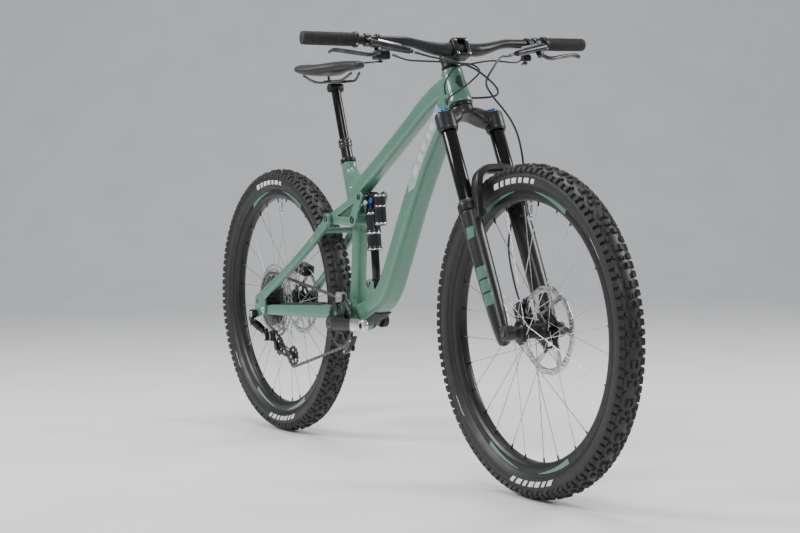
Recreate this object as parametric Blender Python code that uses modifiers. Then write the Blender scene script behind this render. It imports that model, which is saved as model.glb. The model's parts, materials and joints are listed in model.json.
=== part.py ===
"""A full-suspension mountain bike, in metres: +X forward, +Y to the rider's left, +Z up.

The origin is on the ground, midway between the two axles, in the bike's centre plane.
"""
from math import asin, atan2, copysign, cos, pi, radians, sin, sqrt, tau

import bmesh
import bpy
from mathutils import Matrix, Vector

# Driving dimensions
WHEELBASE = 1.250
WHEEL_RADIUS = 0.373
TYRE_WIDTH = 0.062
RIM_INNER_RADIUS = 0.2893
BB_DROP = 0.033
CHAINSTAY_LENGTH = 0.438
HEAD_ANGLE = radians(65)
FORK_LENGTH = 0.567
FORK_OFFSET = 0.044
FORK_TRAVEL = 0.160
LEG_SPACING = 0.131
LEG_FORWARD = 0.0205
STANCHION_RADIUS = 0.018
STEERER_RADIUS = 0.0143
HEAD_TUBE_LOW = 0.017
HEAD_TUBE_HIGH = 0.106
BAR_HEIGHT = 0.1370
BAR_FORWARD = 0.050
BAR_WIDTH = 0.780
BAR_RADIUS = 0.0111
GRIP_LENGTH = 0.135
ROTOR_RADIUS = 0.1015
ROTOR_THICKNESS = 0.002
FRONT_ROTOR_Y = 0.040
REAR_ROTOR_Y = 0.058
FRONT_HUB_HALF = 0.0545
REAR_HUB_HALF = 0.0735
CRANK_LENGTH = 0.175
CHAIN_PITCH = 0.0127
CHAIN_HEIGHT = 0.0086
CHAIN_WIDTH = 0.0050
RING_TEETH = 32
RING_Y = -0.052
SPROCKET_TEETH = (10, 12, 14, 16, 18, 21, 24, 28, 33, 39, 45, 51)
SPROCKET_SPACING = 0.00365
SMALLEST_SPROCKET_Y = -0.067
CHAIN_SPROCKET = 9
GUIDE_PULLEY_TEETH = 12
TENSION_PULLEY_TEETH = 14
SEAT_ANGLE = radians(71.6)
SPOKES = 28
GAP = 0.0004
STEPS = 28

FRONT_AXLE = Vector((WHEELBASE / 2, 0, WHEEL_RADIUS))
REAR_AXLE = Vector((-WHEELBASE / 2, 0, WHEEL_RADIUS))
BB = Vector((REAR_AXLE.x + sqrt(CHAINSTAY_LENGTH**2 - BB_DROP**2), 0, WHEEL_RADIUS - BB_DROP))
UP = Vector((0, 0, 1))
LEFT = Vector((0, 1, 0))
STEER_UP = Vector((-cos(HEAD_ANGLE), 0, sin(HEAD_ANGLE)))
STEER_FORWARD = Vector((sin(HEAD_ANGLE), 0, cos(HEAD_ANGLE)))
LEVER_REACH = Vector((0.62, 0, -0.785)).normalized()
LEVER_AXIS = Vector((0.785, 0, 0.62)).normalized()
CROWN_SEAT = FRONT_AXLE - FORK_OFFSET * STEER_FORWARD + FORK_LENGTH * STEER_UP
SEAT_UP = Vector((-cos(SEAT_ANGLE), 0, sin(SEAT_ANGLE)))


def steer(along, forward=0.0, y=0.0):
    """A point measured from the crown seat: along the steering axis, in front of it, and to the left."""
    return CROWN_SEAT + STEER_UP * along + STEER_FORWARD * forward + LEFT * y


def from_bb(x, z, y=0.0):
    """A point x in front of the bottom bracket, at height z above the ground."""
    return Vector((BB.x + x, y, z))


# Pivots of the rear suspension and of the seat post
MAIN_PIVOT = from_bb(0.008, 0.386)
HORST_PIVOT = from_bb(-0.406, 0.350)
ROCKER_PIVOT = from_bb(0.052, 0.609)
ROCKER_REAR = from_bb(-0.070, 0.610)
ROCKER_FRONT = from_bb(0.090, 0.669)
SHOCK_LOWER = from_bb(0.107, 0.443)
SEAT_TUBE_TOP = from_bb(-0.033, 0.757)
DERAILLEUR_PIVOT = from_bb(-0.446, 0.338)
LINK_END = from_bb(-0.415, 0.2745)
GUIDE_PULLEY = from_bb(-0.405, 0.245)
TENSION_PULLEY = from_bb(-0.315, 0.224)
BAR_CENTRE = steer(BAR_HEIGHT, BAR_FORWARD)


def seat_post(along, forward=0.0, y=0.0):
    """A point measured from the top of the seat tube along the post."""
    return SEAT_TUBE_TOP + SEAT_UP * along + Vector(
        (sin(SEAT_ANGLE), 0, cos(SEAT_ANGLE))
    ) * forward + LEFT * y


for old in list(bpy.data.objects):
    bpy.data.objects.remove(old)
MODEL = bpy.data.collections.new("mountain_bike")
HELPERS = bpy.data.collections.new("cutters")
bpy.context.scene.collection.children.link(MODEL)
bpy.context.scene.collection.children.link(HELPERS)

PAINTS = {
    "frame_green": ((0.115, 0.235, 0.185), 0.38, 0.1),
    "black_gloss": ((0.012, 0.012, 0.013), 0.25, 0.0),
    "black_satin": ((0.02, 0.02, 0.021), 0.45, 0.3),
    "black_rubber": ((0.016, 0.016, 0.016), 0.85, 0.0),
    "tyre_rubber": ((0.020, 0.020, 0.020), 0.9, 0.0),
    "bright_metal": ((0.62, 0.62, 0.63), 0.25, 1.0),
    "dark_metal": ((0.07, 0.07, 0.075), 0.35, 0.9),
    "blue_anodised": ((0.02, 0.18, 0.50), 0.3, 0.8),
    "saddle_cover": ((0.018, 0.018, 0.018), 0.6, 0.0),
}
MATERIALS = {}
for paint_name, (colour, roughness, metallic) in PAINTS.items():
    material = bpy.data.materials.new(paint_name)
    material.use_nodes = True
    shader = material.node_tree.nodes["Principled BSDF"]
    shader.inputs["Base Color"].default_value = (*colour, 1)
    shader.inputs["Roughness"].default_value = roughness
    shader.inputs["Metallic"].default_value = metallic
    material.diffuse_color = (*colour, 1)
    MATERIALS[paint_name] = material


# Shape tools
def aimed(centre, axis):
    """The placing that puts local Z along an axis at a centre."""
    return Matrix.Translation(centre) @ UP.rotation_difference(Vector(axis)).to_matrix().to_4x4()


def add(name, data, paint, placing=None):
    """A new object of the model, with its paint."""
    obj = bpy.data.objects.new(name, data)
    MODEL.objects.link(obj)
    obj.data.materials.append(MATERIALS[paint])
    if placing is not None:
        obj.matrix_world = placing
    return obj


def mesh_of(name, builder, paint, placing=None):
    """An object made from a bmesh that builder fills."""
    shape = bmesh.new()
    builder(shape)
    bmesh.ops.recalc_face_normals(shape, faces=shape.faces)
    mesh = bpy.data.meshes.new(name)
    shape.to_mesh(mesh)
    shape.free()
    obj = add(name, mesh, paint, placing)
    mesh.shade_smooth()
    mesh.set_sharp_from_angle(angle=radians(40))
    return obj


def rod(name, start, end, radius, paint, sides=16, end_radius=None):
    """A round bar from start to end, tapered if end_radius is given."""
    start = Vector(start)
    end = Vector(end)
    last = radius if end_radius is None else end_radius

    def build(shape):
        bmesh.ops.create_cone(
            shape, cap_ends=True, segments=sides, radius1=radius, radius2=last, depth=(end - start).length
        )

    return mesh_of(name, build, paint, aimed((start + end) / 2, (end - start).normalized()))


def cross_rod(name, centre, radius, y_from, y_to, paint, sides=16):
    """A round bar across the bike through a point of the side view."""
    start = Vector((centre.x, y_from, centre.z))
    end = Vector((centre.x, y_to, centre.z))
    return rod(name, start, end, radius, paint, sides)


def block(name, centre, size, paint, along=(1, 0, 0)):
    """A box whose local X points along a direction in the side view."""
    along = Vector(along).normalized()
    across = LEFT - along * LEFT.dot(along)
    across.normalize()
    turn = Matrix((along, across, along.cross(across))).transposed().to_4x4()

    def build(shape):
        bmesh.ops.create_cube(shape, size=1)
        bmesh.ops.scale(shape, vec=size, verts=shape.verts)

    return mesh_of(name, build, paint, Matrix.Translation(centre) @ turn)


def turned(name, profile, centre, axis, paint, steps=STEPS):
    """A solid of revolution about an axis: profile lists (radius, height) round one closed outline."""
    count = len(profile)
    area = 0.0
    for i in range(count):
        (r0, h0), (r1, h1) = profile[i], profile[(i + 1) % count]
        area += r0 * h1 - r1 * h0
    if area > 0:
        profile = profile[::-1]
    edges = []
    for i in range(count):
        if profile[i][0] > 0 or profile[(i + 1) % count][0] > 0:
            edges.append((i, (i + 1) % count))
    mesh = bpy.data.meshes.new(name)
    mesh.from_pydata([(r, 0, h) for r, h in profile], edges, [])
    obj = add(name, mesh, paint, aimed(centre, axis))
    screw = obj.modifiers.new("turn", "SCREW")
    screw.steps = steps
    screw.render_steps = steps
    screw.use_merge_vertices = True
    screw.merge_threshold = 0.00001
    screw.use_smooth_shade = True
    return obj


def ring_points(centre, tangent, side, half_width, half_depth, square, count):
    """A closed rounded section: square 2 is an ellipse, and larger is nearer a box."""
    across = (side - tangent * side.dot(tangent)).normalized()
    depth = tangent.cross(across)
    points = []
    for k in range(count):
        angle = tau * (k + 0.5) / count
        c = copysign(abs(cos(angle)) ** (2 / square), cos(angle))
        s = copysign(abs(sin(angle)) ** (2 / square), sin(angle))
        points.append(centre + across * (half_width * c) + depth * (half_depth * s))
    return points


def loft(name, stations, paint, count=12, side=LEFT):
    """A skin through sections: each station is (centre, half width, half depth, squareness)."""

    def build(shape):
        rings = []
        for i, (centre, half_width, half_depth, square) in enumerate(stations):
            before = stations[max(i - 1, 0)][0]
            after = stations[min(i + 1, len(stations) - 1)][0]
            tangent = (after - before).normalized()
            points = ring_points(centre, tangent, side, half_width, half_depth, square, count)
            rings.append([shape.verts.new(p) for p in points])
        for low, high in zip(rings, rings[1:]):
            for k in range(count):
                shape.faces.new((low[k], low[(k + 1) % count], high[(k + 1) % count], high[k]))
        shape.faces.new(rings[0][::-1])
        shape.faces.new(rings[-1])

    return mesh_of(name, build, paint)


def smooth_path(points, count):
    """Points evenly spaced in parameter along a smooth curve through the given ones."""
    points = [Vector(p) for p in points]
    padded = [2 * points[0] - points[1], *points, 2 * points[-1] - points[-2]]
    found = []
    for k in range(count):
        place = k / (count - 1) * (len(points) - 1)
        i = min(int(place), len(points) - 2)
        t = place - i
        a, b, c, d = padded[i : i + 4]
        found.append(
            0.5 * (
                2 * b + (c - a) * t + (2 * a - 5 * b + 4 * c - d) * t**2 + (3 * b - a - 3 * c + d) * t**3
            )
        )
    return found


def as_mesh(curve, paint):
    """A mesh object in the place of a curve, its caps joined to its sides."""
    bpy.context.view_layer.update()
    mesh = bpy.data.meshes.new_from_object(curve.evaluated_get(bpy.context.evaluated_depsgraph_get()))
    shape = bmesh.new()
    shape.from_mesh(mesh)
    bmesh.ops.remove_doubles(shape, verts=shape.verts, dist=0.00001)
    bmesh.ops.recalc_face_normals(shape, faces=shape.faces)
    shape.to_mesh(mesh)
    shape.free()
    name = curve.name
    placing = curve.matrix_world.copy()
    bpy.data.objects.remove(curve)
    mesh.materials.clear()
    obj = add(name, mesh, paint, placing)
    obj.name = name
    return obj


def tube(name, points, radius, paint, radii=None, closed=False):
    """A round bar along points, as a curve with a bevel; radii scale it from point to point."""
    curve = bpy.data.curves.new(name, "CURVE")
    curve.dimensions = "3D"
    curve.bevel_depth = radius
    curve.bevel_resolution = 2
    curve.use_fill_caps = not closed
    spline = curve.splines.new("POLY")
    spline.points.add(len(points) - 1)
    for i, point in enumerate(points):
        spline.points[i].co = (*point, 1)
        if radii is not None:
            spline.points[i].radius = radii[i]
    spline.use_cyclic_u = closed
    return add(name, curve, paint)


def plate(name, outlines, thickness, centre, paint):
    """A flat plate in the side view: the first outline is its edge and the others are holes."""
    curve = bpy.data.curves.new(name, "CURVE")
    curve.dimensions = "2D"
    curve.fill_mode = "BOTH"
    curve.extrude = thickness / 2
    for outline in outlines:
        spline = curve.splines.new("POLY")
        spline.points.add(len(outline) - 1)
        for i, (x, z) in enumerate(outline):
            spline.points[i].co = (x, z, 0, 1)
        spline.use_cyclic_u = True
    obj = add(name, curve, paint)
    obj.matrix_world = Matrix.Translation(centre) @ Matrix.Rotation(pi / 2, 4, "X")
    return as_mesh(obj, paint)


def arc(radius, start, end, count, x=0.0, z=0.0):
    """Points of a circle's arc, in degrees, both ends included."""
    found = []
    for k in range(count):
        angle = radians(start + (end - start) * k / (count - 1))
        found.append((x + radius * cos(angle), z + radius * sin(angle)))
    return found


def circle(radius, count, x=0.0, z=0.0):
    return arc(radius, 0, 360 - 360 / count, count, x, z)


def unite(first, *others):
    """Joins shapes into one solid; the joined ones become helpers."""
    for other in others:
        combine(first, other, "UNION")
    return first


def cut(first, *cutters):
    """Takes shapes away from a solid."""
    for cutter in cutters:
        combine(first, cutter, "DIFFERENCE")
    return first


def combine(first, other, operation):
    modifier = first.modifiers.new(operation.lower(), "BOOLEAN")
    modifier.operation = operation
    modifier.object = other
    other.hide_render = True
    other.display_type = "WIRE"
    if other.name in MODEL.objects:
        MODEL.objects.unlink(other)
        HELPERS.objects.link(other)


# Wheels
def tyre(name, axle):
    """A hollow tyre whose two beads leave it open towards the rim."""
    half = TYRE_WIDTH / 2
    outside = [
        (0.3112, 0.0149), (0.3175, 0.0153), (0.3420, half), (0.3620, half * 0.90),
        (WHEEL_RADIUS, half * 0.40),
    ]
    inside = [(0.3112, 0.0110), (0.3290, 0.0190), (0.3600, 0.0170)]
    profile = [(r, -h) for r, h in outside] + [(r, h) for r, h in reversed(outside)]
    profile += list(inside) + [(r, -h) for r, h in reversed(inside)]
    return turned(name, profile, axle, LEFT, "tyre_rubber")


def rim(name, axle):
    """A hooked rim with its valve stem."""
    half = [(0.3165, 0.0176), (0.2990, 0.0165), (RIM_INNER_RADIUS, 0.0095)]
    well = [(0.3165, 0.0156), (0.3106, 0.0153)]
    profile = half + [(r, -h) for r, h in reversed(half)] + [(r, -h) for r, h in well]
    profile += [(r, h) for r, h in reversed(well)]
    ring = turned(name, profile, axle, LEFT, "black_gloss")
    stem = rod(name + "_valve", axle + UP * 0.2560, axle + UP * 0.2960, 0.0030, "dark_metal", 8)
    return unite(ring, stem)


def hub_spokes(name, axle, bore, profile, flanges):
    """A hub shell with its spokes laced to both flanges; they stop just short of the rim."""
    outline = [(r, y) for y, r in profile] + [(bore, profile[-1][0]), (bore, profile[0][0])]
    hub = turned(name, outline, axle, LEFT, "dark_metal", 14)

    def build(shape):
        for j in range(SPOKES):
            flange_y, flange_radius = flanges[j % 2]
            lean = 1.15 if (j // 2) % 2 else -1.15
            rim_angle = tau * (j + 0.5) / SPOKES
            hub_angle = rim_angle + lean
            outward = 0.0016 if (j // 2) % 2 else -0.0016
            start = Vector(
                (cos(hub_angle) * flange_radius, flange_y + outward, sin(hub_angle) * flange_radius)
            )
            reach = RIM_INNER_RADIUS * cos(pi / STEPS) - 0.0013
            rim_y = copysign(0.003, flange_y)
            end = Vector((cos(rim_angle) * reach, rim_y, sin(rim_angle) * reach))
            placing = aimed((start + end) / 2, (end - start).normalized())
            bmesh.ops.create_cone(
                shape, cap_ends=True, segments=3, radius1=0.0012, radius2=0.0012,
                depth=(end - start).length, matrix=placing,
            )

    spokes = mesh_of(name + "_spokes", build, "bright_metal", Matrix.Translation(axle))
    return unite(hub, spokes)


def rotor(name, axle, y, hub_radius):
    """A brake rotor: a braking band on six arms round a centre ring."""
    centre_ring = 0.030
    band = 0.084
    holes = [circle(hub_radius, 20)]
    for k in range(6):
        start = 60 * k + 8
        end = 60 * k + 52
        holes.append(arc(band, start, end, 5) + arc(centre_ring, end - 6, start + 6, 3))
    disc = plate(
        name, [circle(ROTOR_RADIUS, 40)] + holes, ROTOR_THICKNESS, axle + LEFT * y, "bright_metal"
    )
    return disc


def front_wheel():
    tyre("front_tyre", FRONT_AXLE)
    rim("front_rim", FRONT_AXLE)
    half = FRONT_HUB_HALF
    profile = [
        (-half, 0.0115), (-0.040, 0.0115), (-0.0345, 0.0285), (-0.0315, 0.0285), (-0.026, 0.0160),
        (0.016, 0.0160), (0.0225, 0.0295), (0.0255, 0.0295), (0.030, 0.0220), (0.0385, 0.0220),
        (0.0386, 0.0155), (half, 0.0115),
    ]
    hub_spokes("front_hub_spokes", FRONT_AXLE, 0.0080, profile, ((-0.033, 0.0255), (0.024, 0.0265)))
    rotor("front_rotor", FRONT_AXLE, FRONT_ROTOR_Y, 0.0160)
    axle = cross_rod("front_axle", FRONT_AXLE, 0.0075, -0.0815, 0.0790, "dark_metal")
    head = cross_rod("front_axle_head", FRONT_AXLE, 0.0105, 0.0788, 0.0820, "dark_metal")
    unite(axle, head)


def rear_wheel():
    tyre("rear_tyre", REAR_AXLE)
    rim("rear_rim", REAR_AXLE)
    half = REAR_HUB_HALF
    profile = [
        (-half, 0.0120), (-0.0255, 0.0120), (-0.0245, 0.0240), (-0.0235, 0.0290), (-0.0205, 0.0290),
        (-0.015, 0.0175), (0.026, 0.0160), (0.0335, 0.0290), (0.0365, 0.0290), (0.043, 0.0220),
        (0.0565, 0.0220), (0.0566, 0.0155), (half, 0.0120),
    ]
    hub_spokes("rear_hub_spokes", REAR_AXLE, 0.0065, profile, ((-0.022, 0.0262), (0.035, 0.0262)))
    rotor("rear_rotor", REAR_AXLE, REAR_ROTOR_Y, 0.0160)
    axle = cross_rod("rear_axle", REAR_AXLE, 0.0060, -0.0860, 0.0870, "dark_metal")
    head = cross_rod("rear_axle_head", REAR_AXLE, 0.0095, 0.0868, 0.0900, "dark_metal")
    unite(axle, head)


# Drivetrain
def pitch_radius(teeth):
    return CHAIN_PITCH / (2 * sin(pi / teeth))


def sprocket_y(index):
    return SMALLEST_SPROCKET_Y + SPROCKET_SPACING * index


def cassette():
    """Twelve sprockets as one stepped block; the step under the chain stays below its rollers."""
    steps = []
    for i, teeth in enumerate(SPROCKET_TEETH):
        radius = pitch_radius(teeth) + 0.0015
        if i == CHAIN_SPROCKET:
            radius = pitch_radius(teeth) - CHAIN_HEIGHT / 2 - GAP
        face = sprocket_y(i) - 0.0008
        next_face = sprocket_y(i + 1) - 0.0008
        if i + 1 == len(SPROCKET_TEETH):
            next_face = face + 0.0018
        steps += [(radius, face), (radius, next_face)]
    bore = 0.0125
    profile = steps + [(bore, steps[-1][1]), (bore, steps[0][1])]
    turned("cassette", profile, REAR_AXLE, LEFT, "dark_metal", 20)


def chain_centre_line():
    """The chain's closed path: each wheel it turns on, and straight runs that touch both."""
    sprocket = SPROCKET_TEETH[CHAIN_SPROCKET]
    back_y = sprocket_y(CHAIN_SPROCKET)
    wheels = [
        (BB, pitch_radius(RING_TEETH), -1, RING_Y, 16),
        (TENSION_PULLEY, pitch_radius(TENSION_PULLEY_TEETH), -1, back_y, 8),
        (GUIDE_PULLEY, pitch_radius(GUIDE_PULLEY_TEETH), 1, back_y, 6),
        (REAR_AXLE, pitch_radius(sprocket), -1, back_y, 16),
    ]
    angles = []
    for (here, here_radius, here_turn, _, _), (there, there_radius, there_turn, _, _) in zip(
        wheels, wheels[1:] + wheels[:1]
    ):
        dx = there.x - here.x
        dz = there.z - here.z
        distance = sqrt(dx * dx + dz * dz)
        slope = atan2(dz, dx) - asin((there_turn * there_radius - here_turn * here_radius) / distance)
        angles.append(slope)
    path = []
    for i, (centre, radius, turn, y, count) in enumerate(wheels):
        start = angles[i - 1] - turn * pi / 2
        end = angles[i] - turn * pi / 2
        sweep = (end - start) * turn % tau
        corner_radius = radius / cos(sweep / (count - 1) / 2)
        for k in range(count):
            angle = start + turn * sweep * k / (count - 1)
            path.append(
                Vector((centre.x + corner_radius * cos(angle), y, centre.z + corner_radius * sin(angle)))
            )
    return path


def chain():
    """The chain as one closed band of its own width and height."""
    path = chain_centre_line()

    def build(shape):
        rings = []
        for i, point in enumerate(path):
            ahead = path[(i + 1) % len(path)] - path[i - 1]
            ahead.y = 0
            outward = ahead.normalized().cross(LEFT) * (CHAIN_HEIGHT / 2)
            across = LEFT * (CHAIN_WIDTH / 2)
            corners = (outward + across, outward - across, -outward - across, -outward + across)
            rings.append([shape.verts.new(point + corner) for corner in corners])
        for low, high in zip(rings, rings[1:] + rings[:1]):
            for k in range(4):
                shape.faces.new((low[k], low[(k + 1) % 4], high[(k + 1) % 4], high[k]))

    mesh_of("chain", build, "dark_metal")


def cranks():
    """The right arm carries the spindle, and the left arm clamps on its end."""
    lean = radians(2)
    reach = Vector((cos(lean), 0, sin(lean))) * CRANK_LENGTH
    pedal_hole = 0.0072
    arms = {}
    for side, name, tip in ((-1, "crank_arm_right", BB + reach), (1, "crank_arm_left", BB - reach)):
        inner = 0.0680
        root = BB + LEFT * side * (inner + 0.009)
        end = tip + LEFT * side * (inner + 0.0115)
        arm = loft(
            name,
            [
                (root, 0.0090, 0.0185, 3), (root.lerp(end, 0.15), 0.0085, 0.0175, 3),
                (root.lerp(end, 0.45), 0.0075, 0.0155, 3), (root.lerp(end, 0.72), 0.0075, 0.0170, 3),
                (root.lerp(end, 1.0), 0.0070, 0.0150, 3),
            ],
            "black_satin", 12,
        )
        boss = cross_rod(
            name + "_boss", BB, 0.0200, side * (inner + 0.0005), side * (inner + 0.0180), "black_satin"
        )
        eye = cross_rod(
            name + "_eye", tip, 0.0160, side * (inner + 0.0045), side * (inner + 0.0195), "bright_metal"
        )
        hole = cross_rod(name + "_hole", tip, pedal_hole, side * 0.05, side * 0.10, "bright_metal", 16)
        unite(arm, boss, eye)
        cut(arm, hole)
        arms[side] = arm
    spindle = cross_rod("spindle", BB, 0.0120, -0.0700, 0.0850, "dark_metal")
    unite(arms[-1], spindle)
    cut(arms[1], cross_rod("spindle_clearance", BB, 0.0124, 0.0500, 0.0870, "dark_metal"))


def chainring():
    """A direct-mount ring: the rim below the chain's rollers, on a spoked centre."""
    outer = pitch_radius(RING_TEETH) - CHAIN_HEIGHT / 2 - GAP
    holes = [circle(0.0124, 20)]
    for k in range(6):
        start = 60 * k + 8
        end = 60 * k + 52
        holes.append(arc(0.0520, start, end, 4) + arc(0.0290, end - 6, start + 6, 3))
    ring = plate("chainring", [circle(outer, STEPS)] + holes, 0.0040, BB + LEFT * RING_Y, "black_satin")
    hub = turned(
        "chainring_hub", [(0.0124, -0.0675), (0.0200, -0.0675), (0.0240, -0.0500), (0.0124, -0.0500)],
        BB, LEFT, "black_satin", 20,
    )
    unite(ring, hub)


def chain_guide():
    """A ring round the bearing cup, an arm to the upper slider and one to the lower guard."""
    y = -0.0444
    thickness = 0.0022
    ring = plate(
        "chain_guide", [circle(0.0258, 20), circle(0.0226, 20)], thickness, BB + LEFT * y, "black_satin"
    )
    arm = block("guide_arm", BB + Vector((0.012, y, 0.0550)), (0.016, thickness, 0.062), "black_satin")
    top = pitch_radius(RING_TEETH)
    slider = block(
        "guide_slider", BB + Vector((0.008, -0.0520, top + 0.003)), (0.034, 0.0174, 0.028), "black_satin"
    )
    channel = block(
        "guide_channel", BB + Vector((0.008, -0.0520, top)), (0.060, 0.0085, 0.0140), "black_satin"
    )
    ring_room = block(
        "guide_ring_room", BB + Vector(
            (0.008, -0.0520, top - 0.013)
        ), (0.06, 0.0072, 0.018), "black_satin"
    )
    lower_arm = block(
        "guide_lower_arm", BB + Vector((0.035, y, -0.044)), (
            0.068, thickness, 0.018
        ), "black_satin", (0.62, 0, -0.78)
    )
    guard_outline = arc(0.0830, -75, -22, 8) + arc(0.0740, -22, -75, 8)
    guard = plate("guide_guard", [guard_outline], 0.0160, BB + LEFT * -0.0515, "black_satin")
    cut(slider, channel, ring_room)
    unite(ring, arm, slider, lower_arm, guard)


def pulley(name, centre, teeth):
    """A derailleur pulley below the chain's rollers."""
    y = sprocket_y(CHAIN_SPROCKET)
    outer = pitch_radius(teeth) - CHAIN_HEIGHT / 2 - GAP
    profile = [(0.0034, -0.0019), (outer, -0.0019), (outer, 0.0019), (0.0034, 0.0019)]
    turned(name, profile, centre + LEFT * y, LEFT, "black_satin", 20)


def derailleur():
    """Mount on the hanger, outer link, lower knuckle, cage and its two pulleys."""
    y = sprocket_y(CHAIN_SPROCKET)
    mount = cross_rod("derailleur_mount", DERAILLEUR_PIVOT, 0.0130, -0.1020, -0.0868, "black_satin")
    nose = DERAILLEUR_PIVOT + Vector((-0.012, 0, -0.014))
    lug = loft(
        "mount_lug",
        [
            (DERAILLEUR_PIVOT + LEFT * -0.0945, 0.0065, 0.0110, 3),
            (nose + LEFT * -0.0945, 0.0060, 0.0080, 3)
        ],
        "black_satin", 10,
    )
    unite(mount, lug)
    link_start = nose + Vector((0.0065, -0.0900, -0.0105))
    link_end = LINK_END + Vector((-0.011, -0.0700, 0.0140))
    loft(
        "derailleur_link",
        [
            (link_start, 0.0100, 0.0050, 3), (link_start.lerp(link_end, 0.5), 0.0115, 0.0075, 3),
            (link_end, 0.0085, 0.0050, 3)
        ],
        "black_satin", 10,
    )
    knuckle = cross_rod("derailleur_knuckle", LINK_END, 0.0155, -0.0800, -0.0480, "black_satin")
    cut(
        knuckle, block(
            "knuckle_room", link_end + Vector(
                (-0.004, 0.002, 0.008)
            ), (0.036, 0.0250, 0.0290), "black_satin"
        )
    )
    along = (TENSION_PULLEY - GUIDE_PULLEY).normalized()
    start = GUIDE_PULLEY
    outer_plate = loft(
        "derailleur_cage",
        [
            (start - along * 0.012 + LEFT * (y - 0.0075), 0.0010, 0.0110, 5),
            (start + along * 0.030 + LEFT * (y - 0.0075), 0.0010, 0.0125, 5),
            (TENSION_PULLEY + along * 0.012 + LEFT * (y - 0.0075), 0.0010, 0.0090, 5),
        ],
        "black_satin", 12,
    )
    inner_plate = loft(
        "cage_inner",
        [
            (start - along * 0.010 + LEFT * (y + 0.0075), 0.0010, 0.0085, 5),
            (TENSION_PULLEY + along * 0.010 + LEFT * (y + 0.0075), 0.0010, 0.0085, 5),
        ],
        "black_satin", 12,
    )
    bolts = [
        cross_rod("guide_bolt", GUIDE_PULLEY, 0.0030, y - 0.0080, y + 0.0080, "dark_metal", 10),
        cross_rod("tension_bolt", TENSION_PULLEY, 0.0030, y - 0.0080, y + 0.0080, "dark_metal", 10),
    ]
    unite(outer_plate, inner_plate, *bolts)
    pulley("guide_pulley", GUIDE_PULLEY, GUIDE_PULLEY_TEETH)
    pulley("tension_pulley", TENSION_PULLEY, TENSION_PULLEY_TEETH)


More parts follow.
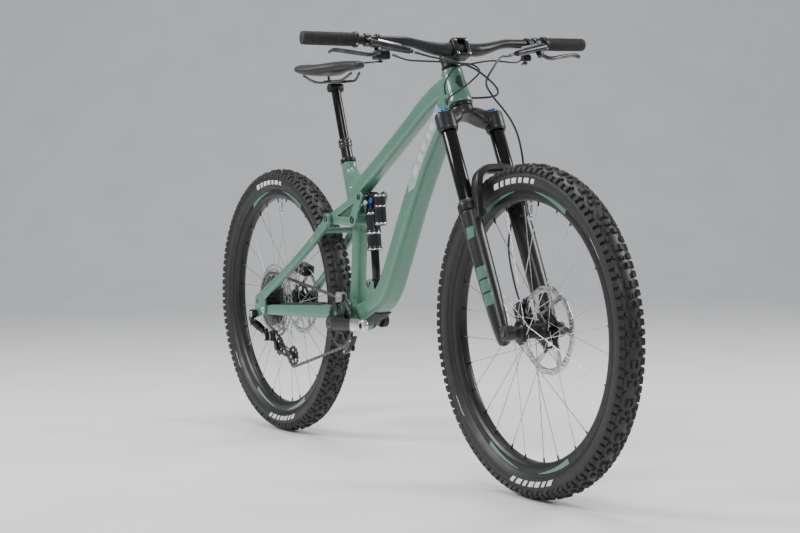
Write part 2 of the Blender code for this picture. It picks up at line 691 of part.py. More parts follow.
# Frame
def main_frame():
    """Head tube, down tube, top tube, seat tube and the bosses that the moving parts turn on."""
    green = "frame_green"
    head = turned(
        "main_frame",
        [
            (0, HEAD_TUBE_LOW), (0.0310, HEAD_TUBE_LOW), (0.0305, 0.030), (0.0278, 0.060),
            (0.0258, HEAD_TUBE_HIGH - 0.012), (0.0264, HEAD_TUBE_HIGH), (0, HEAD_TUBE_HIGH),
        ],
        CROWN_SEAT, STEER_UP, green, 28,
    )
    down_path = [
        (0.505, 0.918, 0.0240, 0.0250), (0.455, 0.850, 0.0275, 0.0280), (0.392, 0.772, 0.0280, 0.0265),
        (0.317, 0.661, 0.0280, 0.0250), (0.230, 0.516, 0.0285, 0.0255), (0.187, 0.448, 0.0290, 0.0265),
        (0.152, 0.412, 0.0292, 0.0270), (0.108, 0.387, 0.0294, 0.0265), (0.055, 0.366, 0.0296, 0.0260),
        (0.000, 0.355, 0.0300, 0.0265),
    ]
    down = loft("down_tube", [(from_bb(x, z), w, d, 3.8) for x, z, w, d in down_path], green)
    top_path = [
        (0.500, 0.938, 0.0200, 0.0240), (0.440, 0.918, 0.0195, 0.0235), (0.375, 0.887, 0.0195, 0.0215),
        (0.300, 0.842, 0.0195, 0.0205), (0.200, 0.783, 0.0195, 0.0205), (0.100, 0.725, 0.0200, 0.0210),
        (0.020, 0.678, 0.0200, 0.0210), (-0.002, 0.665, 0.0180, 0.0190),
    ]
    top = loft("top_tube", [(from_bb(x, z), w, d, 3.0) for x, z, w, d in top_path], green)
    seat_path = [
        (0.004, 0.380, 0.0240, 0.0210), (0.010, 0.450, 0.0190, 0.0185), (0.018, 0.529, 0.0182, 0.0182),
        (0.0205, 0.594, 0.0186, 0.0186), (0.010, 0.627, 0.0186, 0.0190), (0.0005, 0.656, 0.0182, 0.0182),
        (-0.033, 0.757, 0.0178, 0.0178),
    ]
    seat = loft("seat_tube", [(from_bb(x, z), w, d, 2.6) for x, z, w, d in seat_path], green)
    gusset = loft(
        "seat_gusset",
        [
            (from_bb(-0.026, 0.732), 0.0150, 0.0190, 3), (from_bb(0.010, 0.712), 0.0155, 0.0200, 3),
            (from_bb(0.070, 0.708), 0.0165, 0.0120, 3),
        ],
        green, 12,
    )
    shell = cross_rod("bb_shell", BB, 0.0255, -0.0365, 0.0365, green, 28)
    pivot_boss = cross_rod("main_pivot_boss", MAIN_PIVOT, 0.0170, -0.0300, 0.0300, green)
    rocker_web = loft(
        "rocker_web", [
            (from_bb(0.018, 0.600), 0.016, 0.020, 3), (ROCKER_PIVOT, 0.015, 0.015, 3)
        ], green, 12
    )
    rocker_boss = cross_rod("rocker_boss", ROCKER_PIVOT, 0.0160, -0.0318, 0.0318, green)
    ears = []
    for side in (-1, 1):
        foot = from_bb(0.112, 0.400, side * 0.0205)
        tip = Vector((SHOCK_LOWER.x, side * 0.0205, SHOCK_LOWER.z))
        crest = tip + Vector((-0.005, 0, 0.006))
        ears.append(
            loft(f"shock_ear_{side}", [(foot, 0.0045, 0.0240, 4), (crest, 0.0045, 0.0190, 4)], green, 12)
        )
        ears.append(cross_rod(f"shock_eye_{side}", tip, 0.0150, side * 0.0160, side * 0.0250, green))
    unite(head, down, top, seat, gusset, shell, pivot_boss, rocker_web, rocker_boss, *ears)
    shock_room = block(
        "shock_room", SHOCK_LOWER + Vector((0.002, 0, 0.030)), (0.052, 0.0310, 0.086), green
    )
    cut(
        head,
        turned(
            "steerer_bore",
            [(0, -0.01), (0.0226, -0.01), (0.0226, 0.036), (0.0165, 0.088), (0.0165, 0.13), (0, 0.13)],
            CROWN_SEAT, STEER_UP, green, 24,
        ),
        rod("crown_room", steer(-0.060), steer(HEAD_TUBE_LOW), 0.0450, green, 24),
        rod("post_bore", seat_post(-0.160), seat_post(0.02), 0.01545, green, 24),
        cross_rod("bb_bore", BB, 0.0206, -0.05, 0.05, green, 24),
        cross_rod("main_pivot_bore", MAIN_PIVOT, 0.0084, -0.04, 0.04, green, 16),
        cross_rod("rocker_bore", ROCKER_PIVOT, 0.0084, -0.04, 0.04, green, 16),
        cross_rod("shock_bolt_bore", SHOCK_LOWER, 0.0046, -0.04, 0.04, green, 12),
        shock_room,
    )


def frame_fittings():
    """Headset cover, bottom bracket, pivot axle, seat clamp and the dropper post's fixed tube."""
    turned(
        "headset_cover",
        [
            (STEERER_RADIUS + GAP, HEAD_TUBE_HIGH + GAP), (0.0240, HEAD_TUBE_HIGH + GAP),
            (0.0180, HEAD_TUBE_HIGH + 0.0075), (STEERER_RADIUS + GAP, HEAD_TUBE_HIGH + 0.0075),
        ],
        CROWN_SEAT, STEER_UP, "black_satin", 20,
    )
    turned(
        "bottom_bracket",
        [
            (0.0126, -0.0465), (0.0222, -0.0465), (0.0222, -0.0370), (0.0200, -0.0370),
            (0.0200, 0.0370), (0.0222, 0.0370), (0.0222, 0.0465), (0.0126, 0.0465),
        ],
        BB, LEFT, "black_satin", 20,
    )
    axle = cross_rod("main_pivot_axle", MAIN_PIVOT, 0.0080, -0.0415, 0.0415, "dark_metal", 16)
    heads = [
        cross_rod("pivot_head_right", MAIN_PIVOT, 0.0105, -0.0432, -0.0413, "dark_metal", 16),
        cross_rod("pivot_head_left", MAIN_PIVOT, 0.0105, 0.0413, 0.0432, "dark_metal", 16),
    ]
    unite(axle, *heads)
    collar = turned(
        "seat_clamp",
        [(0.0154, 0.0004), (0.0205, 0.0004), (0.0205, 0.0110), (0.0154, 0.0110)],
        SEAT_TUBE_TOP, SEAT_UP, "black_satin", 24,
    )
    lug = block(
        "seat_clamp_lug", seat_post(0.0057, -0.0225), (
            0.012, 0.018, 0.0100
        ), "black_satin", SEAT_UP.cross(LEFT)
    )
    unite(collar, lug)
    turned(
        "dropper_outer_tube",
        [
            (0.0145, -0.1550), (0.0150, -0.1550), (0.0150, 0.0430), (0.0180, 0.0440), (0.0180, 0.0620),
            (0.0145, 0.0640), (0.0133, 0.0640), (0.0133, -0.1550),
        ],
        SEAT_TUBE_TOP, SEAT_UP, "black_satin", 24,
    )


def rocker():
    """Two triangular plates joined by the pivot shaft; the shock end stops short of the shock's eye."""
    inner = 0.0330
    thickness = 0.0065
    corners = []
    for pivot, radius in ((ROCKER_REAR, 0.0135), (ROCKER_FRONT, 0.0130), (ROCKER_PIVOT, 0.0165)):
        corners.append((pivot.x - ROCKER_PIVOT.x, pivot.z - ROCKER_PIVOT.z, radius))
    outline = []
    for i, (x, z, radius) in enumerate(corners):
        last = corners[i - 1]
        following = corners[(i + 1) % 3]
        facing_in = atan2(z - last[1], x - last[0])
        facing_out = atan2(following[1] - z, following[0] - x)
        start = facing_in + pi / 2
        sweep = (facing_out - facing_in) % tau - tau
        for k in range(6):
            angle = start + sweep * k / 5
            outline.append((x + radius * cos(angle), z + radius * sin(angle)))
    window = [(-0.036, 0.0065), (0.006, 0.0270), (0.0095, 0.0225), (-0.020, 0.0045)]
    plates = []
    for side in (-1, 1):
        centre = ROCKER_PIVOT + LEFT * side * (inner + thickness / 2)
        plates.append(plate(f"rocker_plate_{side}", [outline, window], thickness, centre, "frame_green"))
        stub = cross_rod(
            f"rocker_stub_{side}", ROCKER_FRONT, 0.0085, side * 0.0168, side * 0.0345, "dark_metal", 16
        )
        cap = cross_rod(
            f"rocker_cap_{side}", ROCKER_PIVOT, 0.0100, side * 0.0385, side * 0.0415, "dark_metal", 16
        )
        front_cap = cross_rod(
            f"shock_cap_{side}", ROCKER_FRONT, 0.0080, side * 0.0385, side * 0.0415, "dark_metal", 16
        )
        unite(plates[-1], stub, cap, front_cap)
    shaft = cross_rod("rocker_link", ROCKER_PIVOT, 0.0080, -0.0360, 0.0360, "frame_green", 16)
    unite(shaft, *plates)


def chainstay():
    """Both chainstays, joined ahead of the tyre and turning on the main pivot."""
    stays = []
    for side in (-1, 1):
        path = [
            (MAIN_PIVOT.x - BB.x, 0.3860, 0.0352, 0.0040, 0.0150),
            (-0.030, 0.3680, 0.0408, 0.0048, 0.0175),
            (-0.100, 0.3630, 0.0420, 0.0048, 0.0185), (-0.170, 0.3605, 0.0510, 0.0075, 0.0180),
            (-0.260, 0.3570, 0.0620, 0.0085, 0.0165), (-0.360, 0.3530, 0.0722, 0.0060, 0.0145),
            (HORST_PIVOT.x - BB.x, 0.3500, 0.0732, 0.0036, 0.0125),
        ]
        stations = [(from_bb(x, z, side * y), w, d, 3.2) for x, z, y, w, d in path]
        stay = loft(f"chainstay_{side}", stations, "frame_green", 10)
        front = cross_rod(
            f"chainstay_eye_{side}", MAIN_PIVOT, 0.0160, side * 0.0306, side * 0.0395, "frame_green"
        )
        end = cross_rod(
            f"chainstay_end_{side}", HORST_PIVOT, 0.0130, side * 0.0690, side * 0.0766, "frame_green"
        )
        unite(stay, front, end)
        stays.append(stay)
    bridge = loft(
        "chainstay",
        [
            (from_bb(-0.036, 0.3640, -0.042), 0.0075, 0.0150, 3),
            (from_bb(-0.036, 0.3640, 0.042), 0.0075, 0.0150, 3)
        ],
        "frame_green", 12, Vector((1, 0, 0)),
    )
    unite(bridge, *stays)
    cuts = [
        cross_rod("main_axle_room", MAIN_PIVOT, 0.0083, -0.06, 0.06, "frame_green", 16),
        cross_rod("shell_room", BB, 0.0270, -0.06, 0.06, "frame_green", 28),
    ]
    for side in (-1, 1):
        cuts.append(
            cross_rod(
                f"horst_room_{side}", HORST_PIVOT, 0.0063, side * 0.06, side * 0.09, "frame_green", 16
            )
        )
    cut(bridge, *cuts)


def seatstay():
    """Both seatstays, their bridge, and the dropout plates that hold the axle and the hanger."""
    stays = []
    for side in (-1, 1):
        path = [
            (-0.062, 0.6130, 0.0470, 0.0052, 0.0125), (-0.088, 0.5900, 0.0485, 0.0072, 0.0135),
            (-0.150, 0.5440, 0.0540, 0.0085, 0.0130), (-0.225, 0.4960, 0.0610, 0.0085, 0.0125),
            (-0.310, 0.4450, 0.0695, 0.0082, 0.0130), (-0.375, 0.4100, 0.0770, 0.0060, 0.0150),
            (-0.412, 0.3880, 0.0806, 0.0026, 0.0160),
        ]
        stations = [(from_bb(x, z, side * y), w, d, 3.0) for x, z, y, w, d in path]
        stay = loft(f"seatstay_{side}", stations, "frame_green", 10)
        lug = cross_rod(
            f"seatstay_lug_{side}", ROCKER_REAR, 0.0145, side * 0.0412, side * 0.0520, "frame_green"
        )
        cap = cross_rod(
            f"seatstay_cap_{side}", ROCKER_REAR, 0.0085, side * 0.0518, side * 0.0540, "dark_metal", 16
        )
        axle = REAR_AXLE - BB
        horst = HORST_PIVOT - BB
        outline = [
            (axle.x - 0.018, axle.z + 0.004), (axle.x - 0.012, axle.z + 0.018),
            (axle.x + 0.012, axle.z + 0.026),
            (horst.x + 0.016, horst.z + 0.030), (horst.x + 0.017, horst.z),
            (horst.x + 0.008, horst.z - 0.014),
            (horst.x - 0.008, horst.z - 0.015), (axle.x - 0.006, axle.z - 0.045),
            (axle.x - 0.018, axle.z - 0.046),
            (axle.x - 0.022, axle.z - 0.034),
        ]
        dropout = plate(f"dropout_{side}", [outline], 0.0066, BB + LEFT * side * 0.0806, "frame_green")
        boss = cross_rod(
            f"axle_boss_{side}", REAR_AXLE, 0.0136, side * 0.0742, side * 0.0853, "frame_green", 18
        )
        pin = cross_rod(
            f"horst_pin_{side}", HORST_PIVOT, 0.0060, side * 0.0690, side * 0.0780, "dark_metal", 16
        )
        head = cross_rod(
            f"horst_head_{side}", HORST_PIVOT, 0.0105, side * 0.0838, side * 0.0860, "dark_metal", 16
        )
        unite(stay, lug, cap, dropout, boss, pin, head)
        stays.append(stay)
    bridge = loft(
        "seatstay",
        [
            (from_bb(-0.104, 0.5780, -0.049), 0.0070, 0.0080, 3),
            (from_bb(-0.104, 0.5780, 0.049), 0.0070, 0.0080, 3)
        ],
        "frame_green", 12, Vector((1, 0, 0)),
    )
    unite(bridge, *stays)
    cut(bridge, cross_rod("rear_axle_bore", REAR_AXLE, 0.0064, -0.10, 0.10, "frame_green", 16))


def on_shock(along, forward=0.0, y=0.0):
    """A point measured from the shock's lower eye: along it, in front of it, and to the left."""
    axis = (ROCKER_FRONT - SHOCK_LOWER).normalized()
    return SHOCK_LOWER + axis * along + LEFT.cross(axis) * forward + LEFT * y


def shock_switch_place():
    """Where the blue switch turns, on the right of the shock's head."""
    length = (ROCKER_FRONT - SHOCK_LOWER).length
    return on_shock(length - 0.012, 0.0225, -0.0180)


def shock():
    """Lower eye and shaft on the frame; body with its reservoir sliding on the shaft."""
    axis = (ROCKER_FRONT - SHOCK_LOWER).normalized()
    length = (ROCKER_FRONT - SHOCK_LOWER).length

    eye = cross_rod("shock_shaft", SHOCK_LOWER, 0.0110, -0.0145, 0.0145, "dark_metal")
    unite(
        eye,
        rod("shock_rod", on_shock(0.004), on_shock(0.120), 0.0110, "black_gloss"),
        cross_rod("shock_bolt", SHOCK_LOWER, 0.0042, -0.0275, 0.0275, "dark_metal", 12),
    )
    can = turned(
        "shock_body",
        [
            (0.0114, 0.0860), (0.0205, 0.0860), (0.0205, 0.0960), (0.0185, 0.0980),
            (0.0185, length - 0.030),
            (0.0140, length - 0.020), (0, length - 0.018), (0, length - 0.036), (0.0114, length - 0.040),
        ],
        SHOCK_LOWER, axis, "black_gloss", 24,
    )
    head = block(
        "shock_head", on_shock(length - 0.022, 0.022), (0.030, 0.0300, 0.060), "black_satin", axis
    )
    eye_top = cross_rod("shock_eye", ROCKER_FRONT, 0.0120, -0.0152, 0.0152, "dark_metal")
    reservoir = rod(
        "shock_reservoir", on_shock(
            length - 0.078, 0.040
        ), on_shock(length + 0.004, 0.040), 0.0155, "black_gloss"
    )
    unite(can, head, eye_top, reservoir)
    pin = rod(
        "shock_lever_hub", on_shock(
            length - 0.012, 0.0225, -0.0156
        ), on_shock(length - 0.012, 0.0225, -0.0205), 0.0080, "blue_anodised"
    )
    pin.name = "shock_lever"
    blade = block(
        "shock_lever_blade", on_shock(
            length - 0.022, 0.0225, -0.0190
        ), (0.022, 0.0024, 0.006), "blue_anodised", axis
    )
    unite(pin, blade)


# Fork
def leg(name, y, profile, paint, steps=16):
    """A shape turned about one fork leg's axis; heights run along the steering axis."""
    return turned(name, profile, steer(0, LEG_FORWARD, y), STEER_UP, paint, steps)


def fork():
    """Crown, steerer and stanchions as one pressed unit, and the sliding lower legs."""
    half = LEG_SPACING / 2
    steerer = turned(
        "fork_crown_steerer",
        [
            (0.0115, -0.0150), (0.0240, -0.0150), (0.0285, -0.0020), (0.0275, 0.0164), (0.0200, 0.0166),
            (0.0200, 0.0340),
            (STEERER_RADIUS, 0.0860), (STEERER_RADIUS, 0.1530), (0.0115, 0.1530),
        ],
        CROWN_SEAT, STEER_UP, "black_gloss", 20,
    )
    crown = loft(
        "crown",
        [
            (steer(-0.0370, 0.018, -half), 0.0205, 0.0190, 3),
            (steer(-0.0250, 0.012, -0.041), 0.0240, 0.0170, 3),
            (steer(-0.0085, 0.000, -0.018), 0.0275, 0.0100, 3),
            (steer(-0.0085, 0.000, 0.018), 0.0275, 0.0100, 3),
            (steer(-0.0250, 0.012, 0.041), 0.0240, 0.0170, 3),
            (steer(-0.0370, 0.018, half), 0.0205, 0.0190, 3),
        ],
        "black_gloss", 12, STEER_FORWARD,
    )
    parts = [crown]
    for side in (-1, 1):
        clamp = [(0, -0.0610), (0.0235, -0.0610), (0.0240, -0.0300), (0.0235, -0.0170), (0, -0.0160)]
        parts.append(leg(f"crown_clamp_{side}", side * half, clamp, "black_gloss"))
        tube_profile = [
            (0, -0.3550), (STANCHION_RADIUS, -0.3550), (STANCHION_RADIUS, -0.0500), (0, -0.0500),
        ]
        parts.append(leg(f"stanchion_{side}", side * half, tube_profile, "black_gloss"))
    cap = leg(
        "air_cap", half, [
            (0, -0.0180), (0.0155, -0.0180), (0.0155, -0.0080), (0.0120, -0.0055), (0, -0.0055)
        ], "blue_anodised"
    )
    unite(steerer, *parts, cap)
    knob_room = [(0, -0.0156), (0.0162, -0.0156), (0.0162, 0.0100), (0, 0.0100)]
    cut(steerer, leg("knob_room", -half, knob_room, "black_gloss"))
    knob_profile = [(0, -0.0152), (0.0150, -0.0152), (0.0150, -0.0080), (0.0110, -0.0045), (0, -0.0045)]
    leg("fork_damper_knob", -half, knob_profile, "blue_anodised")
    lowers = []
    for side in (-1, 1):
        profile = [
            (0, -0.5850), (0.0130, -0.5850), (0.0185, -0.5450), (0.0225, -0.4500), (0.0240, -0.2620),
            (0.0255, -0.2600), (0.0255, -0.2440), (0.0210, -0.2380), (0, -0.2380),
        ]
        lowers.append(leg(f"lower_leg_{side}", side * half, profile, "black_gloss"))
        inside, outside = (0.0556, 0.0785)
        lowers.append(
            cross_rod(
                f"axle_lug_{side}", FRONT_AXLE, 0.0175, side * inside, side * outside, "black_gloss"
            )
        )
    bridge_path = [
        (-0.285, 0.0360, -0.0600, 0.0170), (-0.245, 0.0495, -0.0570, 0.0115),
        (-0.205, 0.0605, -0.0495, 0.0140),
        (-0.182, 0.0655, -0.0300, 0.0135), (-0.178, 0.0670, 0.0000, 0.0125),
        (-0.182, 0.0655, 0.0300, 0.0135),
        (-0.205, 0.0605, 0.0495, 0.0140), (-0.245, 0.0495, 0.0570, 0.0115),
        (-0.285, 0.0360, 0.0600, 0.0170),
    ]
    arch = loft(
        "fork_arch", [
            (steer(s, f, y), w, 0.0085, 3) for s, f, y, w in bridge_path
        ], "black_gloss", 12, STEER_FORWARD
    )
    posts = []
    for along in (-0.538, -0.470):
        tip = steer(along, -0.0075, half - 0.0110)
        posts.append(
            rod(
                f"caliper_post_{along}", steer(along, 0.010, half - 0.004), tip, 0.0075, "black_gloss", 12
            )
        )
    first = lowers[0]
    first.name = "fork_lowers"
    unite(first, arch, *lowers[1:], *posts)
    bores = [
        cross_rod("front_axle_bore", FRONT_AXLE, 0.0078, -0.10, 0.10, "black_gloss", 16),
        cross_rod("front_hub_room", FRONT_AXLE, 0.0125, -0.0549, 0.0549, "black_gloss", 20),
    ]
    for side in (-1, 1):
        bore = [
            (0, -0.5400), (STANCHION_RADIUS + GAP, -0.5400), (STANCHION_RADIUS + GAP, -0.1500),
            (0, -0.1500)
        ]
        bores.append(leg(f"stanchion_bore_{side}", side * half, bore, "black_gloss"))
    cut(first, *bores)


def caliper(name, axle, y, centre, along, posts, inner_room):
    """A brake caliper astride its rotor, with a slot for the disc and feet on the mount posts."""
    size = (0.070, 0.0340, 0.034)
    body = block(name, Vector((centre.x, y, centre.z)), size, "black_satin", along)
    slot = cross_rod(
        name + "_slot", axle, ROTOR_RADIUS + 0.003, y - 0.0022, y + 0.0022, "black_satin", 40
    )
    feet = []
    for k, (start, end) in enumerate(posts):
        feet.append(rod(f"{name}_foot_{k}", start, end, 0.0062, "black_satin", 12))
    unite(body, *feet)
    cut(body, slot, cross_rod(name + "_room", axle, inner_room, y - 0.04, y + 0.0115, "black_satin", 40))
    return body


def calipers():
    half = LEG_SPACING / 2
    centre = steer(-0.504, -0.0290)
    posts = []
    for along in (-0.538, -0.470):
        start = steer(along, -0.0079, half - 0.0113)
        posts.append((start, steer(along, -0.0250, half - 0.0190)))
    caliper("front_caliper", FRONT_AXLE, FRONT_ROTOR_Y, centre, STEER_UP, posts, 0.066)
    rear = from_bb(-0.420, 0.4590)
    tangent = LEFT.cross(rear - REAR_AXLE).normalized()
    caliper("rear_caliper", REAR_AXLE, REAR_ROTOR_Y, rear, tangent, [], 0.066)


# Cockpit
def bar_point(y):
    """The handlebar's centre line: flat in the clamp, then rising and sweeping back."""
    side = copysign(1, y)
    reach = abs(y)
    rise_part = min(max((reach - 0.045) / 0.105, 0), 1)
    rise = 0.018 * rise_part * rise_part * (3 - 2 * rise_part)
    back = 0.0
    if reach > 0.045:
        back = (reach - 0.045) * 0.130
    lift = max(reach - 0.15, 0) * 0.020
    return BAR_CENTRE + Vector((-back, side * reach, rise + lift))


def cockpit():
    """Stem, bar, grips, brake levers, gear shifter and the post's remote."""
    half = BAR_WIDTH / 2
    clamp_profile = [
        (STEERER_RADIUS + GAP, 0.1145), (0.0195, 0.1145), (0.0195, 0.1540), (STEERER_RADIUS + GAP, 0.1540)
    ]
    stem = turned("stem", clamp_profile, CROWN_SEAT, STEER_UP, "black_satin", 24)
    neck = block(
        "stem_neck", steer(BAR_HEIGHT, 0.0270), (0.0230, 0.0300, 0.0300), "black_satin", STEER_FORWARD
    )
    socket = block(
        "stem_socket", steer(BAR_HEIGHT, 0.0405), (0.0180, 0.0440, 0.0440), "black_satin", STEER_FORWARD
    )
    bar_room = cross_rod("bar_room", BAR_CENTRE, 0.0163, -0.05, 0.05, "black_satin", 28)
    steerer_room = rod("steerer_room", steer(0.10), steer(0.17), STEERER_RADIUS + GAP, "black_satin", 24)
    cut(unite(stem, neck, socket), bar_room, steerer_room)
    plate_block = block(
        "stem_faceplate", steer(BAR_HEIGHT, 0.0603), (
            0.0193, 0.0440, 0.0480
        ), "bright_metal", STEER_FORWARD
    )
    window = block(
        "faceplate_window", steer(BAR_HEIGHT, 0.0650), (
            0.0400, 0.0200, 0.0220
        ), "bright_metal", STEER_FORWARD
    )
    face_room = cross_rod("face_room", BAR_CENTRE, 0.0163, -0.05, 0.05, "bright_metal", 28)
    cut(plate_block, face_room, window)
    turned(
        "stem_top_cap",
        [(0, 0.1544), (0.0165, 0.1544), (0.0165, 0.1570), (0.0120, 0.1585), (0, 0.1585)],
        CROWN_SEAT, STEER_UP, "black_satin", 24,
    )
    reach = half - 0.0050
    places = [
        -reach, -0.26, -0.15, -0.125, -0.10, -0.075, -0.045, -0.03, 0.03, 0.045, 0.075, 0.10, 0.125, 0.15,
        0.26, reach
    ]
    radii = []
    for y in places:
        taper = min(max((abs(y) - 0.045) / 0.080, 0), 1)
        radii.append((0.0159 + (BAR_RADIUS - 0.0159) * taper) / 0.0159)
    tube("handlebar", [bar_point(y) for y in places], 0.0159, "black_satin", radii)
    for side, word in ((-1, "right"), (1, "left")):
        controls(side, word, half)


def controls(side, word, half):
    """Grip, brake lever and the smaller control of one side."""
    end = bar_point(side * (half - 0.0018))
    outward = (bar_point(side * half) - bar_point(side * (half - 0.10))).normalized()
    start = end - outward * GRIP_LENGTH
    length = GRIP_LENGTH
    inner = BAR_RADIUS + GAP
    turned(
        f"grip_{word}",
        [
            (inner, 0), (0.0185, 0), (0.0185, 0.010), (0.0158, 0.012), (0.0155, length - 0.004),
            (0.0140, length), (0, length), (0, length - 0.0025), (inner, length - 0.0025),
        ],
        start, outward, "black_rubber", 16,
    )
    clamp_at = side * 0.232
    centre = bar_point(clamp_at)
    clamp = turned(
        f"brake_master_{word}",
        [(inner, -0.006), (0.0160, -0.006), (0.0160, 0.006), (inner, 0.006)],
        centre, outward, "black_satin", 20,
    )
    body_start = bar_point(side * 0.140) + Vector((0.040, 0, -0.026))
    body_end = centre + Vector((0.031, side * 0.008, -0.009))
    body = rod(f"master_body_{word}", body_start, body_end, 0.0070, "black_satin", 16, 0.0105)
    neck_end = centre + Vector((0.030, -side * 0.004, -0.010))
    neck = rod(
        f"master_neck_{word}", centre + (neck_end - centre) * 0.42, neck_end, 0.0092, "black_satin", 12
    )
    pivot = lever_pivot(side)
    tabs = []
    for level in (-0.0066, 0.0066):
        flange = pivot + LEVER_AXIS * level
        tabs.append(
            loft(
                f"lever_tab_{word}_{level}",
                [
                    (flange - LEVER_REACH * 0.023, 0.0065, 0.0014, 3),
                    (flange + LEVER_REACH * 0.005, 0.0050, 0.0014, 3)
                ],
                "black_satin", 10,
            )
        )
    unite(clamp, body, neck, *tabs)
    room = rod(
        f"lever_room_{word}", pivot - LEVER_AXIS * 0.0049, pivot + LEVER_AXIS * 0.0049, 0.0088,
        "black_satin", 20
    )
    cut(clamp, room)
    hub = rod(
        f"brake_lever_{word}", pivot - LEVER_AXIS * 0.0044, pivot + LEVER_AXIS * 0.0044, 0.0060,
        "bright_metal", 14
    )
    blade = loft(
        f"lever_blade_{word}",
        [
            (pivot, 0.0036, 0.0045, 3), (pivot + outward * 0.026 + LEVER_REACH * 0.012, 0.0045, 0.0045, 3),
            (pivot + outward * 0.070 + LEVER_REACH * 0.006, 0.0060, 0.0035, 3),
            (pivot + outward * 0.108 + LEVER_REACH * 0.001, 0.0060, 0.0035, 3),
            (pivot + outward * 0.124 + LEVER_REACH * 0.008, 0.0050, 0.0030, 3),
        ],
        "bright_metal", 10, LEVER_AXIS,
    )
    unite(hub, blade)
    small = ("shifter_body", "shifter_lever") if side < 0 else (
        "dropper_remote_body", "dropper_remote_lever"
    )
    grip_point = bar_point(side * 0.206)
    ring = turned(
        small[0], [
            (inner, -0.004), (0.0150, -0.004), (0.0150, 0.004), (inner, 0.004)
        ], grip_point, outward, "black_satin", 20
    )
    below = grip_point + Vector((0.006, 0, -0.034))
    size = (0.034, 0.036, 0.022) if side < 0 else (0.020, 0.022, 0.016)
    unite(
        ring,
        block(f"small_body_{word}", below - outward * 0.006, size, "black_satin"),
        rod(f"small_neck_{word}", grip_point - UP * 0.0130, below, 0.0055, "black_satin", 12),
    )
    hinge = small_lever_pivot(side)
    knob = rod(small[1], hinge - UP * 0.0020, hinge + UP * 0.0020, 0.0065, "black_satin", 14)
    paddle = loft(
        f"small_paddle_{word}",
        [
            (hinge, 0.0018, 0.0050, 3), (hinge + Vector((-0.020, side * 0.010, -0.0005)), 0.0018, 0.0050, 3),
            (hinge + Vector((-0.034, side * 0.020, -0.001)), 0.0022, 0.0080, 3),
        ],
        "black_satin", 10, UP,
    )
    unite(knob, paddle)


def lever_pivot(side):
    """The pin that a brake lever turns on, square to the plane it is pulled in."""
    return bar_point(side * 0.232) + Vector((0.0400, -side * 0.010, -0.0275))


def small_lever_pivot(side):
    """The vertical pin that a thumb lever turns on, under its body."""
    drop = 0.0485 if side < 0 else 0.0455
    return bar_point(side * 0.206) + Vector((0.002, -side * 0.006, -drop))


# Hoses and cables; each keeps clear of what it meets
def hoses():
    right_end = bar_point(-0.140) + Vector((0.0405, 0.0040, -0.0275))
    left_end = bar_point(0.140) + Vector((0.0405, -0.0040, -0.0275))
    brake_front = [
        left_end, left_end + Vector(
            (0.012, -0.026, -0.006)
        ), steer(0.096, 0.092, 0.082), steer(0.068, 0.094, 0.052),
        steer(0.032, 0.080, 0.026), steer(-0.008, 0.061, 0.012), steer(-0.052, 0.046, 0.010),
        steer(-0.098, 0.048, 0.026), steer(-0.135, 0.058, 0.048), steer(-0.158, 0.054, 0.073),
        steer(-0.180, 0.034, 0.0910), steer(-0.208, 0.006, 0.0940), steer(-0.245, -0.015, 0.0840),
        steer(-0.290, -0.026, 0.064), steer(-0.345, -0.032, 0.0470), steer(-0.420, -0.034, 0.0410),
        steer(-0.4620, -0.0340, 0.0420),
    ]
    brake_rear = [
        right_end, right_end + Vector(
            (0.010, 0.035, -0.010)
        ), steer(0.082, 0.094, -0.055), steer(0.058, 0.104, -0.010),
        steer(
            0.022, 0.105, 0.028
        ), steer(0.006, 0.094, 0.046), steer(0.010, 0.062, 0.058), steer(0.024, 0.026, 0.048),
        steer(0.036, 0.0020, 0.0345),
    ]
    shift = [
        bar_point(-0.206) + Vector(
            (0.0235, 0.0262, -0.0340)
        ), bar_point(-0.150) + Vector((0.038, 0, -0.046)),
        steer(0.093, 0.071, -0.090), steer(0.090, 0.072, -0.040), steer(0.082, 0.078, 0.008),
        steer(0.066, 0.074, 0.024), steer(0.050, 0.058, 0.006), steer(0.036, 0.046, -0.018),
        steer(0.026, 0.026, -0.040), steer(0.024, 0.0010, -0.0370),
    ]
    dropper = [
        bar_point(0.206) + Vector(
            (0.0165, -0.0200, -0.0340)
        ), bar_point(0.150) + Vector((0.028, 0, -0.046)),
        steer(0.106, 0.056, 0.080), steer(0.102, 0.048, 0.030), steer(
            0.095, 0.044, -0.012
        ), steer(0.080, 0.034, -0.032),
        steer(0.062, 0.016, -0.0400), steer(0.044, 0.0020, -0.0350),
    ]
    for name, route, count, radius in (
        ("front_brake_hose", brake_front, 36, 0.0025), ("rear_brake_hose", brake_rear, 20, 0.0025),
        ("shift_cable", shift, 22, 0.0022), ("dropper_cable", dropper, 18, 0.0022),
    ):
        tube(name, smooth_path(route, count), radius, "black_rubber").data.bevel_resolution = 1


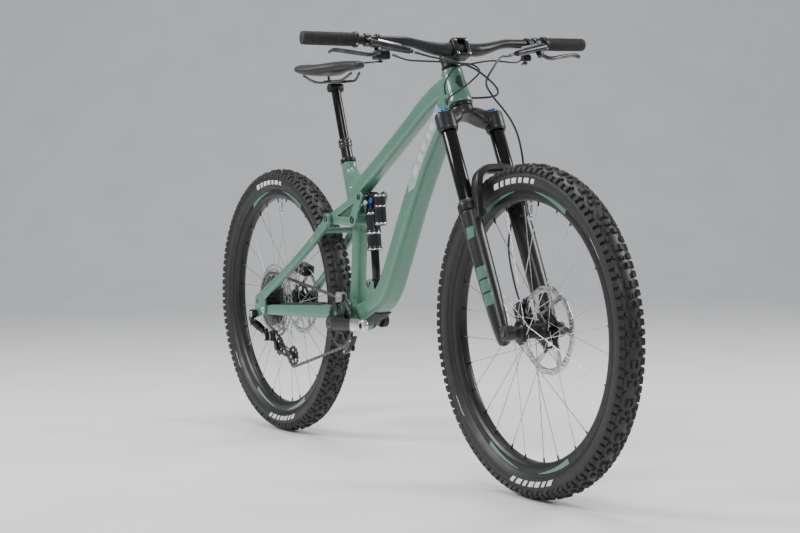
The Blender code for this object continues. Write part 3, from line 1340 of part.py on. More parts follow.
# Seat
def seat():
    """Sliding inner post with its head, saddle rails and the saddle."""
    top = 0.2060
    post = turned(
        "dropper_stanchion", [
            (0, -0.0060), (0.0128, -0.0060), (0.0128, top), (0, top)
        ], SEAT_TUBE_TOP, SEAT_UP, "black_gloss", 20
    )
    head = seat_post(top + 0.004)
    cradle = cross_rod("post_head", head, 0.0120, -0.0200, 0.0200, "black_satin")
    unite(post, cradle)
    rail_z = head.z + 0.0162
    rails = []
    for side in (-1, 1):
        route = [
            (head.x + 0.112, side * 0.012, rail_z + 0.017),
            (head.x + 0.075, side * 0.020, rail_z + 0.001),
            (head.x + 0.030, side * 0.022, rail_z), (head.x - 0.045, side * 0.022, rail_z),
            (head.x - 0.085, side * 0.028, rail_z + 0.008),
            (head.x - 0.112, side * 0.038, rail_z + 0.0230),
        ]
        rails.append(
            as_mesh(
                tube(f"saddle_rail_{side}", smooth_path(route, 11), 0.0035, "dark_metal"), "dark_metal"
            )
        )
    clamp = block(
        "saddle_rails", Vector((head.x, 0, rail_z + 0.0010)), (0.036, 0.056, 0.0070), "dark_metal"
    )
    unite(clamp, *rails)
    nose = from_bb(0.044, 1.000).x
    length = 0.264
    stations = []
    for part, half_width, half_depth, height in (
        (0.00, 0.0100, 0.0060, 1.0030), (0.05, 0.0180, 0.0120, 1.0040), (0.15, 0.0205, 0.0150, 1.0060),
        (0.40, 0.0260, 0.0170, 1.0090), (0.58, 0.0430, 0.0160, 1.0080), (0.75, 0.0620, 0.0160, 1.0070),
        (0.90, 0.0700, 0.0150, 1.0110), (0.97, 0.0640, 0.0120, 1.0160), (1.00, 0.0500, 0.0060, 1.0190),
    ):
        stations.append((Vector((nose - length * part, 0, height)), half_width, half_depth, 2.6))
    loft("saddle", stations, "saddle_cover", 16)


# Bodies: each moving body has an empty on its joint's axis, and its pieces hang on that
def gather_bodies():
    bodies = {
        "steering": (CROWN_SEAT, (
            "fork_crown_steerer", "stem", "stem_faceplate", "stem_top_cap", "handlebar", "grip_right",
            "grip_left",
            "brake_master_right", "brake_master_left", "shifter_body", "dropper_remote_body",
            "front_brake_hose",
            "rear_brake_hose", "shift_cable", "dropper_cable",
        )),
        "damper_knob": (steer(0, LEG_FORWARD, -LEG_SPACING / 2), ("fork_damper_knob",)),
        "lowers": (FRONT_AXLE, ("fork_lowers", "front_axle", "front_caliper")),
        "front_wheel": (FRONT_AXLE, ("front_tyre", "front_rim", "front_hub_spokes", "front_rotor")),
        "rocker": (ROCKER_PIVOT, ("rocker_link",)),
        "chainstays": (MAIN_PIVOT, ("chainstay",)),
        "seatstays": (HORST_PIVOT, ("seatstay", "rear_axle", "rear_caliper", "derailleur_mount")),
        "derailleur_arm": (DERAILLEUR_PIVOT, ("derailleur_link",)),
        "derailleur_end": (LINK_END, ("derailleur_knuckle",)),
        "cage": (GUIDE_PULLEY, ("derailleur_cage",)),
        "upper_pulley": (GUIDE_PULLEY, ("guide_pulley",)),
        "lower_pulley": (TENSION_PULLEY, ("tension_pulley",)),
        "shock_lower": (SHOCK_LOWER, ("shock_shaft",)),
        "shock_upper": (ROCKER_FRONT, ("shock_body",)),
        "shock_switch": (shock_switch_place(), ("shock_lever",)),
        "rear_wheel": (REAR_AXLE, ("rear_tyre", "rear_rim", "rear_hub_spokes", "rear_rotor")),
        "sprockets": (REAR_AXLE, ("cassette",)),
        "crankset": (BB, ("crank_arm_right", "crank_arm_left", "chainring")),
        "seat_post": (SEAT_TUBE_TOP, ("dropper_stanchion", "saddle_rails", "saddle")),
        "right_lever": (lever_pivot(-1), ("brake_lever_right",)),
        "left_lever": (lever_pivot(1), ("brake_lever_left",)),
        "gear_thumb": (small_lever_pivot(-1), ("shifter_lever",)),
        "post_thumb": (small_lever_pivot(1), ("dropper_remote_lever",)),
    }
    bpy.context.view_layer.update()
    for body, (place, names) in bodies.items():
        anchor = bpy.data.objects.new(body + "_anchor", None)
        anchor.location = place
        anchor.empty_display_size = 0.03
        MODEL.objects.link(anchor)
        bpy.context.view_layer.update()
        for name in names:
            obj = bpy.data.objects[name]
            obj.parent = anchor
            obj.matrix_parent_inverse = anchor.matrix_world.inverted()


main_frame()
frame_fittings()
rocker()
chainstay()
seatstay()
shock()
fork()
calipers()
front_wheel()
rear_wheel()
cassette()
chain()
cranks()
chainring()
chain_guide()
derailleur()
cockpit()
hoses()
seat()
gather_bodies()
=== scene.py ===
"""Finished look of a full-suspension mountain bike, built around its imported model.

Metres, +X forward, +Y to the rider's left, +Z up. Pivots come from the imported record.
"""
import json
from math import asin, atan2, copysign, cos, pi, radians, sin, sqrt, tau

import bmesh
import bpy
from mathutils import Matrix, Vector


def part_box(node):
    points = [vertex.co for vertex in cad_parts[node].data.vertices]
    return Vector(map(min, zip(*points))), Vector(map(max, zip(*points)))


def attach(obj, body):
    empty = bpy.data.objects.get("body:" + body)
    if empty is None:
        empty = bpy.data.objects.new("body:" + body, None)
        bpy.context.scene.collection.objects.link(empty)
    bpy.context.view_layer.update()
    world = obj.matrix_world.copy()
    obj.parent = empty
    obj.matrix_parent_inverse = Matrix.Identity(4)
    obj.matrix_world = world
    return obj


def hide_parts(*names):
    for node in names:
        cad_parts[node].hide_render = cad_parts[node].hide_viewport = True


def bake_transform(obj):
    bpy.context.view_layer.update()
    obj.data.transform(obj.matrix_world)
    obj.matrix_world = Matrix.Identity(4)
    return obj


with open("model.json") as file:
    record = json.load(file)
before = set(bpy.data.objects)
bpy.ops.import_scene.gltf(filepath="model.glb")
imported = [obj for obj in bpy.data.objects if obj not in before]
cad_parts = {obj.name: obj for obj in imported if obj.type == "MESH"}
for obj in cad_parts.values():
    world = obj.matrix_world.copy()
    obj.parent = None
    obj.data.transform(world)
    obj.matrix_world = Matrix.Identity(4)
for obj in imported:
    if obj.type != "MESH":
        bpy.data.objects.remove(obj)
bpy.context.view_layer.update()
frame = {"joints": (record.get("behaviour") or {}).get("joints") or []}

JOINTS = {joint["name"]: joint for joint in frame["joints"]}

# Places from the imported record
UP = Vector((0, 0, 1))
LEFT = Vector((0, 1, 0))
FRONT_AXLE = Vector(JOINTS["front_wheel_spin"]["pos_m"])
REAR_AXLE = Vector(JOINTS["rear_wheel_spin"]["pos_m"])
BB = Vector(JOINTS["crank_spin"]["pos_m"])
MAIN_PIVOT = Vector(JOINTS["chainstay_pivot"]["pos_m"])
HORST_PIVOT = Vector(JOINTS["horst_pivot"]["pos_m"])
ROCKER_PIVOT = Vector(JOINTS["rocker_pivot"]["pos_m"])
SHOCK_LOWER = Vector(JOINTS["shock_swing"]["pos_m"])
GUIDE_PULLEY = Vector(JOINTS["guide_pulley_spin"]["pos_m"])
TENSION_PULLEY = Vector(JOINTS["tension_pulley_spin"]["pos_m"])
CROWN_SEAT = Vector(JOINTS["steering_turn"]["pos_m"])
STEER_UP = Vector(JOINTS["steering_turn"]["axis"])
SEAT_UP = Vector(JOINTS["post_drop"]["axis"])
STEER_FORWARD = Vector((STEER_UP.z, 0, -STEER_UP.x))
SEAT_FORWARD = Vector((SEAT_UP.z, 0, -SEAT_UP.x))
ROCKER_REAR = BB + Vector((-0.070, 0, 0.270))
ROCKER_FRONT = BB + Vector((0.090, 0, 0.329))
SEAT_TUBE_TOP = BB + Vector((-0.033, 0, 0.417))
DERAILLEUR_PIVOT = BB + Vector((-0.446, 0, -0.002))
LINK_START = Vector(JOINTS["derailleur_shift"]["pos_m"])
LINK_END = Vector(JOINTS["derailleur_level"]["pos_m"])

# Sizes that the model shares with the solids
WHEEL_RADIUS = 0.373
RIM_INNER = 0.2893
SPOKES = 28
ROTOR_RADIUS = 0.1015
FRONT_ROTOR_Y = 0.040
REAR_ROTOR_Y = 0.058
CHAIN_PITCH = 0.0127
RING_TEETH = 32
RING_Y = -0.052
SPROCKET_TEETH = (10, 12, 14, 16, 18, 21, 24, 28, 33, 39, 45, 51)
SPROCKET_SPACING = 0.00365
SMALLEST_SPROCKET_Y = -0.067
CHAIN_SPROCKET = 9
CRANK_LENGTH = 0.175
LEG_HALF = 0.0655
LEG_FORWARD = 0.0205
STANCHION_RADIUS = 0.018
STEERER_RADIUS = 0.0143
HEAD_LOW = 0.017
HEAD_HIGH = 0.106
BAR_HEIGHT = 0.1370
BAR_FORWARD = 0.050
BAR_HALF = 0.390
BAR_RADIUS = 0.0111
GRIP_LENGTH = 0.135
GUIDE_TEETH = 12
TENSION_TEETH = 14
DOWN_TUBE_SQUARE = 4.6
GUARD_Y = -0.0515
BRAKE_CLAMP_Y = 0.232
MASTER_END_Y = 0.140
CONTROL_CLAMP_Y = 0.206

# The camera that matches the photograph's viewing angle
VIEW_AZIMUTH = radians(60.1)
VIEW_ELEVATION = radians(3.2)
VIEW_ROLL = radians(1.04)
VIEW_DISTANCE = 4.25
VIEW_TARGET = Vector((0.040, 0.0, 0.494))
VIEW_LENS = 76.275


def steer(along, forward=0.0, y=0.0):
    """A point measured from the crown seat: along the steering axis, in front of it, and to the left."""
    return CROWN_SEAT + STEER_UP * along + STEER_FORWARD * forward + LEFT * y


def from_bb(x, z, y=0.0):
    """A point x in front of the bottom bracket, at height z above the ground."""
    return Vector((BB.x + x, y, z))


def seat_post(along, forward=0.0, y=0.0):
    """A point measured from the top of the seat tube along the post."""
    return SEAT_TUBE_TOP + SEAT_UP * along + SEAT_FORWARD * forward + LEFT * y


def sprocket_y(index):
    return SMALLEST_SPROCKET_Y + SPROCKET_SPACING * index


def pitch_radius(teeth):
    return CHAIN_PITCH / (2 * sin(pi / teeth))


# Materials
def new_material(name):
    """An empty node material: its node maker, its links and its shader."""
    material = bpy.data.materials.new(name)
    material.use_nodes = True
    nodes = material.node_tree.nodes
    shader = nodes["Principled BSDF"]
    return material, nodes, material.node_tree.links, shader


def noise_at(nodes, links, scale, detail=3.0, stretch=(1, 1, 1)):
    """Noise over the object's own coordinates, stretched along its axes."""
    coordinates = nodes.new("ShaderNodeTexCoord")
    mapping = nodes.new("ShaderNodeMapping")
    mapping.inputs["Scale"].default_value = stretch
    texture = nodes.new("ShaderNodeTexNoise")
    texture.inputs["Scale"].default_value = scale
    texture.inputs["Detail"].default_value = detail
    links.new(coordinates.outputs["Object"], mapping.inputs["Vector"])
    links.new(mapping.outputs["Vector"], texture.inputs["Vector"])
    return texture


def ramp_between(nodes, links, source, low, high, start=0.35, end=0.65):
    """A colour ramp from low to high, driven by a value."""
    ramp = nodes.new("ShaderNodeValToRGB")
    ramp.color_ramp.elements[0].position = start
    ramp.color_ramp.elements[1].position = end
    ramp.color_ramp.elements[0].color = (*low, 1)
    ramp.color_ramp.elements[1].color = (*high, 1)
    links.new(source, ramp.inputs["Fac"])
    return ramp


def surface(
    name, low, high, rough=(0.3, 0.4), metallic=0.0, scale=40.0, bump=0.1, bump_scale=900.0,
    bump_distance=0.0002, coat=0.0, stretch=(1, 1, 1), sheen=0.0,
):
    """A painted, moulded or metal surface: mottled colour, uneven gloss and a fine grain."""
    material, nodes, links, shader = new_material(name)
    mottle = noise_at(nodes, links, scale, 4.0, stretch)
    colour = ramp_between(nodes, links, mottle.outputs["Fac"], low, high)
    links.new(colour.outputs["Color"], shader.inputs["Base Color"])
    gloss = nodes.new("ShaderNodeMapRange")
    gloss.inputs["From Min"].default_value = 0.3
    gloss.inputs["From Max"].default_value = 0.7
    gloss.inputs["To Min"].default_value = rough[0]
    gloss.inputs["To Max"].default_value = rough[1]
    wear = noise_at(nodes, links, scale * 0.6, 6.0, stretch)
    links.new(wear.outputs["Fac"], gloss.inputs["Value"])
    links.new(gloss.outputs["Result"], shader.inputs["Roughness"])
    grain = noise_at(nodes, links, bump_scale, 2.0, stretch)
    relief = nodes.new("ShaderNodeBump")
    relief.inputs["Strength"].default_value = bump
    relief.inputs["Distance"].default_value = bump_distance
    links.new(grain.outputs["Fac"], relief.inputs["Height"])
    links.new(relief.outputs["Normal"], shader.inputs["Normal"])
    shader.inputs["Metallic"].default_value = metallic
    shader.inputs["Coat Weight"].default_value = coat
    shader.inputs["Coat Roughness"].default_value = 0.12
    shader.inputs["Sheen Weight"].default_value = sheen
    return material


def cell_grain(material, scale, strength, distance):
    """Pebbled relief, as on leather or a moulded grip, in place of the fine grain."""
    nodes = material.node_tree.nodes
    links = material.node_tree.links
    coordinates = nodes.new("ShaderNodeTexCoord")
    cells = nodes.new("ShaderNodeTexVoronoi")
    cells.inputs["Scale"].default_value = scale
    links.new(coordinates.outputs["Object"], cells.inputs["Vector"])
    relief = [node for node in nodes if node.bl_idname == "ShaderNodeBump"][0]
    relief.inputs["Strength"].default_value = strength
    relief.inputs["Distance"].default_value = distance
    links.new(cells.outputs["Distance"], relief.inputs["Height"])
    return material


PAINT = surface(
    "mint_paint", (0.066, 0.172, 0.118), (0.076, 0.190, 0.132), (0.24, 0.32), 0.0, 9.0, 0.04, 1400.0,
    0.0001, 0.40
)
PALE_PAINT = surface(
    "pale_mint_paint", (0.36, 0.50, 0.44), (0.42, 0.55, 0.49), (0.28, 0.36), 0.0, 30.0, 0.03, 1400.0,
    0.0001, 0.3
)
BLACK_GLOSS = surface("black_gloss_paint", (0.004, 0.004, 0.005), (0.007, 0.007, 0.008), (0.14, 0.22), 0.0,
    30.0, 0.04, 1100.0, 0.0001, 0.6)
CROWN_BLACK = surface("crown_black", (0.006, 0.006, 0.007), (0.010, 0.010, 0.011), (0.34, 0.44), 0.1, 40.0,
    0.06, 1300.0, 0.0001, 0.1)
GREY_GLOSS = surface("graphite_paint", (0.010, 0.010, 0.011), (0.015, 0.015, 0.016), (0.30, 0.38), 0.1,
    30.0, 0.04, 1100.0, 0.0001, 0.15)
GRAPHITE = surface("graphite_anodising", (0.050, 0.050, 0.054), (0.085, 0.085, 0.090), (0.18, 0.28), 0.9,
    60.0, 0.08, 1500.0, 0.0001, 0.2)
# Darker green than the frame paint: painted shade for recess floors and grooves.
PAINTED_SHADE = surface("pocket_painted_shade", (0.026, 0.075, 0.050), (0.032, 0.086, 0.058), (0.40, 0.50), 0.0,
    30.0, 0.05, 1400.0, 0.0001)
MARK_GREEN = surface("yellow_green_print", (0.20, 0.34, 0.02), (0.25, 0.40, 0.03), (0.35, 0.45), 0.0, 60.0,
    0.04, 1400.0, 0.0001)
BADGE = surface("badge_print", (0.004, 0.020, 0.012), (0.006, 0.026, 0.016), (0.30, 0.38), 0.0, 60.0, 0.04,
    1400.0, 0.0001, 0.3)
STANCHION = surface("black_stanchion_coating", (0.005, 0.005, 0.005), (0.009, 0.009, 0.009), (0.09, 0.14),
    0.6, 60.0, 0.03, 1500.0, 0.00005, 0.3)
BLACK_SATIN = surface("black_anodising", (0.007, 0.007, 0.008), (0.012, 0.012, 0.013), (0.30, 0.42), 0.3,
    60.0, 0.10, 1600.0, 0.0001)
BLACK_PLASTIC = surface("black_moulded_plastic", (0.008, 0.008, 0.009), (0.013, 0.013, 0.014), (0.42, 0.55),
    0.0, 80.0, 0.20, 2200.0, 0.0002)
DARK_STEEL = surface("dark_steel", (0.075, 0.075, 0.080), (0.13, 0.13, 0.135), (0.28, 0.42), 0.9, 90.0,
    0.12, 900.0, 0.0001)
STEEL = surface("brushed_steel", (0.40, 0.40, 0.41), (0.58, 0.58, 0.58), (0.20, 0.34), 1.0, 120.0, 0.10,
    900.0, 0.0001, 0.0, (1, 6, 1))
POLISHED = surface("polished_alloy", (0.62, 0.62, 0.63), (0.78, 0.78, 0.79), (0.12, 0.24), 1.0, 60.0, 0.06,
    700.0, 0.0001)
ALLOY = surface("cast_alloy", (0.36, 0.36, 0.37), (0.50, 0.50, 0.51), (0.30, 0.45), 0.9, 90.0, 0.14, 1500.0,
    0.0001)
BLUE = surface("blue_anodising", (0.006, 0.12, 0.42), (0.012, 0.18, 0.55), (0.18, 0.28), 0.8, 60.0, 0.06,
    1500.0, 0.0001, 0.4)
RED = surface("red_anodising", (0.45, 0.01, 0.01), (0.55, 0.02, 0.02), (0.2, 0.3), 0.7, 60.0, 0.06, 1500.0,
    0.0001, 0.3)
TREAD = cell_grain(
    surface("tyre_tread_rubber", (0.010, 0.010, 0.010), (0.018, 0.0175, 0.017), (0.58, 0.74), 0.0, 70.0,
    0.25, 1200.0, 0.0003),
    620.0, 0.30, 0.0004,
)
SIDEWALL = surface(
    "tyre_sidewall_rubber", (0.007, 0.007, 0.0075), (0.012, 0.012, 0.0125), (0.42, 0.54), 0.0, 60.0, 0.22,
    1800.0, 0.0002
)
PRINT = surface("sidewall_print", (0.60, 0.60, 0.60), (0.74, 0.74, 0.74), (0.5, 0.6), 0.0, 240.0, 0.10,
    1500.0, 0.0001)
GRIP_RUBBER = cell_grain(
    surface("grip_rubber", (0.009, 0.009, 0.009), (0.014, 0.014, 0.014), (0.62, 0.78), 0.0, 90.0, 0.3,
    900.0, 0.0004),
    700.0, 0.5, 0.0005,
)
SADDLE_COVER = cell_grain(
    surface("saddle_cover", (0.0045, 0.0045, 0.005), (0.009, 0.009, 0.010), (0.42, 0.56), 0.0, 40.0, 0.3,
    900.0, 0.0003, 0.0, (1, 1, 1), 0.04),
    900.0, 0.35, 0.0003,
)
HOSE = surface("hose_jacket", (0.008, 0.008, 0.009), (0.013, 0.013, 0.014), (0.34, 0.46), 0.0, 60.0, 0.12,
    1800.0, 0.0001)
GUARD = surface("frame_guard_rubber", (0.010, 0.011, 0.011), (0.016, 0.017, 0.017), (0.55, 0.68), 0.0, 60.0,
    0.25, 1300.0, 0.0002)
TRANSLUCENT = surface("guide_nylon", (0.15, 0.155, 0.15), (0.20, 0.205, 0.20), (0.35, 0.45), 0.0, 60.0,
    0.10, 1300.0, 0.0001)
CHAIN_STEEL = surface("chain_steel", (0.105, 0.090, 0.075), (0.21, 0.185, 0.155), (0.30, 0.46), 0.9, 160.0,
    0.12, 900.0, 0.0001)
SILVER_DECAL = surface("silver_decal", (0.42, 0.46, 0.46), (0.50, 0.54, 0.53), (0.25, 0.35), 0.5, 60.0,
    0.03, 1300.0, 0.0001, 0.4)
FLOOR = surface("studio_floor_paper", (0.80, 0.80, 0.80), (0.84, 0.84, 0.84), (0.75, 0.85), 0.0, 3.0, 0.02,
    60.0, 0.0002)


# Shape tools
def add_object(name, data, material):
    """A new object with this data and one material."""
    obj = bpy.data.objects.new(name, data)
    bpy.context.scene.collection.objects.link(obj)
    obj.data.materials.clear()
    obj.data.materials.append(material)
    return obj


def from_shape(name, shape, material, sharp=32):
    """A mesh object made from a bmesh, smooth apart from edges sharper than the given angle."""
    bmesh.ops.recalc_face_normals(shape, faces=shape.faces)
    mesh = bpy.data.meshes.new(name)
    shape.to_mesh(mesh)
    shape.free()
    mesh.shade_smooth()
    mesh.set_sharp_from_angle(angle=radians(sharp))
    return add_object(name, mesh, material)


def shaped_mesh(obj):
    """A new mesh of what an object's modifiers make of it."""
    bpy.context.view_layer.update()
    return bpy.data.meshes.new_from_object(obj.evaluated_get(bpy.context.evaluated_depsgraph_get()))


def skin_grid(shape, rows):
    """Faces between neighbouring rows of an open sheet."""
    for a, b in zip(rows, rows[1:]):
        for j in range(len(a) - 1):
            shape.faces.new((a[j], b[j], b[j + 1], a[j + 1]))


def skin_loops(shape, loops):
    """Faces between neighbouring closed loops, with a cap on the first and the last."""
    sides = len(loops[0])
    for low, high in zip(loops, loops[1:]):
        for k in range(sides):
            shape.faces.new((low[k], low[(k + 1) % sides], high[(k + 1) % sides], high[k]))
    shape.faces.new(loops[0][::-1])
    shape.faces.new(loops[-1])


def join(name, parts):
    """One object from several, each part keeping its own material."""
    first = parts[0]
    if len(parts) > 1:
        with bpy.context.temp_override(active_object=first, selected_editable_objects=parts,
                selected_objects=parts):
            bpy.ops.object.join()
    first.name = name
    return first


def soften(profile, size):
    """The profile with each corner off the axis cut back by two small facets."""
    found = []
    count = len(profile)
    for i, (r, h) in enumerate(profile):
        here = Vector((r, h))
        before = Vector(profile[i - 1])
        after = Vector(profile[(i + 1) % count])
        ends = i in (0, count - 1) and r < 1e-6
        if ends or r < 1e-6 or (before - here).length < 1e-6 or (after - here).length < 1e-6:
            found.append((r, h))
            continue
        back = min(size, (before - here).length * 0.4)
        ahead = min(size, (after - here).length * 0.4)
        a = here + (before - here).normalized() * back
        b = here + (after - here).normalized() * ahead
        middle = here * 0.42 + (a + b) * 0.29
        found += [tuple(a), tuple(middle), tuple(b)]
    return found


def basis(axis):
    """Two directions square to an axis and to each other."""
    axis = axis.normalized()
    helper = LEFT if abs(axis.dot(LEFT)) < 0.9 else UP
    u = helper.cross(axis).normalized()
    return u, axis.cross(u).normalized()


def revolve(name, profile, centre, axis, material, steps=72, edge=0.0006, sharp=32):
    """A turned piece: the profile is (radius, distance along the axis), rounded at its corners."""
    profile = soften(profile, edge) if edge else list(profile)
    axis = axis.normalized()
    u, v = basis(axis)
    closed = min(r for r, _ in profile) > 1e-6
    shape = bmesh.new()
    rings = []
    for r, h in profile:
        base = centre + axis * h
        if r < 1e-6:
            rings.append([shape.verts.new(base)] * steps)
            continue
        rings.append(
            [shape.verts.new(base + (u * cos(tau * k / steps) + v * sin(tau * k / steps)) * r)
            for k in range(steps)]
        )
    pairs = list(zip(rings, rings[1:] + rings[:1])) if closed else list(zip(rings, rings[1:]))
    for low, high in pairs:
        for k in range(steps):
            n = (k + 1) % steps
            corners = []
            for vert in (low[k], low[n], high[n], high[k]):
                if vert not in corners:
                    corners.append(vert)
            if len(corners) > 2:
                shape.faces.new(corners)
    return from_shape(name, shape, material, sharp)


def cylinder(name, start, end, radius, material, steps=40, edge=0.0006, end_radius=None):
    """A round bar between two points, with softened ends."""
    length = (end - start).length
    tip = radius if end_radius is None else end_radius
    return revolve(name, [(0, 0), (radius, 0), (tip, length), (0, length)], start, end - start, material,
        steps, edge)


def across(name, centre, radius, y_from, y_to, material, steps=40, edge=0.0006):
    """A round bar along Y through a centre."""
    start = Vector((centre.x, y_from, centre.z))
    end = Vector((centre.x, y_to, centre.z))
    return cylinder(name, start, end, radius, material, steps, edge)


def smooth_path(points, count):
    """Points evenly spaced in parameter along a smooth curve through the given ones."""
    points = [Vector(p) for p in points]
    padded = [2 * points[0] - points[1], *points, 2 * points[-1] - points[-2]]
    found = []
    for k in range(count):
        place = k / (count - 1) * (len(points) - 1)
        i = min(int(place), len(points) - 2)
        t = place - i
        a, b, c, d = padded[i : i + 4]
        found.append(
            0.5 * (2 * b + (c - a) * t + (2 * a - 5 * b + 4 * c - d) * t**2 + (3 * b - a - 3 * c + d) * t**3)
        )
    return found


def section(centre, tangent, side, half_width, half_depth, square, count):
    """A closed rounded section: square 2 is an ellipse, and larger is nearer a box."""
    over = (side - tangent * side.dot(tangent)).normalized()
    depth = tangent.cross(over)
    points = []
    for k in range(count):
        angle = tau * (k + 0.5) / count
        c = copysign(abs(cos(angle)) ** (2 / square), cos(angle))
        s = copysign(abs(sin(angle)) ** (2 / square), sin(angle))
        points.append(centre + over * (half_width * c) + depth * (half_depth * s))
    return points


def loft(name, stations, material, sides=40, refine=8, side=LEFT, sharp=40, dome=0.15):
    """A smooth skin through sections (centre, half width, half depth, squareness), with domed ends."""
    packed = [Vector((*centre, w, d, q)) for centre, w, d, q in stations]
    rings = smooth_path(packed, (len(stations) - 1) * refine + 1)
    centres = [Vector(ring[:3]) for ring in rings]
    shape = bmesh.new()
    loops = []
    last = len(rings) - 1
    for i, ring in enumerate(rings):
        tangent = (centres[min(i + 1, last)] - centres[max(i - 1, 0)]).normalized()
        w, d, q = max(ring[3], 0.0002), max(ring[4], 0.0002), max(ring[5], 1.6)
        points = section(centres[i], tangent, side, w, d, q, sides)
        if i == 0 and dome:
            for shrink, push in ((0.55, 1.0), (0.86, 0.72)):
                middle = centres[i] - tangent * (min(w, d) * dome * push)
                loops.append([shape.verts.new(middle + (p - centres[i]) * shrink) for p in points])
        loops.append([shape.verts.new(p) for p in points])
        if i == last and dome:
            for shrink, push in ((0.86, 0.72), (0.55, 1.0)):
                middle = centres[i] + tangent * (min(w, d) * dome * push)
                loops.append([shape.verts.new(middle + (p - centres[i]) * shrink) for p in points])
    skin_loops(shape, loops)
    return from_shape(name, shape, material, sharp)


def sweep(name, points, radius, material, sides=14, radii=None):
    """A round bar along points, its section carried along without twist."""
    points = [Vector(p) for p in points]
    count = len(points)
    shape = bmesh.new()
    rings = []
    tangents = []
    for i in range(count):
        tangents.append((points[min(i + 1, count - 1)] - points[max(i - 1, 0)]).normalized())
    u, _ = basis(tangents[0])
    for i, point in enumerate(points):
        u = (u - tangents[i] * u.dot(tangents[i])).normalized()
        v = tangents[i].cross(u)
        size = radius * (radii[i] if radii else 1)
        rings.append(
            [shape.verts.new(point + (u * cos(tau * k / sides) + v * sin(tau * k / sides)) * size)
            for k in range(sides)]
        )
    skin_loops(shape, rings)
    return from_shape(name, shape, material, 40)


def box(name, centre, size, material, along=(1, 0, 0), edge=0.001, segments=3):
    """A block with rounded edges, its first side along a direction and its second along Y."""
    along = Vector(along).normalized()
    over = (LEFT - along * LEFT.dot(along)).normalized()
    third = along.cross(over)
    turn = Matrix((along, over, third)).transposed().to_4x4()
    placing = Matrix.Translation(centre) @ turn @ Matrix.Diagonal((*size, 1))
    shape = bmesh.new()
    bmesh.ops.create_cube(shape, size=1, matrix=placing)
    if edge:
        bmesh.ops.bevel(
            shape, geom=list(shape.edges), offset=edge, segments=segments, profile=0.6, affect="EDGES",
            clamp_overlap=True
        )
    return from_shape(name, shape, material, 30)


def arc(radius, start, end, count, x=0.0, z=0.0):
    """Points along an arc, in degrees from +X towards +Z."""
    angles = [radians(start + (end - start) * k / (count - 1)) for k in range(count)]
    return [(x + radius * cos(a), z + radius * sin(a)) for a in angles]


def circle(radius, count, x=0.0, z=0.0):
    return [(x + radius * cos(tau * k / count), z + radius * sin(tau * k / count)) for k in range(count)]


def plate(name, outlines, thickness, centre, material, edge=0.0003, sharp=32):
    """A flat piece in the XZ plane: the first outline is its edge and the rest are holes."""
    curve = bpy.data.curves.new(name, "CURVE")
    curve.dimensions = "2D"
    curve.fill_mode = "BOTH"
    curve.bevel_depth = edge
    curve.bevel_resolution = 1
    curve.extrude = thickness / 2 - edge
    curve.offset = -edge
    for outline in outlines:
        spline = curve.splines.new("POLY")
        spline.points.add(len(outline) - 1)
        spline.use_cyclic_u = True
        for point, (x, z) in zip(spline.points, outline):
            point.co = (x, z, 0, 1)
    obj = bpy.data.objects.new(name, curve)
    bpy.context.scene.collection.objects.link(obj)
    mesh = shaped_mesh(obj)
    bpy.data.objects.remove(obj)
    mesh.transform(Matrix.Translation(centre) @ Matrix.Rotation(pi / 2, 4, "X"))
    shape = bmesh.new()
    shape.from_mesh(mesh)
    bpy.data.meshes.remove(mesh)
    bmesh.ops.remove_doubles(shape, verts=shape.verts, dist=0.000005)
    return from_shape(name, shape, material, sharp)


def fuse(name, parts, voxel, rounds, material):
    """Parts melted into one cast or welded skin, with small fillets where they meet."""
    whole = join(name, parts)
    remesh = whole.modifiers.new("skin", "REMESH")
    remesh.mode = "VOXEL"
    remesh.voxel_size = voxel
    relax = whole.modifiers.new("fillets", "SMOOTH")
    relax.factor = 0.5
    relax.iterations = rounds
    mesh = shaped_mesh(whole)
    whole.modifiers.clear()
    whole.data = mesh
    mesh.materials.clear()
    mesh.materials.append(material)
    mesh.shade_smooth()
    return whole


def cut(obj, *cutters):
    """Takes the cutters' space out of a piece."""
    for cutter in cutters:
        modifier = obj.modifiers.new("cut", "BOOLEAN")
        modifier.object = cutter
        modifier.solver = "EXACT"
    mesh = shaped_mesh(obj)
    obj.modifiers.clear()
    obj.data = mesh
    for cutter in cutters:
        bpy.data.objects.remove(cutter)
    mesh.shade_smooth()
    mesh.set_sharp_from_angle(angle=radians(30))
    return obj


def settle(piece, body, *nodes, slot=None):
    """A finished piece rides on its body and stands for the solids it replaces."""
    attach(piece, body)
    if nodes:
        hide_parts(*nodes)
    return piece


# Wheels
def tyre(word, axle, body):
    """A tyre with its beads, moulded sidewall lines, blank printed dashes and a tread of separate knobs."""
    crown = WHEEL_RADIUS - 0.0062
    outside = [(0.3112, 0.0149), (0.3135, 0.0158), (0.3165, 0.0178), (0.3200, 0.0212), (0.3260, 0.0252),
        (0.3340, 0.0280)]
    outside += [(0.3420, 0.0288), (0.3500, 0.0276), (0.3570, 0.0246), (0.3620, 0.0200), (0.3650, 0.0130),
        (crown, 0.0050)]
    inside = [(0.3112, 0.0110), (0.3290, 0.0200), (0.3460, 0.0250), (0.3570, 0.0200), (0.3625, 0.0080)]
    profile = [(r, -h) for r, h in outside] + [(r, h) for r, h in reversed(outside)]
    profile += inside + [(r, -h) for r, h in reversed(inside)]
    casing = revolve(f"{word}_casing", profile, axle, LEFT, SIDEWALL, 160, 0, 50)
    parts = [casing]
    for side in (-1, 1):
        for r, y, size in ((0.3215, 0.0228, 0.0007), (0.3245, 0.0246, 0.0006), (0.3500, 0.0280, 0.0008)):
            ring = [(r, side * y), (r + size, side * (y + size)), (r + 2 * size, side * y)]
            parts.append(revolve("line", ring, axle, LEFT, SIDEWALL, 160, 0, 50))
        parts.append(sidewall_dashes(axle, side))
    parts.append(tread(axle))
    return settle(join(f"{word}_tyre_detail", parts), body, f"{word}_tyre", slot="tyre_rubber")


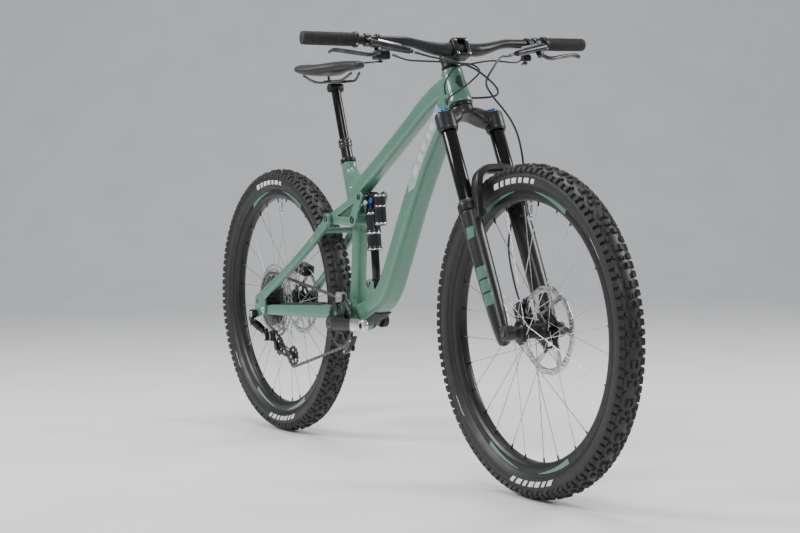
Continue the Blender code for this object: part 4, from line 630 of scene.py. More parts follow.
def sidewall_point(axle, angle, radius, side):
    """A point just off the sidewall at an angle and a radius."""
    bulge = 0.0294 - 26 * (radius - 0.3405) ** 2
    return axle + Vector((cos(angle) * radius, side * bulge, sin(angle) * radius))


def sidewall_dashes(axle, side):
    """Plain slanted bars in place of any wording, twice round each sidewall, and short size ticks."""
    shape = bmesh.new()
    blocks = []
    for turn in (0, pi):
        for k, width in enumerate((0.018, 0.012, 0.018, 0.018, 0.012, 0.018, 0.012)):
            blocks.append((radians(107) - turn - k * 0.0720, width, 0.3250, 0.3410))
        for k in range(9):
            blocks.append((radians(40) - turn - k * 0.0180, 0.0022, 0.3290, 0.3315))
    for angle, width, low, high in blocks:
        slant = 0.010
        rows = []
        for j in range(4):
            radius = low + (high - low) * j / 3
            shift = slant * (j / 3 - 0.5)
            row = []
            for k in range(5):
                place = angle - ((k / 4 - 0.5) * width + shift) / radius
                row.append(shape.verts.new(sidewall_point(axle, place, radius, side)))
            rows.append(row)
        for low_row, high_row in zip(rows, rows[1:]):
            for k in range(4):
                face = (low_row[k], low_row[k + 1], high_row[k + 1], high_row[k])
                shape.faces.new(face if side > 0 else face[::-1])
    return raised("dashes", shape, PRINT, 0.0005)


def raised(name, shape, material, thickness):
    """Open faces given a thickness, so that a print stands a little proud as a closed skin."""
    mesh = bpy.data.meshes.new(name)
    shape.to_mesh(mesh)
    shape.free()
    obj = add_object(name, mesh, material)
    solid = obj.modifiers.new("thickness", "SOLIDIFY")
    solid.thickness = thickness
    solid.offset = 0
    data = shaped_mesh(obj)
    obj.modifiers.clear()
    obj.data = data
    data.shade_smooth()
    data.set_sharp_from_angle(angle=radians(40))
    return obj


def knob(shape, axle, angle, y, radius, length, width, height, tilt):
    """One tread block: narrower on top, with a ramped leading edge, leaning out with the casing."""
    centre = axle + Vector((cos(angle) * radius, y, sin(angle) * radius))
    radial = Vector((cos(angle), 0, sin(angle)))
    outward = (radial * cos(tilt) + LEFT * sin(tilt)).normalized()
    along = Vector((-sin(angle), 0, cos(angle)))
    over = outward.cross(along)
    ramp = 0.0012
    levels = []
    for h, grow, lean in ((-0.0030, 1.12, 0.0), (height * 0.75, 0.95, 0.3), (height, 0.84, 1.0)):
        ring = []
        for u, v in ((-1, -1), (1, -1), (1, 1), (-1, 1)):
            slide = -ramp * lean if u > 0 else 0
            ring.append(
                shape.verts.new(centre + outward * h + along * (u * length / 2 * grow + slide) + over
                * (v * width / 2 * grow))
            )
        levels.append(ring)
    skin_loops(shape, levels)


def tread(axle):
    """Paired centre blocks, small blocks beside them and staggered shoulder blocks, all the way round."""
    shape = bmesh.new()
    pitches = 56
    for k in range(pitches):
        angle = tau * k / pitches
        step = tau / pitches
        for side in (-1, 1):
            if k % 2:
                knob(shape, axle, angle, side * 0.0058, 0.3664, 0.0155, 0.0090, 0.0056, side * 0.10)
            else:
                knob(shape, axle, angle, side * 0.0086, 0.3656, 0.0125, 0.0085, 0.0058, side * 0.18)
                knob(shape, axle, angle + step * 0.42, side * 0.0030, 0.3668, 0.0080, 0.0046, 0.0052,
                    side * 0.05)
            knob(shape, axle, angle + step * 0.50, side * 0.0160, 0.3628, 0.0105, 0.0064, 0.0056, side * 0.50)
            knob(shape, axle, angle + step * 0.10, side * 0.0243, 0.3556, 0.0152, 0.0128, 0.0074, side * 0.86)
            knob(shape, axle, angle + step * 0.60, side * 0.0236, 0.3566, 0.0132, 0.0130, 0.0074, side * 0.80)
    return from_shape("tread", shape, TREAD, 25)


def rim(word, axle, body):
    """A hooked rim with its valve, blank wedge decals and nipples."""
    half = [(0.3168, 0.0150), (0.3168, 0.0168), (0.3150, 0.0176), (0.3040, 0.0172), (0.2985, 0.0164),
        (RIM_INNER + 0.0030, 0.0118)]
    half += [(RIM_INNER + 0.0004, 0.0080), (RIM_INNER, 0.0040)]
    well = [(0.3106, 0.0146), (0.3085, 0.0060)]
    profile = half + [(r, -h) for r, h in reversed(half)] + [(r, -h) for r, h in well] + [(r, h) for r,
        h in reversed(well)]
    parts = [revolve("rim_ring", profile, axle, LEFT, BLACK_SATIN, 160, 0.0006, 40)]
    valve = axle + UP * 0.2480
    parts.append(cylinder("valve", valve, axle + UP * 0.2895, 0.0029, STEEL, 16, 0.0003))
    parts.append(cylinder("valve_cap", valve - UP * 0.0010, valve + UP * 0.0090, 0.0036, POLISHED, 16,
        0.0006))
    parts.append(cylinder("valve_nut", axle + UP * 0.2815, axle + UP * 0.2885, 0.0052, POLISHED, 6, 0.0004))
    for k in range(SPOKES):
        angle = tau * (k + 0.5) / SPOKES
        radial = Vector((cos(angle), 0, sin(angle)))
        y = 0.003 if k % 2 else -0.003
        start = axle + radial * (RIM_INNER - 0.0100) + LEFT * y
        parts.append(cylinder("nipple", start, axle + radial * (RIM_INNER + 0.001) + LEFT * y, 0.0021,
            BLACK_SATIN, 8, 0.0003))
    for side in (-1, 1):
        for start, span, flip in ((60, 23, -1), (120, 23, 1), (240, 23, -1), (300, 23, 1)):
            parts.append(rim_wedge(axle, side, start, span * flip))
    return settle(join(f"{word}_rim_detail", parts), body, f"{word}_rim", slot="black_gloss")


def rim_wedge(axle, side, start, span):
    """A blank mint wedge on the rim's side, wide at its start and running out to a point."""
    shape = bmesh.new()
    rows = []
    steps = 26
    for k in range(steps + 1):
        part = k / steps
        angle = radians(start - span * part)
        top = 0.3128
        low = top - 0.0115 * (1 - part) ** 0.8 - 0.0006
        row = []
        for j in range(3):
            radius = top + (low - top) * j / 2
            bulge = 0.0174 - max(0.3040 - radius, 0) * 0.15 + 0.0005
            row.append(shape.verts.new(axle + Vector((cos(angle) * radius, side * bulge,
                sin(angle) * radius))))
        rows.append(row)
    skin_grid(shape, rows)
    return raised("wedge", shape, PAINT, 0.0004)


def hub_and_spokes(word, axle, profile, flanges, body):
    """A turned hub shell with holed flanges and crossed spokes."""
    parts = [revolve("hub_shell", [(r, y) for y, r in profile], axle, LEFT, BLACK_SATIN, 56, 0.0008, 35)]
    for j in range(SPOKES):
        flange_y, flange_radius = flanges[j % 2]
        lean = 1.15 if (j // 2) % 2 else -1.15
        rim_angle = tau * (j + 0.5) / SPOKES
        hub_angle = rim_angle + lean
        outward = 0.0018 if (j // 2) % 2 else -0.0018
        start = axle + Vector((cos(hub_angle) * flange_radius, flange_y + outward,
            sin(hub_angle) * flange_radius))
        end = axle + Vector((cos(rim_angle) * (RIM_INNER - 0.006), copysign(0.003, flange_y),
            sin(rim_angle) * (RIM_INNER - 0.006)))
        route = [start, start.lerp(end, 0.08), start.lerp(end, 0.12), start.lerp(end, 0.9), end]
        parts.append(sweep("spoke", route, 0.00105, STEEL, 8, [1.15, 1.15, 0.86, 0.86, 1.15]))
        head = Vector((start.x, flange_y - outward * 0.9, start.z))
        parts.append(cylinder("spoke_head", head, Vector((start.x, flange_y - outward * 1.4, start.z)),
            0.0019, STEEL, 10, 0.0003))
    return settle(join(f"{word}_hub_detail", parts), body, f"{word}_hub_spokes", slot="dark_metal")


def rotor(word, axle, y, body):
    """A brake disc: a pierced wavy band, six swept arms, a dark carrier with its rivets and a lock ring."""
    carrier = 0.040
    band = 0.0850
    holes = [circle(carrier, 60)]
    arms = 6
    for k in range(arms):
        start = 360 / arms * k
        first = arc(band, start + 6, start + 360 / arms - 6, 14)
        last = arc(carrier + 0.006, start + 360 / arms + 14, start + 32, 8)
        holes.append(first + last)
    for k in range(36):
        angle = tau * k / 36
        radius = 0.0905 if k % 2 else 0.0960
        holes.append(circle(0.0021, 12, radius * cos(angle), radius * sin(angle)))
    centre = axle + LEFT * y
    wave = [ROTOR_RADIUS - 0.0011 - 0.0011 * cos(12 * tau * k / 240) for k in range(240)]
    edge = [(wave[k] * cos(tau * k / 240), wave[k] * sin(tau * k / 240)) for k in range(240)]
    parts = [plate("rotor_band", [edge] + holes, 0.0018, centre, STEEL, 0.0002, 30)]
    spider_edge = []
    for k in range(120):
        angle = tau * k / 120
        bump = max(cos(6 * (angle - radians(18))), 0) ** 3
        spider_edge.append(((carrier + 0.0015 + 0.0120 * bump) * cos(angle),
            (carrier + 0.0015 + 0.0120 * bump) * sin(angle)))
    gaps = [circle(0.0175, 40)]
    for k in range(6):
        gaps.append(arc(0.0360, 60 * k - 32, 60 * k + 8, 8) + arc(0.0245, 60 * k + 6, 60 * k - 30, 6))
    inward = -0.0013 if y > 0 else 0.0013
    parts.append(plate("carrier", [spider_edge] + gaps, 0.0024, centre + LEFT * inward, BLACK_SATIN, 0.0003,
        30))
    for k in range(6):
        angle = tau * k / 6 + radians(18)
        place = centre + Vector((cos(angle) * 0.0475, 0, sin(angle) * 0.0475))
        parts.append(cylinder("rivet", place - LEFT * 0.0030, place + LEFT * 0.0018, 0.0030, DARK_STEEL, 14,
            0.0004))
    lock = [(0.0090, -0.004), (0.0205, -0.004), (0.0205, 0.0030), (0.0180, 0.0045), (0.0090, 0.0045)]
    parts.append(revolve("lock_ring", lock, centre, LEFT, BLACK_SATIN, 48, 0.0005))
    return settle(join(f"{word}_rotor_detail", parts), body, f"{word}_rotor", slot="bright_metal")


def axle_bar(name, centre, radius, y_from, head, body, node):
    """A through axle with its flanged head."""
    low, high = head
    parts = [
        across("axle_shaft", centre, radius, y_from, low + 0.0005, DARK_STEEL, 32),
        across("axle_flange", centre, head_radius(node), low, high, BLACK_SATIN, 40, 0.0008),
    ]
    return settle(join(name, parts), body, node, slot="dark_metal")


def head_radius(node):
    low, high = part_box(node)
    return (high.z - low.z) / 2


def wheels():
    front_profile = [
        (-0.0540, 0.0085), (-0.0540, 0.0112), (-0.0400, 0.0120), (-0.0352, 0.0180), (-0.0342, 0.0282),
        (-0.0318, 0.0282),
        (-0.0306, 0.0185), (-0.0220, 0.0158), (0.0120, 0.0158), (0.0205, 0.0200), (0.0228, 0.0292),
        (0.0252, 0.0292),
        (0.0264, 0.0225), (0.0380, 0.0218), (0.0384, 0.0155), (0.0440, 0.0150), (0.0452, 0.0118),
        (0.0540, 0.0112),
        (0.0540, 0.0085),
    ]
    rear_profile = [
        (-0.0730, 0.0072), (-0.0730, 0.0116), (-0.0255, 0.0120), (-0.0245, 0.0238), (-0.0234, 0.0288),
        (-0.0208, 0.0288),
        (-0.0196, 0.0190), (-0.0130, 0.0165), (0.0220, 0.0158), (0.0310, 0.0200), (0.0338, 0.0288),
        (0.0362, 0.0288),
        (0.0374, 0.0225), (0.0560, 0.0218), (0.0564, 0.0155), (0.0620, 0.0150), (0.0634, 0.0118),
        (0.0730, 0.0116),
        (0.0730, 0.0072),
    ]
    for word, axle, profile, flanges, rotor_y in (
        ("front", FRONT_AXLE, front_profile, ((-0.033, 0.0252), (0.024, 0.0262)), FRONT_ROTOR_Y),
        ("rear", REAR_AXLE, rear_profile, ((-0.022, 0.0258), (0.035, 0.0258)), REAR_ROTOR_Y),
    ):
        body = f"{word}_wheel"
        tyre(word, axle, body)
        rim(word, axle, body)
        hub_and_spokes(word, axle, profile, flanges, body)
        rotor(word, axle, rotor_y, body)
    axle_bar("front_axle_detail", FRONT_AXLE, 0.0075, -0.0813, (0.0788, 0.0818), "lowers", "front_axle")
    axle_bar("rear_axle_detail", REAR_AXLE, 0.0060, -0.0858, (0.0868, 0.0898), "seatstays", "rear_axle")


# Frame and rear suspension
def bolt(name, centre, side, radius, y, material, depth=0.0016):
    """A round bolt head with a socket, seen from one side; y is where its face lies."""
    outer = side * abs(y)
    start = Vector((centre.x, outer - side * depth, centre.z))
    profile = [(0, 0), (radius, 0), (radius, depth * 0.6), (radius * 0.82, depth), (radius * 0.48, depth),
        (radius * 0.42, 0.0003), (0, 0.0003)]
    return revolve(name, profile, start, LEFT * side, material, 36, 0.0002)


def main_frame():
    """Head tube, down tube, top tube, seat tube, gusset, shell and bosses, welded into one skin."""
    head_profile = [
        (0, HEAD_LOW), (0.0310, HEAD_LOW), (0.0309, 0.0260), (0.0285, 0.045), (0.0268, 0.070),
        (0.0260, HEAD_HIGH - 0.012), (0.0266, HEAD_HIGH), (0, HEAD_HIGH),
    ]
    parts = [revolve("head_tube", head_profile, CROWN_SEAT, STEER_UP, PAINT, 72, 0.001)]
    down_path = [
        (0.505, 0.918, 0.0240, 0.0250), (0.455, 0.850, 0.0278, 0.0282), (0.392, 0.772, 0.0283, 0.0268),
        (0.317, 0.661, 0.0283, 0.0254), (0.230, 0.516, 0.0288, 0.0259), (0.187, 0.448, 0.0293, 0.0269),
        (0.152, 0.412, 0.0295, 0.0273), (0.108, 0.387, 0.0297, 0.0268), (0.055, 0.366, 0.0298, 0.0262),
        (0.000, 0.355, 0.0300, 0.0265),
    ]
    parts.append(loft("down_tube", [(from_bb(x, z), w, d, DOWN_TUBE_SQUARE) for x, z, w, d in down_path],
        PAINT, 56))
    top_path = [
        (0.500, 0.938, 0.0200, 0.0240), (0.440, 0.918, 0.0198, 0.0237), (0.375, 0.887, 0.0198, 0.0218),
        (0.300, 0.842, 0.0198, 0.0208), (0.200, 0.783, 0.0198, 0.0208), (0.100, 0.725, 0.0202, 0.0212),
        (0.020, 0.678, 0.0202, 0.0212), (-0.002, 0.665, 0.0182, 0.0192),
    ]
    parts.append(loft("top_tube", [(from_bb(x, z), w, d, 3.6) for x, z, w, d in top_path], PAINT, 48))
    seat_path = [
        (0.004, 0.380, 0.0240, 0.0210), (0.010, 0.450, 0.0192, 0.0187), (0.018, 0.529, 0.0184, 0.0184),
        (0.0205, 0.594, 0.0188, 0.0188), (0.010, 0.627, 0.0188, 0.0192), (0.0005, 0.656, 0.0184, 0.0184),
        (-0.033, 0.757, 0.0180, 0.0180),
    ]
    parts.append(loft("seat_tube", [(from_bb(x, z), w, d, 2.8) for x, z, w, d in seat_path], PAINT, 44,
        dome=0))
    gusset_path = [
        (from_bb(-0.026, 0.732), 0.0152, 0.0190, 3), (from_bb(0.010, 0.712), 0.0157, 0.0200, 3),
        (from_bb(0.070, 0.708), 0.0167, 0.0120, 3),
    ]
    parts.append(loft("gusset", gusset_path, PAINT, 36))
    parts.append(across("shell", BB, 0.0258, -0.0365, 0.0365, PAINT, 56))
    parts.append(across("pivot_boss", MAIN_PIVOT, 0.0172, -0.0300, 0.0300, PAINT))
    parts.append(loft("web", [(from_bb(0.018, 0.600), 0.016, 0.020, 3), (ROCKER_PIVOT, 0.015, 0.015, 3)],
        PAINT, 36))
    parts.append(across("rocker_boss", ROCKER_PIVOT, 0.0162, -0.0318, 0.0318, PAINT))
    for side in (-1, 1):
        foot = from_bb(0.112, 0.400, side * 0.0205)
        tip = Vector((SHOCK_LOWER.x, side * 0.0205, SHOCK_LOWER.z))
        crest = tip + Vector((-0.005, 0, 0.006))
        parts.append(loft("ear", [(foot, 0.0047, 0.0240, 4), (crest, 0.0047, 0.0190, 4)], PAINT, 36))
        parts.append(across("ear_eye", tip, 0.0152, side * 0.0160, side * 0.0252, PAINT))
    skin = fuse("frame_skin", parts, 0.0022, 5, PAINT)
    skin = cut(
        skin,
        box("room", SHOCK_LOWER + Vector((0.002, 0, 0.030)), (0.052, 0.0314, 0.086), PAINT, edge=0),
        cylinder("post_bore", seat_post(-0.160), seat_post(0.02), 0.01555, PAINT, 48, 0),
    )
    trim = []
    for side in (-1, 1):
        for dx, dz in ((-0.0068, 0.0050), (0.0072, 0.0050)):
            hole = SHOCK_LOWER + Vector((dx, 0, dz))
            trim.append(across("bracket_hole", hole, 0.0038, side * 0.0248, side * 0.0256, BLACK_SATIN, 24,
                0.0002))
        port = steer(0.030, -0.006, side * 0.0310)
        trim.append(cable_port(port, side))
        trim.append(graphic_panel(side, down_path))
    trim.append(head_badge())
    trim.append(down_tube_guard(down_path))
    for k in range(2):
        place = from_bb(0.245 + 0.040 * k, 0.590 + 0.0655 * k) + Vector((-0.0218, 0, 0.0140))
        trim.append(cylinder("bottle_bolt", place, place + Vector((-0.0030, 0, 0.0018)), 0.0045, DARK_STEEL,
            20, 0.0006))
    settle(join("frame_detail", [skin] + trim), "frame", "main_frame", slot="frame_green")


def cable_port(place, side):
    """An oval rubber grommet where cables enter beside the head tube."""
    outward = (LEFT * side * 0.9 + STEER_FORWARD * 0.25).normalized()
    route = [place - outward * 0.004, place + outward * 0.0012]
    return loft("cable_port", [(route[0], 0.0060, 0.0095, 2.2), (route[1], 0.0050, 0.0085, 2.2)], GUARD, 28,
        3, STEER_FORWARD)


def tube_frame(path, index_place):
    """Centre, direction and half sizes at a place along a path of (x, z, half width, half depth)."""
    packed = [Vector((x, z, w, d)) for x, z, w, d in path]
    rows = smooth_path(packed, (len(packed) - 1) * 20 + 1)
    i = min(max(int(index_place * (len(rows) - 1)), 1), len(rows) - 2)
    x, z, w, d = rows[i]
    step = rows[i + 1] - rows[i - 1]
    along = Vector((step[0], 0, step[1])).normalized()
    return from_bb(x, z), along, w, d


def tube_side_strip(name, path, first, last, low, high, material, side, tip=0.0, proud=0.0006,
        square=DOWN_TUBE_SQUARE):
    """A thin print on a tube's side, from low to high round it: -1 is its rear face and 1 its front."""
    shape = bmesh.new()
    rows = []
    steps = 40
    for i in range(steps + 1):
        row = []
        for j in range(13):
            share = low + (high - low) * j / 12
            point_share = abs(2 * j / 12 - 1)
            place = first + (last - first) * i / steps
            place += tip * (1 - point_share) * (i / steps)
            centre, along, w, d = tube_frame(path, place)
            depth = along.cross(LEFT)
            y = (1 - abs(share) ** square) ** (1 / square)
            normal = (LEFT * side * y ** (square - 1) + depth * copysign(abs(share) ** (square - 1),
                share)).normalized()
            row.append(shape.verts.new(centre + LEFT * side * (w * y) + depth * (d * share) + normal * proud))
        rows.append(row)
    skin_grid(shape, rows)
    return raised(name, shape, material, 0.0005)


def graphic_panel(side, path):
    """A plain silver panel on the upper down tube, ending in a point, with slanted bars on it."""
    parts = [tube_side_strip("panel", path, 0.070, 0.300, -0.72, 0.60, SILVER_DECAL, side, 0.022)]
    for k in range(6):
        start = 0.092 + k * 0.033
        parts.append(
            tube_side_strip("panel_bar", path, start, start + 0.015 + 0.006 * (k % 2), -0.42, 0.32,
            PALE_PAINT, side, 0.0, 0.0010)
        )
    return join("graphic_panel", parts)


def head_badge():
    """A plain dark six-sided patch wrapped round the front of the head tube."""
    shape = bmesh.new()
    rows = []
    for i in range(13):
        v = i / 6 - 1
        half = 0.0150 * (1 - 0.5 * abs(v))
        row = []
        for j in range(13):
            angle = half * (j / 6 - 1) / 0.0268
            radius = 0.0272 + 0.0003 * (1 - v)
            row.append(shape.verts.new(steer(0.066 + v * 0.0160, radius * cos(angle), radius * sin(angle))))
        rows.append(row)
    skin_grid(shape, rows)
    return raised("head_badge", shape, BADGE, 0.0006)


def down_tube_guard(path):
    """A ribbed rubber guard under the lower down tube."""
    shape = bmesh.new()
    rows = []
    steps = 60
    for i in range(steps + 1):
        centre, along, w, d = tube_frame(path, 0.735 + 0.255 * i / steps)
        depth = along.cross(LEFT)
        row = []
        for j in range(21):
            share = -0.80 + 1.60 * j / 20
            drop = (1 - abs(share) ** DOWN_TUBE_SQUARE) ** (1 / DOWN_TUBE_SQUARE)
            rib = 0.0006 * cos(tau * j / 4)
            row.append(shape.verts.new(centre + LEFT * (w * share) + depth * ((d * drop) + 0.0016 + rib)))
        rows.append(row)
    skin_grid(shape, rows)
    return raised("down_tube_guard", shape, GUARD, 0.0030)


def frame_fittings():
    headset = [
        (STEERER_RADIUS + 0.0004, HEAD_HIGH + 0.0004), (0.0242, HEAD_HIGH + 0.0004),
        (0.0242, HEAD_HIGH + 0.0020),
        (0.0180, HEAD_HIGH + 0.0075), (STEERER_RADIUS + 0.0004, HEAD_HIGH + 0.0075),
    ]
    settle(revolve("headset_cap", headset, CROWN_SEAT, STEER_UP, BLACK_SATIN, 64, 0.0008), "frame",
        "headset_cover", slot="black_satin")
    cups = []
    for side in (-1, 1):
        cup = [
            (0.0126, side * 0.0370), (0.0222, side * 0.0370), (0.0222, side * 0.0440),
            (0.0210, side * 0.0465),
            (0.0150, side * 0.0465), (0.0126, side * 0.0455),
        ]
        cups.append(revolve("cup", cup, BB, LEFT, BLACK_SATIN, 56, 0.0006))
        for k in range(16):
            angle = tau * k / 16
            rib = BB + Vector((cos(angle) * 0.0218, side * 0.0405, sin(angle) * 0.0218))
            cups.append(box("cup_rib", rib, (0.0014, 0.0060, 0.0030), BLACK_SATIN,
                (cos(angle), 0, sin(angle)), edge=0.0003, segments=1))
    cups.append(revolve("sleeve", [(0.0126, -0.0375), (0.0200, -0.0375), (0.0200, 0.0375),
        (0.0126, 0.0375)], BB, LEFT, BLACK_PLASTIC, 40))
    settle(join("bottom_bracket_detail", cups), "frame", "bottom_bracket", slot="black_satin")
    pivot = [across("pivot_bar", MAIN_PIVOT, 0.0080, -0.0414, 0.0414, DARK_STEEL)]
    for side in (-1, 1):
        pivot.append(bolt("pivot_head", MAIN_PIVOT, side, 0.0105, 0.0431, POLISHED, 0.0018))
    settle(join("main_pivot_detail", pivot), "frame", "main_pivot_axle", slot="dark_metal")
    collar = [revolve("collar", [(0.0156, 0.0006), (0.0204, 0.0006), (0.0204, 0.0108), (0.0156, 0.0108)],
        SEAT_TUBE_TOP, SEAT_UP, BLACK_SATIN, 64, 0.0010)]
    collar.append(box("collar_lug", seat_post(0.0057, -0.0225), (0.0118, 0.0178, 0.0098), BLACK_SATIN,
        SEAT_FORWARD, edge=0.0022))
    collar.append(cylinder("collar_bolt", seat_post(0.0057, -0.0245, -0.0092),
        seat_post(0.0057, -0.0245, -0.0070), 0.0032, POLISHED, 20, 0.0005))
    settle(join("seat_clamp_detail", collar), "frame", "seat_clamp", slot="black_satin")
    outer = [
        (0.0145, -0.1550), (0.0149, -0.1550), (0.0149, 0.0420), (0.0168, 0.0432), (0.0180, 0.0445),
        (0.0180, 0.0500),
        (0.0172, 0.0508), (0.0172, 0.0526), (0.0180, 0.0534), (0.0180, 0.0612), (0.0160, 0.0640),
        (0.0134, 0.0640), (0.0134, -0.1550),
    ]
    settle(revolve("dropper_outer_detail", outer, SEAT_TUBE_TOP, SEAT_UP, BLACK_GLOSS, 64, 0.0006), "frame",
        "dropper_outer_tube", slot="black_satin")


def rocker():
    """Two forged triangular links with a deep recess, its floor painted darker as shade, on one shaft."""
    corners = []
    for pivot, radius in ((ROCKER_REAR, 0.0135), (ROCKER_FRONT, 0.0130), (ROCKER_PIVOT, 0.0165)):
        corners.append((pivot.x - ROCKER_PIVOT.x, pivot.z - ROCKER_PIVOT.z, radius))
    outline = []
    for i, (x, z, radius) in enumerate(corners):
        last = corners[i - 1]
        following = corners[(i + 1) % 3]
        facing_in = atan2(z - last[1], x - last[0])
        facing_out = atan2(following[1] - z, following[0] - x)
        start = facing_in + pi / 2
        sweep_angle = (facing_out - facing_in) % tau - tau
        for k in range(16):
            angle = start + sweep_angle * k / 15
            outline.append((x + radius * cos(angle), z + radius * sin(angle)))
    middle = (sum(x for x, _, _ in corners) / 3, sum(z for _, z, _ in corners) / 3)
    recess = []
    for x, z, _ in corners:
        recess.append((middle[0] + (x - middle[0]) * 0.60, middle[1] + (z - middle[1]) * 0.60))
    window = rounded_outline(recess, 0.0045)
    base = rounded_outline([(middle[0] + (x - middle[0]) * 1.12, middle[1] + (z - middle[1]) * 1.12) for x,
        z in recess], 0.0045)
    parts = []
    for side in (-1, 1):
        centre = ROCKER_PIVOT + LEFT * side * 0.03625
        parts.append(plate("link_plate", [outline, window], 0.0064, centre, PAINT, 0.0012))
        # The recess floor is painted darker green as painted shade.
        parts.append(plate("link_floor", [base], 0.0014, centre - LEFT * side * 0.0023, PAINTED_SHADE, 0.0002))
        parts.append(bolt("main_cap", ROCKER_PIVOT, side, 0.0102, 0.0413, BLACK_SATIN, 0.0026))
        parts.append(bolt("front_cap", ROCKER_FRONT, side, 0.0082, 0.0413, BLACK_SATIN, 0.0026))
        parts.append(across("front_stub", ROCKER_FRONT, 0.0085, side * 0.0170, side * 0.0335, DARK_STEEL))
    parts.append(across("rocker_shaft", ROCKER_PIVOT, 0.0080, -0.0360, 0.0360, PAINT))
    settle(join("rocker_detail", parts), "rocker", "rocker_link", slot="frame_green")


def rounded_outline(corners, radius, steps=6):
    """A closed outline with each corner rounded."""
    found = []
    count = len(corners)
    for i, corner in enumerate(corners):
        here = Vector(corner)
        before = (Vector(corners[i - 1]) - here)
        after = (Vector(corners[(i + 1) % count]) - here)
        back = min(radius * 1.6, before.length * 0.45)
        start = here + before.normalized() * back
        end = here + after.normalized() * min(radius * 1.6, after.length * 0.45)
        for k in range(steps):
            t = k / (steps - 1)
            point = start * (1 - t) ** 2 + here * (2 * t * (1 - t)) + end * t**2
            found.append((point.x, point.y))
    return found


def chainstay():
    """Both chainstays and their front bridge, with bolted pivot ends."""
    parts = []
    trim = []
    for side in (-1, 1):
        path = [
            (MAIN_PIVOT.x - BB.x, 0.3860, 0.0352, 0.0042, 0.0150), (-0.030, 0.3680, 0.0408, 0.0050, 0.0175),
            (-0.100, 0.3630, 0.0420, 0.0050, 0.0185), (-0.170, 0.3605, 0.0510, 0.0075, 0.0180),
            (-0.260, 0.3570, 0.0620, 0.0085, 0.0165), (-0.360, 0.3530, 0.0722, 0.0060, 0.0145),
            (HORST_PIVOT.x - BB.x, 0.3500, 0.0732, 0.0036, 0.0125),
        ]
        stations = [(from_bb(x, z, side * y), w, d, 3.6) for x, z, y, w, d in path]
        parts.append(loft("stay", stations, PAINT, 44))
        parts.append(across("front_eye", MAIN_PIVOT, 0.0160, side * 0.0306, side * 0.0395, PAINT))
        parts.append(across("rear_eye", HORST_PIVOT, 0.0130, side * 0.0692, side * 0.0764, PAINT))
        # Two rings round each stay; the rear one is painted darker as painted shade for a groove.
        for x in (-0.0515, -0.0575):
            collar = [(from_bb(x, 0.3662, side * 0.0412), 0.0058, 0.0187, 3.6),
                (from_bb(x - 0.0016, 0.3661, side * 0.0413), 0.0058, 0.0187, 3.6)]
            trim.append(loft("stay_groove", collar, PAINTED_SHADE if x < -0.055 else PAINT, 44, 3, dome=0))
    bridge = [(from_bb(-0.036, 0.3640, -0.042), 0.0075, 0.0150, 3),
        (from_bb(-0.036, 0.3640, 0.042), 0.0075, 0.0150, 3)]
    parts.append(loft("bridge", bridge, PAINT, 36, 6, Vector((1, 0, 0))))
    skin = fuse("chainstay_skin", parts, 0.0016, 4, PAINT)
    guard = [
        (from_bb(-0.110, 0.3845, -0.0430), 0.0062, 0.0022, 3),
        (from_bb(-0.200, 0.3800, -0.0545), 0.0072, 0.0022, 3),
        (from_bb(-0.310, 0.3720, -0.0665), 0.0060, 0.0020, 3),
    ]
    trim.append(loft("chain_slap_guard", guard, GUARD, 30, 20))
    settle(join("chainstay_detail", [skin] + trim), "chainstays", "chainstay", slot="frame_green")


